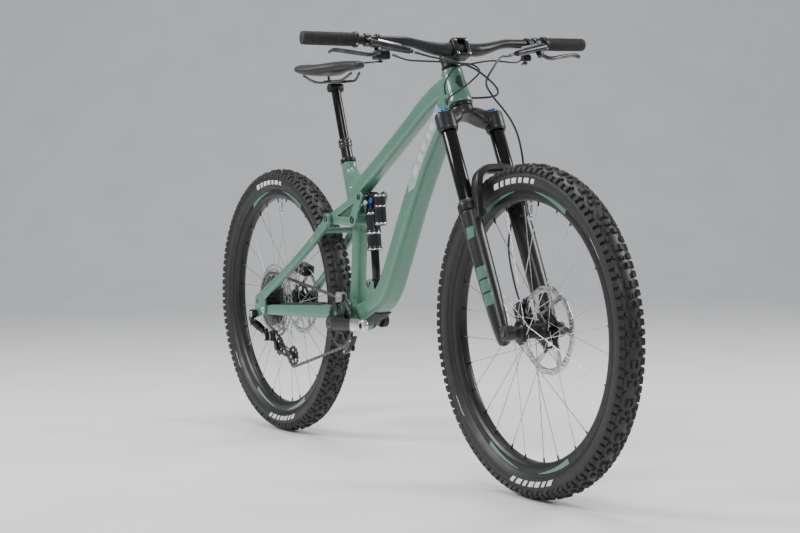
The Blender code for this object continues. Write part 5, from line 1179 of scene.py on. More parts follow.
def seatstay():
    """Both seatstays, their bridge and the dropouts with the axle threads and hanger."""
    parts = []
    trim = []
    axle = REAR_AXLE - BB
    horst = HORST_PIVOT - BB
    for side in (-1, 1):
        path = [
            (-0.062, 0.6130, 0.0470, 0.0052, 0.0125), (-0.088, 0.5900, 0.0485, 0.0072, 0.0135),
            (-0.150, 0.5440, 0.0540, 0.0085, 0.0130), (-0.225, 0.4960, 0.0610, 0.0085, 0.0125),
            (-0.310, 0.4450, 0.0695, 0.0082, 0.0130), (-0.375, 0.4100, 0.0770, 0.0060, 0.0150),
            (-0.412, 0.3880, 0.0806, 0.0030, 0.0160),
        ]
        parts.append(loft("stay", [(from_bb(x, z, side * y), w, d, 3.4) for x, z, y, w, d in path], PAINT,
            44))
        parts.append(across("lug", ROCKER_REAR, 0.0145, side * 0.0414, side * 0.0520, PAINT))
        outline = rounded_outline(
            [
                (axle.x - 0.018, axle.z + 0.004), (axle.x - 0.012, axle.z + 0.018),
                (axle.x + 0.012, axle.z + 0.026),
                (horst.x + 0.016, horst.z + 0.030), (horst.x + 0.017, horst.z),
                (horst.x + 0.008, horst.z - 0.014),
                (horst.x - 0.008, horst.z - 0.015), (axle.x - 0.006, axle.z - 0.045),
                (axle.x - 0.018, axle.z - 0.046),
                (axle.x - 0.022, axle.z - 0.034),
            ],
            0.004,
        )
        parts.append(plate("dropout", [outline], 0.0068, BB + LEFT * side * 0.0806, PAINT, 0.0008))
        parts.append(across("axle_boss", REAR_AXLE, 0.0136, side * 0.0745, side * 0.0850, PAINT))
        trim.append(bolt("rear_cap", ROCKER_REAR, side, 0.0088, 0.0538, BLACK_SATIN, 0.0022))
        trim.append(bolt("horst_head", HORST_PIVOT, side, 0.0105, 0.0859, POLISHED, 0.0024))
        joint = from_bb(-0.098, 0.5828, side * 0.0494)
        along = Vector((-0.062, side * 0.0055, -0.046)).normalized()
        trim.append(loft("stay_collar", [(joint, 0.0082, 0.0145, 3.4),
            (joint + along * 0.004, 0.0082, 0.0144, 3.4)], PAINT, 44, 3))
        # A darker ring behind the collar: painted shade for a groove.
        trim.append(loft("stay_groove", [(joint + along * 0.0042, 0.0080, 0.0142, 3.4),
            (joint + along * 0.0056, 0.0080, 0.0142, 3.4)], PAINTED_SHADE, 44, 3, dome=0))
        if side < 0:
            mark = from_bb(-0.137, 0.5530, side * 0.0525) + LEFT * side * 0.0083
            trim.append(box("stay_dash", mark, (0.0230, 0.0010, 0.0050), MARK_GREEN, along, edge=0.0003))
        trim.append(across("horst_pin", HORST_PIVOT, 0.0060, side * 0.0692, side * 0.0780, DARK_STEEL))
    bridge = [(from_bb(-0.104, 0.5780, -0.049), 0.0070, 0.0080, 3),
        (from_bb(-0.104, 0.5780, 0.049), 0.0070, 0.0080, 3)]
    parts.append(loft("bridge", bridge, PAINT, 32, 6, Vector((1, 0, 0))))
    skin = fuse("seatstay_skin", parts, 0.0016, 4, PAINT)
    skin = cut(skin, across("axle_bore", REAR_AXLE, 0.0064, -0.10, 0.10, PAINT, 32, 0))
    settle(join("seatstay_detail", [skin] + trim), "seatstays", "seatstay", slot="frame_green")


def shock():
    """An air shock: eyes, shaft, body with its collar, reservoir with bright caps, blue switch."""
    axis = (ROCKER_FRONT - SHOCK_LOWER).normalized()
    ahead = LEFT.cross(axis)
    length = (ROCKER_FRONT - SHOCK_LOWER).length

    def at(along, forward=0.0, y=0.0):
        return SHOCK_LOWER + axis * along + ahead * forward + LEFT * y

    lower = [
        across("lower_eye", SHOCK_LOWER, 0.0112, -0.0145, 0.0145, BLACK_SATIN),
        across("lower_bush", SHOCK_LOWER, 0.0072, -0.0152, 0.0152, POLISHED),
        cylinder("shaft", at(0.012), at(0.120), 0.0108, STANCHION, 48, 0.0004),
        revolve("shaft_seat", [(0, 0.006), (0.0118, 0.006), (0.0118, 0.016), (0.0108, 0.018), (0, 0.018)],
        SHOCK_LOWER, axis, BLACK_SATIN, 40),
    ]
    for side in (-1, 1):
        lower.append(bolt("lower_bolt", SHOCK_LOWER, side, 0.0066, 0.0275, DARK_STEEL, 0.0020))
    settle(join("shock_shaft_detail", lower), "shock_lower", "shock_shaft", slot="dark_metal")
    seal = [
        (0.0112, 0.0862), (0.0185, 0.0862), (0.0203, 0.0880), (0.0203, 0.0955), (0.0190, 0.0970),
        (0.0184, 0.0972),
        (0.0184, 0.1290), (0.0192, 0.1300), (0.0192, 0.1380), (0.0184, 0.1390), (0.0184, length - 0.040),
        (0.0168, length - 0.032), (0.0150, length - 0.020), (0, length - 0.018), (0, length - 0.038),
        (0.0112, length - 0.042),
    ]
    body = [revolve("air_can", seal, SHOCK_LOWER, axis, BLACK_GLOSS, 64, 0.0006)]
    for low, high, radius in ((0.0890, 0.0925, 0.0206), (0.1305, 0.1345, 0.0196),
            (length - 0.046, length - 0.041, 0.0188)):
        ring = [(0.0170, low), (radius, low), (radius, high), (0.0170, high)]
        body.append(revolve("bright_ring", ring, SHOCK_LOWER, axis, POLISHED, 64, 0.0006))
    head_parts = [
        box("head_block", at(length - 0.022, 0.020), (0.0280, 0.0260, 0.0420), BLACK_SATIN, axis, edge=0.004),
        box("head_neck", at(length - 0.012, 0.006), (0.0200, 0.0240, 0.0260), BLACK_SATIN, axis, edge=0.004),
        across("upper_eye", ROCKER_FRONT, 0.0120, -0.0150, 0.0150, BLACK_SATIN),
    ]
    body.append(fuse("head_casting", head_parts, 0.0011, 3, BLACK_SATIN))
    reservoir = [
        (0, length - 0.078), (0.0125, length - 0.078), (0.0152, length - 0.074), (0.0152, length - 0.002),
        (0.0135, length + 0.0035),
        (0, length + 0.0035),
    ]
    body.append(revolve("reservoir", reservoir, at(0, 0.040), axis, BLACK_GLOSS, 56, 0.0008))
    for low, high in ((length - 0.0745, length - 0.0700), (length - 0.0300, length - 0.0260),
            (length - 0.0030, length + 0.0010)):
        ring = [(0.0130, low), (0.0156, low), (0.0156, high), (0.0130, high)]
        body.append(revolve("reservoir_ring", ring, at(0, 0.040), axis, POLISHED, 56, 0.0006))
    body.append(cylinder("fill_valve", at(length - 0.006, 0.0300), at(length + 0.0035, 0.0300), 0.0042,
        POLISHED, 24, 0.0006))
    body.append(cylinder("red_dial", at(length - 0.030, 0.0460, -0.0150),
        at(length - 0.030, 0.0470, -0.0162), 0.0036, RED, 24, 0.0005))
    settle(join("shock_body_detail", body), "shock_upper", "shock_body", slot="black_gloss")
    dial = at(length - 0.012, 0.0225)
    knob_profile = [(0, 0.0156), (0.0078, 0.0156), (0.0080, 0.0180), (0.0066, 0.0204), (0, 0.0204)]
    switch = [
        revolve("dial", knob_profile, dial, -LEFT, BLUE, 36, 0.0005),
        box("dial_lever", at(length - 0.022, 0.0225, -0.0190), (0.0215, 0.0022, 0.0058), BLUE, axis,
        edge=0.0007),
        cylinder("dial_screw", dial - LEFT * 0.0200, dial - LEFT * 0.0206, 0.0026, POLISHED, 6, 0.0003),
    ]
    settle(join("shock_switch_detail", switch), "shock_switch", "shock_lever", slot="blue_anodised")


# Fork
def leg(name, y, profile, material, steps=56, edge=0.0008):
    """A shape turned about one fork leg's axis; heights run along the steering axis."""
    return revolve(name, profile, steer(0, LEG_FORWARD, y), STEER_UP, material, steps, edge)


def fork():
    crown_parts = [
        loft(
            "crown_bridge",
            [
                (steer(-0.0370, 0.018, -LEG_HALF), 0.0205, 0.0190, 3),
                (steer(-0.0250, 0.012, -0.041), 0.0240, 0.0170, 3),
                (steer(-0.0085, 0.000, -0.018), 0.0275, 0.0100, 3),
                (steer(-0.0085, 0.000, 0.018), 0.0275, 0.0100, 3),
                (steer(-0.0250, 0.012, 0.041), 0.0240, 0.0170, 3),
                (steer(-0.0370, 0.018, LEG_HALF), 0.0205, 0.0190, 3),
            ],
            BLACK_GLOSS, 44, 8, STEER_FORWARD,
        ),
        revolve("crown_race", [(0, -0.0150), (0.0240, -0.0150), (0.0285, -0.0020), (0.0280, 0.0080),
        (0, 0.0080)], CROWN_SEAT, STEER_UP, BLACK_GLOSS, 56),
    ]
    for side in (-1, 1):
        clamp = [(0, -0.0610), (0.0228, -0.0610), (0.0240, -0.0560), (0.0243, -0.0300), (0.0238, -0.0190),
            (0.0220, -0.0164), (0, -0.0164)]
        crown_parts.append(leg("clamp", side * LEG_HALF, clamp, BLACK_GLOSS))
    crown = fuse("crown_skin", crown_parts, 0.0013, 4, CROWN_BLACK)
    upper = [crown]
    for side in (-1, 1):
        stanchion = [(0, -0.3548), (STANCHION_RADIUS - 0.0002, -0.3548),
            (STANCHION_RADIUS - 0.0002, -0.0560), (0, -0.0560)]
        upper.append(leg("stanchion", side * LEG_HALF, stanchion, STANCHION))
        lip = [(STANCHION_RADIUS, -0.0625), (0.0222, -0.0625), (0.0222, -0.0600), (STANCHION_RADIUS, -0.0600)]
        upper.append(leg("clamp_lip", side * LEG_HALF, lip, BLACK_SATIN))
    cap = [(0, -0.0180), (0.0155, -0.0180), (0.0155, -0.0100), (0.0140, -0.0080), (0.0085, -0.0080),
        (0.0085, -0.0058), (0, -0.0058)]
    upper.append(leg("air_cap", LEG_HALF, cap, BLUE, 48, 0.0006))
    race = [
        (0.0200, 0.0095), (0.0277, 0.0095), (0.0277, 0.0162), (0.0200, 0.0162),
    ]
    upper.append(revolve("lower_headset", race, CROWN_SEAT, STEER_UP, BLACK_SATIN, 56, 0.0008))
    steerer = [(0.0115, 0.0080), (0.0200, 0.0080), (0.0200, 0.0340), (0.0142, 0.0860), (0.0142, 0.1530),
        (0.0115, 0.1530)]
    upper.append(revolve("steerer", steerer, CROWN_SEAT, STEER_UP, BLACK_SATIN, 48, 0.0005))
    settle(join("fork_crown_detail", upper), "steering", "fork_crown_steerer", slot="black_gloss")
    knob_profile = [
        (0, -0.0152), (0.0150, -0.0152), (0.0150, -0.0110), (0.0138, -0.0100), (0.0120, -0.0088),
        (0.0115, -0.0050),
        (0.0100, -0.0045), (0, -0.0045),
    ]
    dial = [leg("damper_dial", -LEG_HALF, knob_profile, BLUE, 24, 0.0005)]
    dial.append(leg("damper_screw", -LEG_HALF, [(0, -0.0048), (0.0040, -0.0048), (0.0040, -0.0040),
        (0, -0.0040)], POLISHED, 20, 0.0003))
    settle(join("damper_knob_detail", dial), "damper_knob", "fork_damper_knob", slot="blue_anodised")
    fork_lowers()


def fork_lowers():
    """One casting: two tapered legs, the arch in front of the tyre, axle lugs and brake posts."""
    parts = []
    for side in (-1, 1):
        profile = [
            (0, -0.5850), (0.0110, -0.5850), (0.0145, -0.5790), (0.0175, -0.5550), (0.0200, -0.5200),
            (0.0222, -0.4600),
            (0.0230, -0.3800), (0.0237, -0.3000), (0.0240, -0.2650), (0, -0.2650),
        ]
        parts.append(leg("lower_leg", side * LEG_HALF, profile, GREY_GLOSS))
        parts.append(across("axle_lug", FRONT_AXLE, 0.0175, side * 0.0556, side * 0.0783, GREY_GLOSS))
    arch_path = []
    half_arch = (
        (-0.285, 0.0360, 0.0600, 0.0165), (-0.245, 0.0495, 0.0570, 0.0120), (-0.214, 0.0588, 0.0545, 0.0138),
        (-0.193, 0.0640, 0.0465, 0.0142), (-0.182, 0.0662, 0.0300, 0.0135),
    )
    for s_place, forward, y, half in half_arch:
        arch_path.append((s_place, forward, -y, half))
    arch_path.append((-0.179, 0.0670, 0.0, 0.0125))
    for s_place, forward, y, half in reversed(half_arch):
        arch_path.append((s_place, forward, y, half))
    stations = [(steer(s_place, forward, y), half, 0.0090, 6) for s_place, forward, y, half in arch_path]
    parts.append(loft("arch", stations, GREY_GLOSS, 48, 6, STEER_FORWARD))
    for along in (-0.538, -0.470):
        tip = steer(along, -0.0075, LEG_HALF - 0.0110)
        parts.append(cylinder("post", steer(along, 0.010, LEG_HALF - 0.004), tip, 0.0075, GREY_GLOSS, 32))
    skin = fuse("lowers_skin", parts, 0.0013, 3, GREY_GLOSS)
    trim = []
    for side in (-1, 1):
        seal = [
            (STANCHION_RADIUS + 0.0004, -0.2640), (0.0248, -0.2640), (0.0255, -0.2610), (0.0255, -0.2480),
            (0.0245, -0.2445),
            (0.0222, -0.2420), (0.0205, -0.2385), (STANCHION_RADIUS + 0.0004, -0.2382),
        ]
        trim.append(leg("dust_seal", side * LEG_HALF, seal, BLACK_SATIN, 64, 0.0006))
        wire = [(0.0216, -0.2408), (0.0226, -0.2402), (0.0226, -0.2394), (0.0216, -0.2390)]
        trim.append(leg("seal_spring", side * LEG_HALF, wire, STEEL, 64, 0))
        foot = [(0, -0.5870), (0.0062, -0.5870), (0.0062, -0.5840), (0, -0.5840)]
        trim.append(leg("foot_bolt", side * LEG_HALF, foot, BLACK_SATIN, 6, 0.0004))
        trim.append(leg_decals(side))
    skin = cut(
        skin,
        across("axle_bore", FRONT_AXLE, 0.0079, -0.10, 0.10, GREY_GLOSS, 40, 0),
        across("hub_room", FRONT_AXLE, 0.0126, -0.0548, 0.0548, GREY_GLOSS, 40, 0),
    )
    settle(join("fork_lowers_detail", [skin] + trim), "lowers", "fork_lowers", slot="black_gloss")


def leg_decals(side):
    """Blank mint blocks on a lower leg in place of any lettering: one small, then a run of three."""
    shape = bmesh.new()
    centre = steer(0, LEG_FORWARD, side * LEG_HALF)
    for low, high, start, end, slant in (
        (-0.332, -0.306, 2, 50, 10), (-0.430, -0.402, -2, 58, 8), (-0.462, -0.434, -2, 58, 8),
        (-0.494, -0.466, -2, 58, 8),
    ):
        rows = []
        for i in range(9):
            along = low + (high - low) * i / 8
            radius = leg_radius(along) + 0.0005
            row = []
            for j in range(15):
                angle = radians(start + (end - start) * j / 14 + slant * (i / 8 - 0.5))
                out = LEFT * side * cos(angle) + STEER_FORWARD * sin(angle)
                row.append(shape.verts.new(centre + STEER_UP * along + out * radius))
            rows.append(row)
        skin_grid(shape, rows)
    return raised("leg_decals", shape, PAINT, 0.0004)


def leg_radius(along):
    """The lower leg's radius at a height along the steering axis."""
    rows = ((-0.5550, 0.0175), (-0.5200, 0.0200), (-0.4600, 0.0222), (-0.3800, 0.0230), (-0.3000, 0.0237),
        (-0.2650, 0.0240))
    for (a, ra), (b, rb) in zip(rows, rows[1:]):
        if a <= along <= b:
            return ra + (rb - ra) * (along - a) / (b - a)
    return rows[-1][1]


def calipers():
    """Four-piston callipers over both discs, with body bolts, a spine, pad fins and the front one's feet."""
    front = steer(-0.504, -0.0290)
    rear = from_bb(-0.420, 0.4590)
    tangent = LEFT.cross(rear - REAR_AXLE).normalized()
    for word, centre, y, along, body in (
        ("front", front, FRONT_ROTOR_Y, STEER_UP, "lowers"),
        ("rear", rear, REAR_ROTOR_Y, tangent, "seatstays"),
    ):
        middle = Vector((centre.x, y, centre.z))
        over = along.cross(LEFT)
        parts = []
        for side in (-1, 1):
            half = middle + LEFT * side * 0.0098
            casting = [box("half", half, (0.062, 0.0135, 0.0300), BLACK_SATIN, along, edge=0.004)]
            for k in (-1, 1):
                piston = half + along * k * 0.0145
                casting.append(cylinder("piston_dome", piston - LEFT * side * 0.002,
                    piston + LEFT * side * 0.0068, 0.0118, BLACK_SATIN, 36, 0.0016))
            parts.append(fuse("caliper_half", casting, 0.0011, 2, BLACK_SATIN))
            for k in (-1, 0, 1):
                spot = half + along * k * 0.026 + over * 0.0005
                parts.append(cylinder("body_bolt", spot + LEFT * side * 0.0062, spot + LEFT * side * 0.0070,
                    0.0030, POLISHED, 20, 0.0003))
        spine = middle + over * 0.0125
        parts.append(box("spine", spine, (0.050, 0.0120, 0.0050), BLACK_SATIN, along, edge=0.0015))
        for side in (-1, 1):
            fin = middle - over * 0.0120 + LEFT * side * 0.0026
            parts.append(box("pad_fin", fin, (0.024, 0.0014, 0.0060), STEEL, along, edge=0.0003))
        if word == "front":
            for spot in (-0.538, -0.470):
                start = steer(spot, -0.0079, LEG_HALF - 0.0113)
                end = steer(spot, -0.0250, LEG_HALF - 0.0190)
                parts.append(cylinder("foot", start, end, 0.0060, BLACK_SATIN, 28, 0.0010))
        settle(join(f"{word}_caliper_detail", parts), body, f"{word}_caliper", slot="black_satin")


# Drivetrain
def toothed_outline(teeth, depth, steps=8):
    """A sprocket's edge: teeth that rise to a narrow top between round valleys."""
    pitch = pitch_radius(teeth)
    found = []
    for k in range(teeth * steps):
        place = k / steps % 1
        wave = 0.5 + 0.5 * cos(tau * place)
        radius = pitch - depth * 0.55 + depth * wave**0.8
        angle = tau * k / (teeth * steps)
        found.append((radius * cos(angle), radius * sin(angle)))
    return found


def cassette():
    """Twelve pierced sprockets with teeth, and spacers between them."""
    parts = []
    for i, teeth in enumerate(SPROCKET_TEETH):
        centre = REAR_AXLE + LEFT * sprocket_y(i)
        pitch = pitch_radius(teeth)
        outlines = [toothed_outline(teeth, 0.0052)]
        hub = 0.0190
        inner = pitch_radius(SPROCKET_TEETH[i - 1]) - 0.003 if i else hub
        if teeth > 20:
            arms = 6
            low = max(inner - 0.014, hub + 0.004)
            high = pitch - 0.0062
            for k in range(arms):
                start = 360 / arms * k + 11 * i
                if high - low > 0.006:
                    outlines.append(arc(high, start + 4, start + 54, 10) + arc(low, start + 60, start + 14,
                        6))
        outlines.append(circle(0.0172 if teeth > 12 else 0.0125, 32))
        finish = ALLOY if i > 8 else DARK_STEEL
        parts.append(plate("sprocket", outlines, 0.0016, centre, finish, 0.0003, 30))
        if i + 1 < len(SPROCKET_TEETH):
            spacer = min(pitch - 0.0080, 0.0215)
            gap = [(0.0172 if teeth > 12 else 0.0125, 0.0006), (spacer, 0.0006),
                (spacer, SPROCKET_SPACING - 0.0006)]
            gap.append((0.0172 if teeth > 12 else 0.0125, SPROCKET_SPACING - 0.0006))
            parts.append(revolve("spacer", gap, centre, LEFT, BLACK_SATIN, 36, 0))
    settle(join("cassette_detail", parts), "sprockets", "cassette", slot="dark_metal")


def chain_path():
    """The chain's closed centre line as runs: each wrap and each straight, in travelling order."""
    sprocket = SPROCKET_TEETH[CHAIN_SPROCKET]
    back_y = sprocket_y(CHAIN_SPROCKET)
    wheels = [
        (BB, pitch_radius(RING_TEETH), -1, RING_Y),
        (TENSION_PULLEY, pitch_radius(TENSION_TEETH), -1, back_y),
        (GUIDE_PULLEY, pitch_radius(GUIDE_TEETH), 1, back_y),
        (REAR_AXLE, pitch_radius(sprocket), -1, back_y),
    ]
    slopes = []
    for (here, r0, t0, _), (there, r1, t1, _) in zip(wheels, wheels[1:] + wheels[:1]):
        dx = there.x - here.x
        dz = there.z - here.z
        slopes.append(atan2(dz, dx) - asin((t1 * r1 - t0 * r0) / sqrt(dx * dx + dz * dz)))
    wraps = []
    for i, (centre, radius, turn, y) in enumerate(wheels):
        start = slopes[i - 1] - turn * pi / 2
        end = slopes[i] - turn * pi / 2
        span = (end - start) * turn % tau
        count = max(int(span * radius / 0.0015), 8)
        points = []
        for k in range(count + 1):
            angle = start + turn * span * k / count
            points.append(Vector((centre.x + radius * cos(angle), y, centre.z + radius * sin(angle))))
        wraps.append(points)
    runs = []
    for i, name in enumerate(("ring", "tension", "guide", "sprocket")):
        runs.append((name + "_wrap", wraps[i]))
        a = wraps[i][-1]
        b = wraps[(i + 1) % 4][0]
        count = max(int((b - a).length / 0.003), 2)
        runs.append((name + "_run", [a.lerp(b, k / count) for k in range(1, count)]))
    return runs


def link_plate(shape, a, b, y, thickness, half_height):
    """One side plate of a link: two round ends with a narrower waist."""
    along = (b - a).normalized()
    out = along.cross(LEFT)
    length = (b - a).length
    outline = []
    for k in range(7):
        angle = pi / 2 + pi * k / 6
        outline.append((cos(angle) * half_height, sin(angle) * half_height))
    for k in range(7):
        angle = -pi / 2 + pi * k / 6
        outline.append((length + cos(angle) * half_height, sin(angle) * half_height))
    outline.insert(7, (length / 2, -half_height * 0.74))
    outline.append((length / 2, half_height * 0.74))
    rings = []
    for level in (y - thickness / 2, y + thickness / 2):
        rings.append([shape.verts.new(a + along * u + out * v + LEFT * level) for u, v in outline])
    count = len(outline)
    for k in range(count):
        shape.faces.new((rings[0][k], rings[0][(k + 1) % count], rings[1][(k + 1) % count], rings[1][k]))
    shape.faces.new(rings[0][::-1])
    shape.faces.new(rings[1])


def pin(shape, place, radius, half, sides=10):
    """A round pin across the chain."""
    rings = []
    for level in (-half, half):
        rings.append(
            [
                shape.verts.new(place + Vector((cos(tau * k / sides) * radius, level,
                sin(tau * k / sides) * radius)))
                for k in range(sides)
            ]
        )
    for k in range(sides):
        shape.faces.new((rings[0][k], rings[0][(k + 1) % sides], rings[1][(k + 1) % sides], rings[1][k]))
    shape.faces.new(rings[0][::-1])
    shape.faces.new(rings[1])


def chain():
    """Every link of the chain, as one piece for each run between its wraps."""
    runs = chain_path()
    path = []
    owners = []
    for name, points in runs:
        for point in points:
            path.append(point)
            owners.append(name)
    closed = path + path[:1]
    lengths = [0.0]
    for a, b in zip(closed, closed[1:]):
        lengths.append(lengths[-1] + (b - a).length)
    links = round(lengths[-1] / CHAIN_PITCH / 2) * 2
    step = lengths[-1] / links
    places = []
    names = []
    i = 0
    for k in range(links):
        target = k * step
        while lengths[i + 1] < target:
            i += 1
        share = (target - lengths[i]) / (lengths[i + 1] - lengths[i])
        places.append(closed[i].lerp(closed[i + 1], share))
        names.append(owners[min(i, len(owners) - 1)])
    shapes = {}
    for k in range(links):
        a = places[k]
        b = places[(k + 1) % links]
        shape = shapes.setdefault(names[k], bmesh.new())
        outer = k % 2
        offset = 0.00222 if outer else 0.00150
        for side in (-1, 1):
            link_plate(shape, a, b, side * offset, 0.0007, 0.0041)
        pin(shape, a, 0.0038, 0.0011)
        pin(shape, a, 0.0016, 0.00255)
    pieces = {}
    for name, shape in shapes.items():
        pieces[name] = from_shape("chain_" + name, shape, CHAIN_STEEL, 30)
    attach(pieces["ring_wrap"], "frame")
    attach(pieces["sprocket_wrap"], "seatstays")
    for name in ("tension_wrap", "tension_run", "guide_wrap"):
        if name in pieces:
            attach(pieces[name], "cage")
    for name in ("sprocket_run", "ring_run"):
        blend_run(pieces[name])
    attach(pieces["guide_run"], "seatstays")
    for piece in pieces.values():
        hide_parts("chain")


def blend_run(piece):
    """A run of chain between the ring and the rear end, its placing baked into its mesh."""
    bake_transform(piece)


def cranks():
    """Forged arms with a bright worn end, the spindle, preload ring and pedal threads."""
    lean = radians(2)
    reach = Vector((cos(lean), 0, sin(lean))) * CRANK_LENGTH
    for side, word, tip in ((-1, "right", BB + reach), (1, "left", BB - reach)):
        inner = 0.0680
        root = BB + LEFT * side * (inner + 0.009)
        end = tip + LEFT * side * (inner + 0.0115)
        body = [
            loft(
                "arm",
                [
                    (root, 0.0090, 0.0188, 3.2), (root.lerp(end, 0.15), 0.0085, 0.0176, 3.2),
                    (root.lerp(end, 0.45), 0.0075, 0.0158, 3.0), (root.lerp(end, 0.72), 0.0075, 0.0168, 3.0),
                    (root.lerp(end, 1.0), 0.0070, 0.0152, 3.0),
                ],
                BLACK_SATIN, 48, 10,
            ),
            across("boss", BB, 0.0200, side * (inner + 0.0010), side * (inner + 0.0176), BLACK_SATIN, 48,
            0.0016),
            across("eye", tip, 0.0160, side * (inner + 0.0050), side * (inner + 0.0190), BLACK_SATIN, 48,
            0.0016),
        ]
        arm = fuse("arm_forging", body, 0.0011, 3, BLACK_SATIN)
        arm = cut(arm, across("pedal_hole", tip, 0.0074, side * 0.05, side * 0.10, BLACK_SATIN, 36, 0))
        parts = [arm]
        boot = loft(
            "arm_end",
            [
                (root.lerp(end, 0.66), 0.0079, 0.0171, 3.2), (root.lerp(end, 0.70), 0.0082, 0.0173, 3.2),
                (root.lerp(end, 0.85), 0.0080, 0.0170, 3.2), (root.lerp(end, 0.99), 0.0076, 0.0161, 3.0),
            ],
            POLISHED, 48, 8, dome=0.05,
        )
        cap = across("arm_end_cap", tip, 0.0163, side * (inner + 0.0046), side * (inner + 0.0195), POLISHED,
            48, 0.0020)
        sleeve = fuse("arm_sleeve", [boot, cap], 0.0011, 2, POLISHED)
        parts.append(cut(sleeve, across("pedal_hole", tip, 0.0076, side * 0.05, side * 0.11, POLISHED, 36,
            0)))
        thread = [(0.0064, side * (inner + 0.0060)), (0.0076, side * (inner + 0.0060)),
            (0.0076, side * (inner + 0.0180)), (0.0064, side * (inner + 0.0180))]
        parts.append(revolve("pedal_thread", thread, tip, LEFT, DARK_STEEL, 36, 0.0003))
        cap_profile = [(0, side * (inner + 0.0170)), (0.0130, side * (inner + 0.0170)),
            (0.0130, side * (inner + 0.0182)), (0.0060, side * (inner + 0.0186)),
            (0.0056, side * (inner + 0.0174)), (0, side * (inner + 0.0174))]
        parts.append(revolve("spindle_cap", cap_profile, BB, LEFT, DARK_STEEL, 40, 0.0004))
        if side < 0:
            parts.append(across("spindle", BB, 0.0119, -0.0700, 0.0750, DARK_STEEL, 40))
        settle(join(f"crank_{word}_detail", parts), "crankset", f"crank_arm_{word}", slot="black_satin")


def chainring():
    """A toothed ring on six curved arms, with lightening pockets and its mount."""
    outlines = [toothed_outline(RING_TEETH, 0.0056)]
    for k in range(6):
        start = 60 * k + 8
        outlines.append(arc(0.0540, start, start + 43, 10) + arc(0.0290, start + 38, start - 1, 7))
    outlines.append(circle(0.0126, 36))
    parts = [plate("ring", outlines, 0.0028, BB + LEFT * RING_Y, BLACK_SATIN, 0.0005, 30)]
    for k in range(16):
        angle = tau * (k + 0.5) / 16
        place = BB + Vector((cos(angle) * 0.0578, RING_Y - 0.0012, sin(angle) * 0.0578))
        parts.append(cylinder("pocket_rim", place, place - LEFT * 0.0008, 0.0022, DARK_STEEL, 14, 0.0002))
    mount = [(0.0126, -0.0672), (0.0198, -0.0672), (0.0205, -0.0600), (0.0238, -0.0510), (0.0126, -0.0510)]
    parts.append(revolve("ring_mount", mount, BB, LEFT, BLACK_SATIN, 56, 0.0008))
    settle(join("chainring_detail", parts), "crankset", "chainring", slot="black_satin")


def chain_guide():
    """A backplate round the bearing cup, a pale upper slider and a curved lower guard with its bolts."""
    y = -0.0444
    thickness = 0.0020
    parts = [plate("guide_ring", [circle(0.0257, 56), circle(0.0228, 56)], thickness, BB + LEFT * y,
        BLACK_SATIN, 0.0003)]
    arm = [(0.0040, 0.0240), (0.0200, 0.0240), (0.0195, 0.0400), (0.0220, 0.0600), (0.0200, 0.0850),
        (0.0060, 0.0850), (0.0030, 0.0600)]
    slot_hole = rounded_outline([(0.0085, 0.0480), (0.0155, 0.0480), (0.0155, 0.0680), (0.0085, 0.0680)],
        0.003)
    parts.append(plate("guide_arm", [rounded_outline(arm, 0.003), slot_hole], thickness, BB + LEFT * y,
        BLACK_SATIN, 0.0003))
    top = pitch_radius(RING_TEETH)
    for side, width in ((-1, 0.0034), (1, 0.0028)):
        wing = rounded_outline([(-0.0085, top - 0.0110), (0.0245, top - 0.0090), (0.0245, top + 0.0120),
            (0.0180, top + 0.0165), (-0.0020, top + 0.0165), (-0.0085, top + 0.0110)], 0.004)
        parts.append(plate("slider_wing", [wing], width, BB + LEFT * (RING_Y + side * 0.0068), TRANSLUCENT,
            0.0006))
    parts.append(box("slider_roof", BB + Vector((0.0080, RING_Y, top + 0.0128)), (0.0300, 0.0150, 0.0046),
        TRANSLUCENT, edge=0.0014))
    for dx in (0.0020, 0.0140):
        spot = BB + Vector((dx, 0, top + 0.0090))
        parts.append(across("slider_bolt", spot, 0.0030, RING_Y - 0.0088, RING_Y - 0.0080, POLISHED, 20,
            0.0003))
    lower = [(0.0150, -0.0200), (0.0240, -0.0120), (0.0640, -0.0560), (0.0620, -0.0700), (0.0480, -0.0720)]
    parts.append(plate("guide_lower_arm", [rounded_outline(lower, 0.004)], thickness, BB + LEFT * y,
        BLACK_SATIN, 0.0003))
    band = arc(0.0828, -75, -22, 20) + arc(0.0786, -22, -75, 20)
    parts.append(plate("guide_guard", [band], 0.0158, BB + LEFT * GUARD_Y, BLACK_PLASTIC, 0.0008))
    pad = arc(0.0784, -72, -26, 16) + arc(0.0742, -26, -72, 16)
    parts.append(plate("guide_pad", [pad], 0.0120, BB + LEFT * GUARD_Y, TRANSLUCENT, 0.0006))
    for angle in (-66, -32):
        spot = BB + Vector((cos(radians(angle)) * 0.0785, 0, sin(radians(angle)) * 0.0785))
        parts.append(across("guard_bolt", spot, 0.0034, -0.0604, -0.0592, POLISHED, 20, 0.0003))
    settle(join("chain_guide_detail", parts), "frame", "chain_guide", slot="black_satin")


def pulley(name, centre, teeth, body, node):
    """A toothed jockey wheel with a cut-out web and a bright bearing cap."""
    centre = centre + LEFT * sprocket_y(CHAIN_SPROCKET)
    outlines = [toothed_outline(teeth, 0.0050)]
    for k in range(5):
        start = 72 * k
        outlines.append(arc(pitch_radius(teeth) - 0.0080, start + 10, start + 58, 6) + arc(0.0100,
            start + 52, start + 16, 4))
    outlines.append(circle(0.0036, 20))
    parts = [plate("pulley_wheel", outlines, 0.0026, centre, BLACK_PLASTIC, 0.0004, 30)]
    parts.append(revolve("pulley_cap", [(0.0036, -0.0024), (0.0070, -0.0024), (0.0070, 0.0024),
        (0.0036, 0.0024)], centre, LEFT, DARK_STEEL, 28, 0.0004))
    settle(join(name, parts), body, node, slot="black_satin")


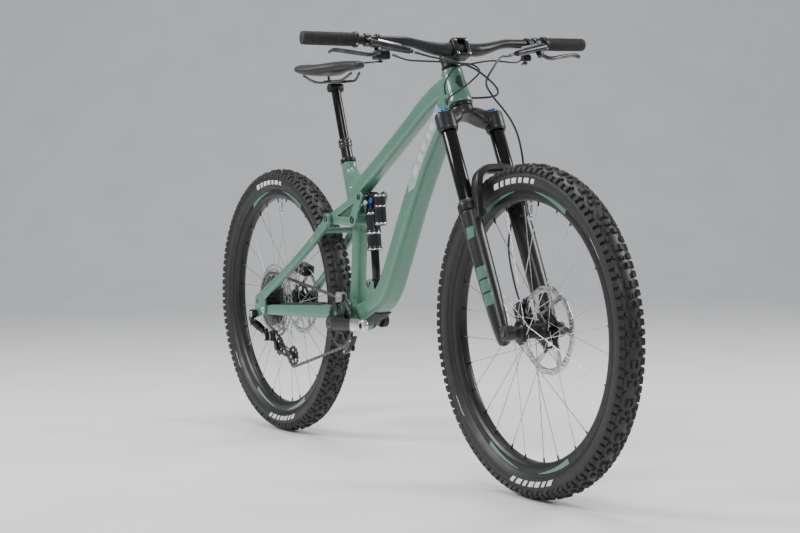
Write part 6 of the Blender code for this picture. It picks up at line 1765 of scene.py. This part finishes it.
def derailleur():
    """Mount, link, clutch knuckle with its bright plate and ears, cage with its arm, and jockey wheels."""
    y = sprocket_y(CHAIN_SPROCKET)
    nose = DERAILLEUR_PIVOT + Vector((-0.012, 0, -0.014))
    link_start = nose + Vector((0.0065, -0.0900, -0.0105))
    knuckle = from_bb(-0.415, 0.2745)
    link_end = knuckle + Vector((-0.011, -0.0700, 0.0140))
    mount = [
        across("mount_barrel", DERAILLEUR_PIVOT, 0.0128, -0.1018, -0.0870, BLACK_SATIN, 44, 0.0012),
        loft(
            "mount_lug",
            [(DERAILLEUR_PIVOT + LEFT * -0.0945, 0.0065, 0.0110, 3),
            (nose + LEFT * -0.0945, 0.0060, 0.0080, 3)],
            BLACK_SATIN, 30, 6,
        ),
    ]
    ear_place = nose.lerp(link_start, 0.45)
    ear_along = Vector((link_start.x - nose.x, 0, link_start.z - nose.z)).normalized()
    mount.append(box("mount_ear", Vector((ear_place.x, -0.0978, ear_place.z)), (0.0270, 0.0046, 0.0125),
        BLACK_SATIN, ear_along, edge=0.0015))
    trim = [fuse("mount_casting", mount, 0.0009, 3, BLACK_SATIN),
        bolt("hanger_bolt", DERAILLEUR_PIVOT, -1, 0.0082, 0.1026, POLISHED, 0.0020)]
    settle(join("derailleur_mount_detail", trim), "seatstays", "derailleur_mount", slot="black_satin")
    middle = link_start.lerp(link_end, 0.5)
    link = [
        loft("link_body", [(link_start.lerp(link_end, -0.10), 0.0096, 0.0050, 4),
        (link_start, 0.0102, 0.0062, 4), (middle, 0.0112, 0.0072, 4), (link_end, 0.0083, 0.0052, 4)],
        BLACK_SATIN, 36, 10),
        loft("link_plate", [(link_start.lerp(link_end, 0.15) - LEFT * 0.0060, 0.0030, 0.0040, 3),
        (middle - LEFT * 0.0070, 0.0036, 0.0060, 3), (link_start.lerp(link_end, 0.85) - LEFT * 0.0045,
        0.0030, 0.0040, 3)], POLISHED, 30, 8),
    ]
    pin_axis = Vector(JOINTS["derailleur_shift"]["axis"])
    for hinge in (LINK_START, LINK_END):
        link.append(cylinder("link_pin", hinge - pin_axis * 0.0095, hinge + pin_axis * 0.0095, 0.0026,
            STEEL, 20, 0.0004))
    settle(join("derailleur_link_detail", link), "derailleur_arm", "derailleur_link", slot="black_satin")
    clutch = [(0, -0.0480), (0.0150, -0.0480), (0.0152, -0.0540), (0.0128, -0.0560), (0.0128, -0.0770),
        (0.0118, -0.0782), (0, -0.0782)]
    end = [revolve("knuckle_barrel", clutch, knuckle, LEFT, BLACK_SATIN, 52, 0.0006)]
    end.append(revolve("knuckle_plate", [(0, -0.0780), (0.0116, -0.0780), (0.0116, -0.0792),
        (0.0090, -0.0799), (0, -0.0799)], knuckle, LEFT, POLISHED, 48, 0.0003))
    end.append(revolve("knuckle_ring", [(0.0125, -0.0620), (0.0140, -0.0620), (0.0140, -0.0660),
        (0.0125, -0.0660)], knuckle, LEFT, ALLOY, 48, 0.0004))
    ear_along = Vector((link_end.x - knuckle.x, 0, link_end.z - knuckle.z)).normalized()
    ear_place = knuckle.lerp(link_end, 0.60)
    for level in (-0.0774, -0.0622):
        end.append(box("knuckle_ear", Vector((ear_place.x, level, ear_place.z)), (0.0270, 0.0036, 0.0130),
            BLACK_SATIN, ear_along, edge=0.0013))
    settle(join("derailleur_knuckle_detail", end), "derailleur_end", "derailleur_knuckle", slot="black_satin")
    along = (TENSION_PULLEY - GUIDE_PULLEY).normalized()
    ahead = along.cross(LEFT)
    length = (TENSION_PULLEY - GUIDE_PULLEY).length
    parts = []
    for level, first, last, widths in ((-0.0075, 0.0130, 0.0128, (0.0128, 0.0135, 0.0108)),
            (0.0075, 0.0096, 0.0096, (0.0080, 0.0084, 0.0080))):
        outline = []
        rows = [(-first, widths[0] * 0.7), (0, widths[0]), (0.030, widths[1]),
            (length * 0.7, widths[1] * 0.8), (length, widths[2]), (length + last, widths[2] * 0.7)]
        for reach, half in rows:
            outline.append((reach, half))
        for reach, half in reversed(rows):
            outline.append((reach, -half))
        window = rounded_outline([(0.016, -0.0050), (length - 0.018, -0.0034), (length - 0.018, 0.0034),
            (0.016, 0.0050)], 0.004)
        turned_edge = [(along.x * u + ahead.x * v, along.z * u + ahead.z * v) for u,
            v in rounded_outline(outline, 0.005)]
        turned_window = [(along.x * u + ahead.x * v, along.z * u + ahead.z * v) for u, v in window]
        parts.append(plate("cage_plate", [turned_edge, turned_window], 0.0018,
            GUIDE_PULLEY + LEFT * (y + level), BLACK_SATIN, 0.0003))
    arm_along = Vector((GUIDE_PULLEY.x - knuckle.x, 0, GUIDE_PULLEY.z - knuckle.z))
    arm_place = knuckle.lerp(GUIDE_PULLEY, 0.5)
    parts.append(box("cage_arm", Vector((arm_place.x, -0.0456, arm_place.z)),
        (arm_along.length + 0.0200, 0.0034, 0.0170), BLACK_SATIN, arm_along.normalized(), edge=0.0012))
    for place in (GUIDE_PULLEY, TENSION_PULLEY):
        parts.append(across("pulley_bolt", place, 0.0030, y - 0.0078, y + 0.0078, DARK_STEEL, 20, 0.0003))
        parts.append(across("pulley_bolt_head", place, 0.0044, y - 0.0090, y - 0.0082, POLISHED, 24, 0.0003))
    settle(join("derailleur_cage_detail", parts), "cage", "derailleur_cage", slot="black_satin")
    pulley("guide_pulley_detail", GUIDE_PULLEY, GUIDE_TEETH, "upper_pulley", "guide_pulley")
    pulley("tension_pulley_detail", TENSION_PULLEY, TENSION_TEETH, "lower_pulley", "tension_pulley")


# Cockpit
BAR_CENTRE = steer(BAR_HEIGHT, BAR_FORWARD)
LEVER_REACH = Vector((0.62, 0, -0.785)).normalized()
LEVER_AXIS = Vector((0.785, 0, 0.62)).normalized()


def bar_point(y):
    """The handlebar's centre line: flat in the clamp, then rising and sweeping back."""
    reach = abs(y)
    rise_part = min(max((reach - 0.045) / 0.105, 0), 1)
    rise = 0.018 * rise_part * rise_part * (3 - 2 * rise_part)
    back = max(reach - 0.045, 0) * 0.130
    lift = max(reach - 0.15, 0) * 0.020
    return BAR_CENTRE + Vector((-back, y, rise + lift))


def cockpit():
    """Forged stem with its faceplate and bolts, top cap and a tapered riser bar."""
    clamp_profile = [
        (STEERER_RADIUS + 0.0002, 0.1145), (0.0193, 0.1145), (0.0195, 0.1160), (0.0195, 0.1525),
        (0.0193, 0.1540),
        (STEERER_RADIUS + 0.0002, 0.1540),
    ]
    body = [
        revolve("stem_clamp", clamp_profile, CROWN_SEAT, STEER_UP, BLACK_SATIN, 64, 0.0010),
        box("stem_neck", steer(BAR_HEIGHT, 0.0270), (0.0230, 0.0290, 0.0290), BLACK_SATIN, STEER_FORWARD,
        edge=0.005),
        box("stem_socket", steer(BAR_HEIGHT, 0.0405), (0.0178, 0.0438, 0.0438), BLACK_SATIN, STEER_FORWARD,
        edge=0.003),
    ]
    stem = cut(
        fuse("stem_forging", body, 0.0011, 3, BLACK_SATIN),
        across("bar_room", BAR_CENTRE, 0.0161, -0.05, 0.05, BLACK_SATIN, 56, 0),
        cylinder("steerer_room", steer(0.10), steer(0.17), STEERER_RADIUS + 0.0003, BLACK_SATIN, 48, 0),
    )
    parts = [stem]
    for level in (0.1215, 0.1465):
        for side in (-1, 1):
            spot = steer(level, -0.0170, side * 0.0085)
            parts.append(cylinder("clamp_lug", spot, spot - STEER_FORWARD * 0.0022, 0.0050, BLACK_SATIN, 24,
                0.0010))
        start = steer(level, -0.0178, 0.0128)
        parts.append(cylinder("clamp_bolt", start, start + LEFT * 0.0012, 0.0032, POLISHED, 20, 0.0004))
    settle(join("stem_detail", parts), "steering", "stem", slot="black_satin")
    faceplate = cut(
        box("face_block", steer(BAR_HEIGHT, 0.0600), (0.0186, 0.0436, 0.0474), BLACK_SATIN, STEER_FORWARD,
        edge=0.0042, segments=4),
        across("face_room", BAR_CENTRE, 0.0161, -0.05, 0.05, BLACK_SATIN, 56, 0),
        box("face_window", steer(BAR_HEIGHT, 0.0650), (0.0400, 0.0200, 0.0350), BLACK_SATIN, STEER_FORWARD,
        edge=0.003),
    )
    parts = [faceplate]
    for side in (-1, 1):
        for level in (-0.0175, 0.0175):
            start = steer(BAR_HEIGHT + level, 0.0686, side * 0.0155)
            parts.append(cylinder("face_bolt", start, start + STEER_FORWARD * 0.0009, 0.0037, POLISHED, 20,
                0.0003))
            parts.append(cylinder("face_socket", start + STEER_FORWARD * 0.0007,
                start + STEER_FORWARD * 0.0011, 0.0018, BLACK_SATIN, 6, 0))
    settle(join("stem_faceplate_detail", parts), "steering", "stem_faceplate", slot="bright_metal")
    cap = [(0, 0.1542), (0.0165, 0.1542), (0.0165, 0.1565), (0.0130, 0.1580), (0.0052, 0.1584),
        (0.0046, 0.1566), (0, 0.1566)]
    settle(revolve("stem_top_cap_detail", cap, CROWN_SEAT, STEER_UP, BLACK_SATIN, 56, 0.0006), "steering",
        "stem_top_cap", slot="black_satin")
    reach = BAR_HALF - 0.0050
    count = 121
    points = []
    radii = []
    for k in range(count):
        y = -reach + 2 * reach * k / (count - 1)
        taper = min(max((abs(y) - 0.045) / 0.080, 0), 1)
        taper = taper * taper * (3 - 2 * taper)
        points.append(bar_point(y))
        radii.append((0.0158 + (BAR_RADIUS - 0.0001 - 0.0158) * taper) / 0.0159)
    bar = sweep("handlebar_tube", points, 0.0159, CROWN_BLACK, 40, radii)
    bar.name = "handlebar_detail"
    settle(bar, "steering", "handlebar", slot="black_satin")
    for side, word in ((-1, "right"), (1, "left")):
        controls(side, word)


def lever_pivot(side):
    return bar_point(side * BRAKE_CLAMP_Y) + Vector((0.0400, -side * 0.010, -0.0275))


def small_lever_pivot(side):
    drop = 0.0485 if side < 0 else 0.0455
    return bar_point(side * CONTROL_CLAMP_Y) + Vector((0.002, -side * 0.006, -drop))


def grip(side, word):
    """A ribbed lock-on grip: a clamp collar, raised pads and a flanged end plug."""
    end = bar_point(side * (BAR_HALF - 0.0018))
    outward = (bar_point(side * BAR_HALF) - bar_point(side * (BAR_HALF - 0.10))).normalized()
    start = end - outward * GRIP_LENGTH
    length = GRIP_LENGTH
    inner = BAR_RADIUS + 0.0004
    sleeve = [(inner, 0.0105), (0.0150, 0.0105)]
    count = 24
    for k in range(count):
        near = 0.0150 + (length - 0.022) * k / count
        far = near + (length - 0.022) / count * 0.62
        sleeve += [(0.0157, near), (0.0157, far), (0.0149, far + 0.0004),
            (0.0149, near + (length - 0.022) / count)]
    sleeve += [(0.0155, length - 0.004), (0.0150, length - 0.0006), (inner, length - 0.0006)]
    parts = [revolve("grip_sleeve", sleeve, start, outward, GRIP_RUBBER, 56, 0, 50)]
    collar = [(inner, 0.0002), (0.0172, 0.0002), (0.0184, 0.0014), (0.0184, 0.0092), (0.0172, 0.0104),
        (inner, 0.0104)]
    parts.append(revolve("grip_collar", collar, start, outward, BLACK_SATIN, 56, 0.0006))
    facing = Vector((0.8, 0, -0.6))
    aside = (facing - outward * outward.dot(facing)).normalized()
    spot = start + outward * 0.0053 + aside * 0.0176
    parts.append(cylinder("grip_bolt", spot, spot + aside * 0.0008, 0.0026, POLISHED, 16, 0.0002))
    plug = [(0, length - 0.0024), (0.0138, length - 0.0024), (0.0138, length - 0.0008), (0.0120, length),
        (0, length)]
    parts.append(revolve("grip_plug", plug, start, outward, BLACK_PLASTIC, 44, 0.0003))
    settle(join(f"grip_{word}_detail", parts), "steering", f"grip_{word}", slot="black_rubber")
    return outward


def controls(side, word):
    """Grip, brake master with its lever, and the thumb control of one side."""
    outward = grip(side, word)
    inner = BAR_RADIUS + 0.0004
    centre = bar_point(side * BRAKE_CLAMP_Y)
    body_start = bar_point(side * MASTER_END_Y) + Vector((0.040, 0, -0.026))
    body_end = centre + Vector((0.031, side * 0.008, -0.009))
    along = (body_end - body_start).normalized()
    neck_end = centre + Vector((0.030, -side * 0.004, -0.010))
    casting = [
        cylinder("master_body", body_start + along * 0.006, body_end, 0.0074, BLACK_SATIN, 40, 0.0016,
        0.0102),
        cylinder("master_neck", centre + (neck_end - centre) * 0.42, neck_end, 0.0088, BLACK_SATIN, 32,
        0.0010),
        revolve("master_clamp", [(inner, -0.0058), (0.0158, -0.0058), (0.0158, 0.0058), (inner, 0.0058)],
        centre, outward, BLACK_SATIN, 44, 0.0010),
    ]
    skin = fuse("master_casting", casting, 0.0010, 3, GRAPHITE)
    pivot = lever_pivot(side)
    skin = cut(
        skin,
        cylinder("lever_room", pivot - LEVER_AXIS * 0.0048, pivot + LEVER_AXIS * 0.0048, 0.0087,
        BLACK_SATIN, 40, 0),
        cylinder("bar_bore", centre - outward * 0.02, centre + outward * 0.02, inner, BLACK_SATIN, 44, 0),
    )
    parts = [skin]
    parts.append(cylinder("hose_nut", body_start - along * 0.0001, body_start + along * 0.0080, 0.0050,
        BLACK_SATIN, 6, 0.0005))
    parts.append(cylinder("hose_boot", body_start + along * 0.0070, body_start + along * 0.0105, 0.0064,
        POLISHED, 32, 0.0006))
    lid_up = (UP - along * along.z).normalized()
    lid = body_start.lerp(body_end, 0.55) + lid_up * 0.0078
    parts.append(box("reservoir_lid", lid, (0.0560, 0.0125, 0.0026), POLISHED, along, edge=0.0008))
    for level in (-0.0064, 0.0064):
        flange = pivot + LEVER_AXIS * level
        parts.append(
            loft("lever_tab", [(flange - LEVER_REACH * 0.0225, 0.0062, 0.0013, 3),
            (flange + LEVER_REACH * 0.0048, 0.0050, 0.0013, 3)], GRAPHITE, 28, 6)
        )
        parts.append(cylinder("pin_head", flange, flange + LEVER_AXIS * copysign(0.0017, level), 0.0027,
            POLISHED, 20, 0.0003))
    bolt_place = centre + Vector((-0.0130, 0, 0.0040))
    parts.append(cylinder("clamp_bolt", bolt_place, bolt_place + Vector((-0.0024, 0, 0.0006)), 0.0026,
        POLISHED, 16, 0.0003))
    settle(join(f"brake_master_{word}_detail", parts), "steering", f"brake_master_{word}", slot="black_satin")
    hub = cylinder("lever_hub", pivot - LEVER_AXIS * 0.0043, pivot + LEVER_AXIS * 0.0043, 0.0060, GRAPHITE,
        36, 0.0006)
    blade = loft(
        "lever_blade",
        [
            (pivot, 0.0036, 0.0045, 3), (pivot + outward * 0.026 + LEVER_REACH * 0.012, 0.0044, 0.0044, 3),
            (pivot + outward * 0.070 + LEVER_REACH * 0.006, 0.0059, 0.0034, 3),
            (pivot + outward * 0.108 + LEVER_REACH * 0.001, 0.0059, 0.0034, 3),
            (pivot + outward * 0.1235 + LEVER_REACH * 0.008, 0.0048, 0.0028, 3),
        ],
        GRAPHITE, 32, 14, LEVER_AXIS,
    )
    settle(join(f"brake_lever_{word}_detail", [hub, blade]), f"{word}_lever", f"brake_lever_{word}",
        slot="bright_metal")
    thumb_control(side, outward)


def thumb_control(side, outward):
    """The gear shifter on the right, or the post's smaller remote on the left."""
    inner = BAR_RADIUS + 0.0004
    grip_point = bar_point(side * CONTROL_CLAMP_Y)
    below = grip_point + Vector((0.006, 0, -0.034))
    size = (0.034, 0.036, 0.022) if side < 0 else (0.020, 0.022, 0.016)
    label = "shifter_body" if side < 0 else "dropper_remote_body"
    middle = below - outward * 0.006
    casting = [
        revolve("control_clamp", [(inner, -0.0039), (0.0148, -0.0039), (0.0148, 0.0039), (inner, 0.0039)],
        grip_point, outward, BLACK_SATIN, 44, 0.0006),
        box("control_pod", middle, (size[0] * 0.96, size[1] * 0.96, size[2] * 0.96), BLACK_SATIN,
        edge=size[2] * 0.28, segments=4),
        cylinder("control_neck", grip_point - UP * 0.0130, below, 0.0054, BLACK_SATIN, 28, 0),
    ]
    skin = cut(
        fuse("control_casting", casting, 0.0009, 3, BLACK_SATIN),
        cylinder("bar_bore", grip_point - outward * 0.02, grip_point + outward * 0.02, inner, BLACK_SATIN,
        44, 0),
    )
    parts = [skin]
    cover = middle - UP * (size[2] * 0.48) - outward * 0.002
    hinge = small_lever_pivot(side)
    parts.append(cylinder("pivot_post", Vector((hinge.x, hinge.y, below.z)), hinge - UP * 0.0032, 0.0030,
        DARK_STEEL, 20, 0.0004))
    parts.append(cylinder("cover_screw", cover, cover - UP * 0.0006, size[2] * 0.16, POLISHED, 24, 0.0003))
    settle(join(f"{label}_detail", parts), "steering", label, slot="black_satin")
    node = "shifter_lever" if side < 0 else "dropper_remote_lever"
    knob_piece = cylinder("thumb_hub", hinge - UP * 0.0019, hinge + UP * 0.0019, 0.0064, BLACK_SATIN, 32,
        0.0005)
    paddle = loft(
        "thumb_paddle",
        [
            (hinge, 0.0018, 0.0050, 3), (hinge + Vector((-0.020, side * 0.010, -0.0005)), 0.0018, 0.0050, 3),
            (hinge + Vector((-0.034, side * 0.020, -0.001)), 0.0022, 0.0079, 3),
        ],
        BLACK_SATIN, 28, 10, UP,
    )
    body = "gear_thumb" if side < 0 else "post_thumb"
    settle(join(f"{node}_detail", [knob_piece, paddle]), body, node, slot="black_satin")


def hoses():
    """Brake hoses and cables with their end ferrules."""
    right_end = bar_point(-MASTER_END_Y) + Vector((0.0405, 0.0040, -0.0275))
    left_end = bar_point(MASTER_END_Y) + Vector((0.0405, -0.0040, -0.0275))
    brake_front = [
        left_end, left_end + Vector((0.012, -0.026, -0.006)), steer(0.096, 0.092, 0.082),
        steer(0.068, 0.094, 0.052),
        steer(0.032, 0.086, 0.026), steer(-0.002, 0.085, 0.034), steer(-0.034, 0.082, 0.055),
        steer(-0.066, 0.077, 0.074), steer(-0.104, 0.069, 0.086), steer(-0.158, 0.054, 0.0910),
        steer(-0.182, 0.032, 0.0950), steer(-0.208, 0.006, 0.0945), steer(-0.245, -0.015, 0.0840),
        steer(-0.290, -0.026, 0.064), steer(-0.345, -0.032, 0.0470), steer(-0.420, -0.034, 0.0410),
        steer(-0.4620, -0.0340, 0.0420),
    ]
    brake_rear = [
        right_end, right_end + Vector((0.010, 0.035, -0.010)), steer(0.082, 0.094, -0.055),
        steer(0.058, 0.104, -0.010),
        steer(0.022, 0.105, 0.028), steer(0.006, 0.094, 0.046), steer(0.010, 0.062, 0.058),
        steer(0.024, 0.026, 0.048),
        steer(0.036, 0.0020, 0.0345),
    ]
    shift = [
        bar_point(-CONTROL_CLAMP_Y) + Vector((0.0235, 0.0262, -0.0340)),
        bar_point(-0.150) + Vector((0.038, 0, -0.046)),
        steer(0.093, 0.071, -0.090), steer(0.090, 0.072, -0.040), steer(0.082, 0.078, 0.008),
        steer(0.066, 0.074, 0.024), steer(0.050, 0.058, 0.006), steer(0.036, 0.046, -0.018),
        steer(0.026, 0.026, -0.040), steer(0.024, 0.0010, -0.0370),
    ]
    dropper = [
        bar_point(CONTROL_CLAMP_Y) + Vector((0.0165, -0.0200, -0.0340)),
        bar_point(0.150) + Vector((0.028, 0, -0.046)),
        steer(0.106, 0.056, 0.080), steer(0.102, 0.048, 0.030), steer(0.095, 0.044, -0.012),
        steer(0.080, 0.034, -0.032),
        steer(0.062, 0.016, -0.0400), steer(0.044, 0.0020, -0.0350),
    ]
    for node, route, radius in (
        ("front_brake_hose", brake_front, 0.0025), ("rear_brake_hose", brake_rear, 0.0025),
        ("shift_cable", shift, 0.0021), ("dropper_cable", dropper, 0.0021),
    ):
        points = smooth_path(route, 140)
        hose = sweep("hose", points, radius, HOSE, 16)
        ferrule = cylinder("ferrule", points[0], points[5], radius * 1.45, DARK_STEEL, 20, 0.0004)
        piece = join(f"{node}_detail", [hose, ferrule])
        if node == "front_brake_hose":
            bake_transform(piece)
        else:
            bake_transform(piece)
        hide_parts(node)


# Seat
def seat():
    """Inner post with its round head, bent rails with their clamp, and the saddle."""
    top = 0.2060
    head = seat_post(top + 0.004)
    parts = [
        revolve("post_tube", [(0, -0.0058), (0.0127, -0.0058), (0.0127, top - 0.006), (0.0119, top - 0.002),
        (0, top - 0.002)], SEAT_TUBE_TOP, SEAT_UP, STANCHION, 56, 0.0004),
        across("post_head", head, 0.0119, -0.0198, 0.0198, BLACK_SATIN, 48, 0.0012),
    ]
    settle(join("dropper_stanchion_detail", parts), "seat_post", "dropper_stanchion", slot="black_gloss")
    rail_z = head.z + 0.0162
    rails = []
    for side in (-1, 1):
        route = [
            (head.x + 0.112, side * 0.012, rail_z + 0.017), (head.x + 0.075, side * 0.020, rail_z + 0.001),
            (head.x + 0.030, side * 0.022, rail_z), (head.x - 0.045, side * 0.022, rail_z),
            (head.x - 0.085, side * 0.028, rail_z + 0.008), (head.x - 0.112, side * 0.038, rail_z + 0.0230),
        ]
        rails.append(sweep("rail", smooth_path(route, 60), 0.0034, DARK_STEEL, 20))
    clamp = Vector((head.x, 0, rail_z + 0.0010))
    rails.append(box("rail_clamp", clamp, (0.0356, 0.0556, 0.0066), BLACK_SATIN, edge=0.0020))
    settle(join("saddle_rails_detail", rails), "seat_post", "saddle_rails", slot="dark_metal")
    saddle(from_bb(0.044, 1.000).x)


def saddle(nose):
    """The padded top as one closed skin with a relief channel and a raised seam along each side."""
    length = 0.264
    rows = []
    for part, half_width, half_depth, height in (
        (0.00, 0.0100, 0.0055, 1.0085), (0.05, 0.0175, 0.0105, 1.0090), (0.15, 0.0205, 0.0132, 1.0100),
        (0.40, 0.0260, 0.0152, 1.0100), (0.58, 0.0430, 0.0158, 1.0085), (0.75, 0.0620, 0.0165, 1.0065),
        (0.90, 0.0700, 0.0160, 1.0090), (0.97, 0.0640, 0.0130, 1.0130), (1.00, 0.0500, 0.0065, 1.0160),
    ):
        rows.append(Vector((nose - length * part, half_width, half_depth, height)))
    dense = smooth_path(rows, 97)
    shape = bmesh.new()
    loops = []
    sides = 64
    for i, row in enumerate(dense):
        x, w, d, z = row
        part = i / (len(dense) - 1)
        ring = []
        for k in range(sides):
            angle = tau * k / sides
            c = cos(angle)
            s = sin(angle)
            y = w * copysign(abs(c) ** 0.80, c)
            up = d * copysign(abs(s) ** 0.80, s)
            if s > 0:
                channel = max(1 - (abs(y) / 0.012) ** 2, 0) * min(max((part - 0.18) / 0.12, 0),
                    1) * min(max((0.92 - part) / 0.12, 0), 1)
                up -= 0.0034 * channel
            else:
                up *= 0.92
            ring.append(shape.verts.new((x, y, z + up)))
        loops.append(ring)
    skin_loops(shape, loops)
    parts = [from_shape("saddle_cover_skin", shape, SADDLE_COVER, 60)]
    for side in (-1, 1):
        seam = []
        for k in range(50):
            row = dense[int(4 + k * 88 / 49)]
            angle = radians(42)
            y = row[1] * cos(angle) ** 0.80
            seam.append(Vector((row[0], side * y, row[3] + row[2] * sin(angle) ** 0.80 + 0.0001)))
        parts.append(sweep("seam", seam, 0.0007, SADDLE_COVER, 8))
    settle(join("saddle_detail", parts), "seat_post", "saddle", slot="saddle_cover")


# Studio
def studio():
    """A plain pale floor with a curved backdrop, soft lights and the camera."""
    shape = bmesh.new()
    rows = []
    for k in range(41):
        if k < 14:
            out = -9.0 + k * 1.0
            height = 0.0
        elif k < 31:
            angle = (k - 14) / 16 * pi / 2
            out = 5.0 + 3.0 * sin(angle)
            height = 3.0 * (1 - cos(angle))
        else:
            out = 8.0
            height = 3.0 + (k - 30) * 0.7
        along = Vector((-sin(VIEW_AZIMUTH), cos(VIEW_AZIMUTH), 0)) * out
        wide = Vector((cos(VIEW_AZIMUTH), sin(VIEW_AZIMUTH), 0))
        rows.append([shape.verts.new(along + wide * (j * 2.0 - 16.0) + UP * height) for j in range(17)])
    for low, high in zip(rows, rows[1:]):
        for j in range(16):
            shape.faces.new((low[j], low[j + 1], high[j + 1], high[j]))
    floor = from_shape("studio_floor", shape, FLOOR, 60)
    for name, place, aim, size, power in (
        ("key_light", (-1.5, -3.4, 3.0), (0.0, 0.0, 0.5), 1.8, 165.0),
        ("front_light", (3.6, -1.6, 2.6), (0.3, 0.0, 0.5), 1.8, 48.0),
        ("top_light", (-0.3, 0.2, 3.8), (0.0, 0.0, 0.3), 2.4, 90.0),
        ("rim_light", (1.6, 3.2, 2.4), (0.2, 0.0, 0.5), 1.6, 85.0),
    ):
        lamp = bpy.data.lights.new(name, "AREA")
        lamp.shape = "DISK"
        lamp.size = size
        lamp.energy = power
        lamp_object = bpy.data.objects.new(name, lamp)
        direction = Vector(aim) - Vector(place)
        lamp_object.matrix_world = Matrix.Translation(place) @ direction.to_track_quat("-Z",
            "Y").to_matrix().to_4x4()
        bpy.context.scene.collection.objects.link(lamp_object)
    world = bpy.data.worlds.new("studio_air")
    world.use_nodes = True
    world.node_tree.nodes["Background"].inputs["Color"].default_value = (0.92, 0.95, 1.0, 1)
    world.node_tree.nodes["Background"].inputs["Strength"].default_value = 0.42
    bpy.context.scene.world = world
    back = Vector(
        (sin(VIEW_AZIMUTH) * cos(VIEW_ELEVATION), -cos(VIEW_AZIMUTH) * cos(VIEW_ELEVATION),
        sin(VIEW_ELEVATION))
    )
    right = Vector((cos(VIEW_AZIMUTH), sin(VIEW_AZIMUTH), 0))
    over = back.cross(right)
    rolled_right = right * cos(VIEW_ROLL) - over * sin(VIEW_ROLL)
    rolled_up = right * sin(VIEW_ROLL) + over * cos(VIEW_ROLL)
    turn = Matrix((rolled_right, rolled_up, back)).transposed().to_4x4()
    lens = bpy.data.cameras.new("camera")
    lens.lens = VIEW_LENS
    lens.sensor_width = 36.0
    camera = bpy.data.objects.new("camera", lens)
    camera.matrix_world = Matrix.Translation(VIEW_TARGET + back * VIEW_DISTANCE) @ turn
    bpy.context.scene.collection.objects.link(camera)
    bpy.context.scene.camera = camera



# The whole bike, then the studio
wheels()
main_frame()
frame_fittings()
rocker()
chainstay()
seatstay()
shock()
fork()
calipers()
cassette()
chain()
cranks()
chainring()
chain_guide()
derailleur()
cockpit()
hoses()
seat()
studio()
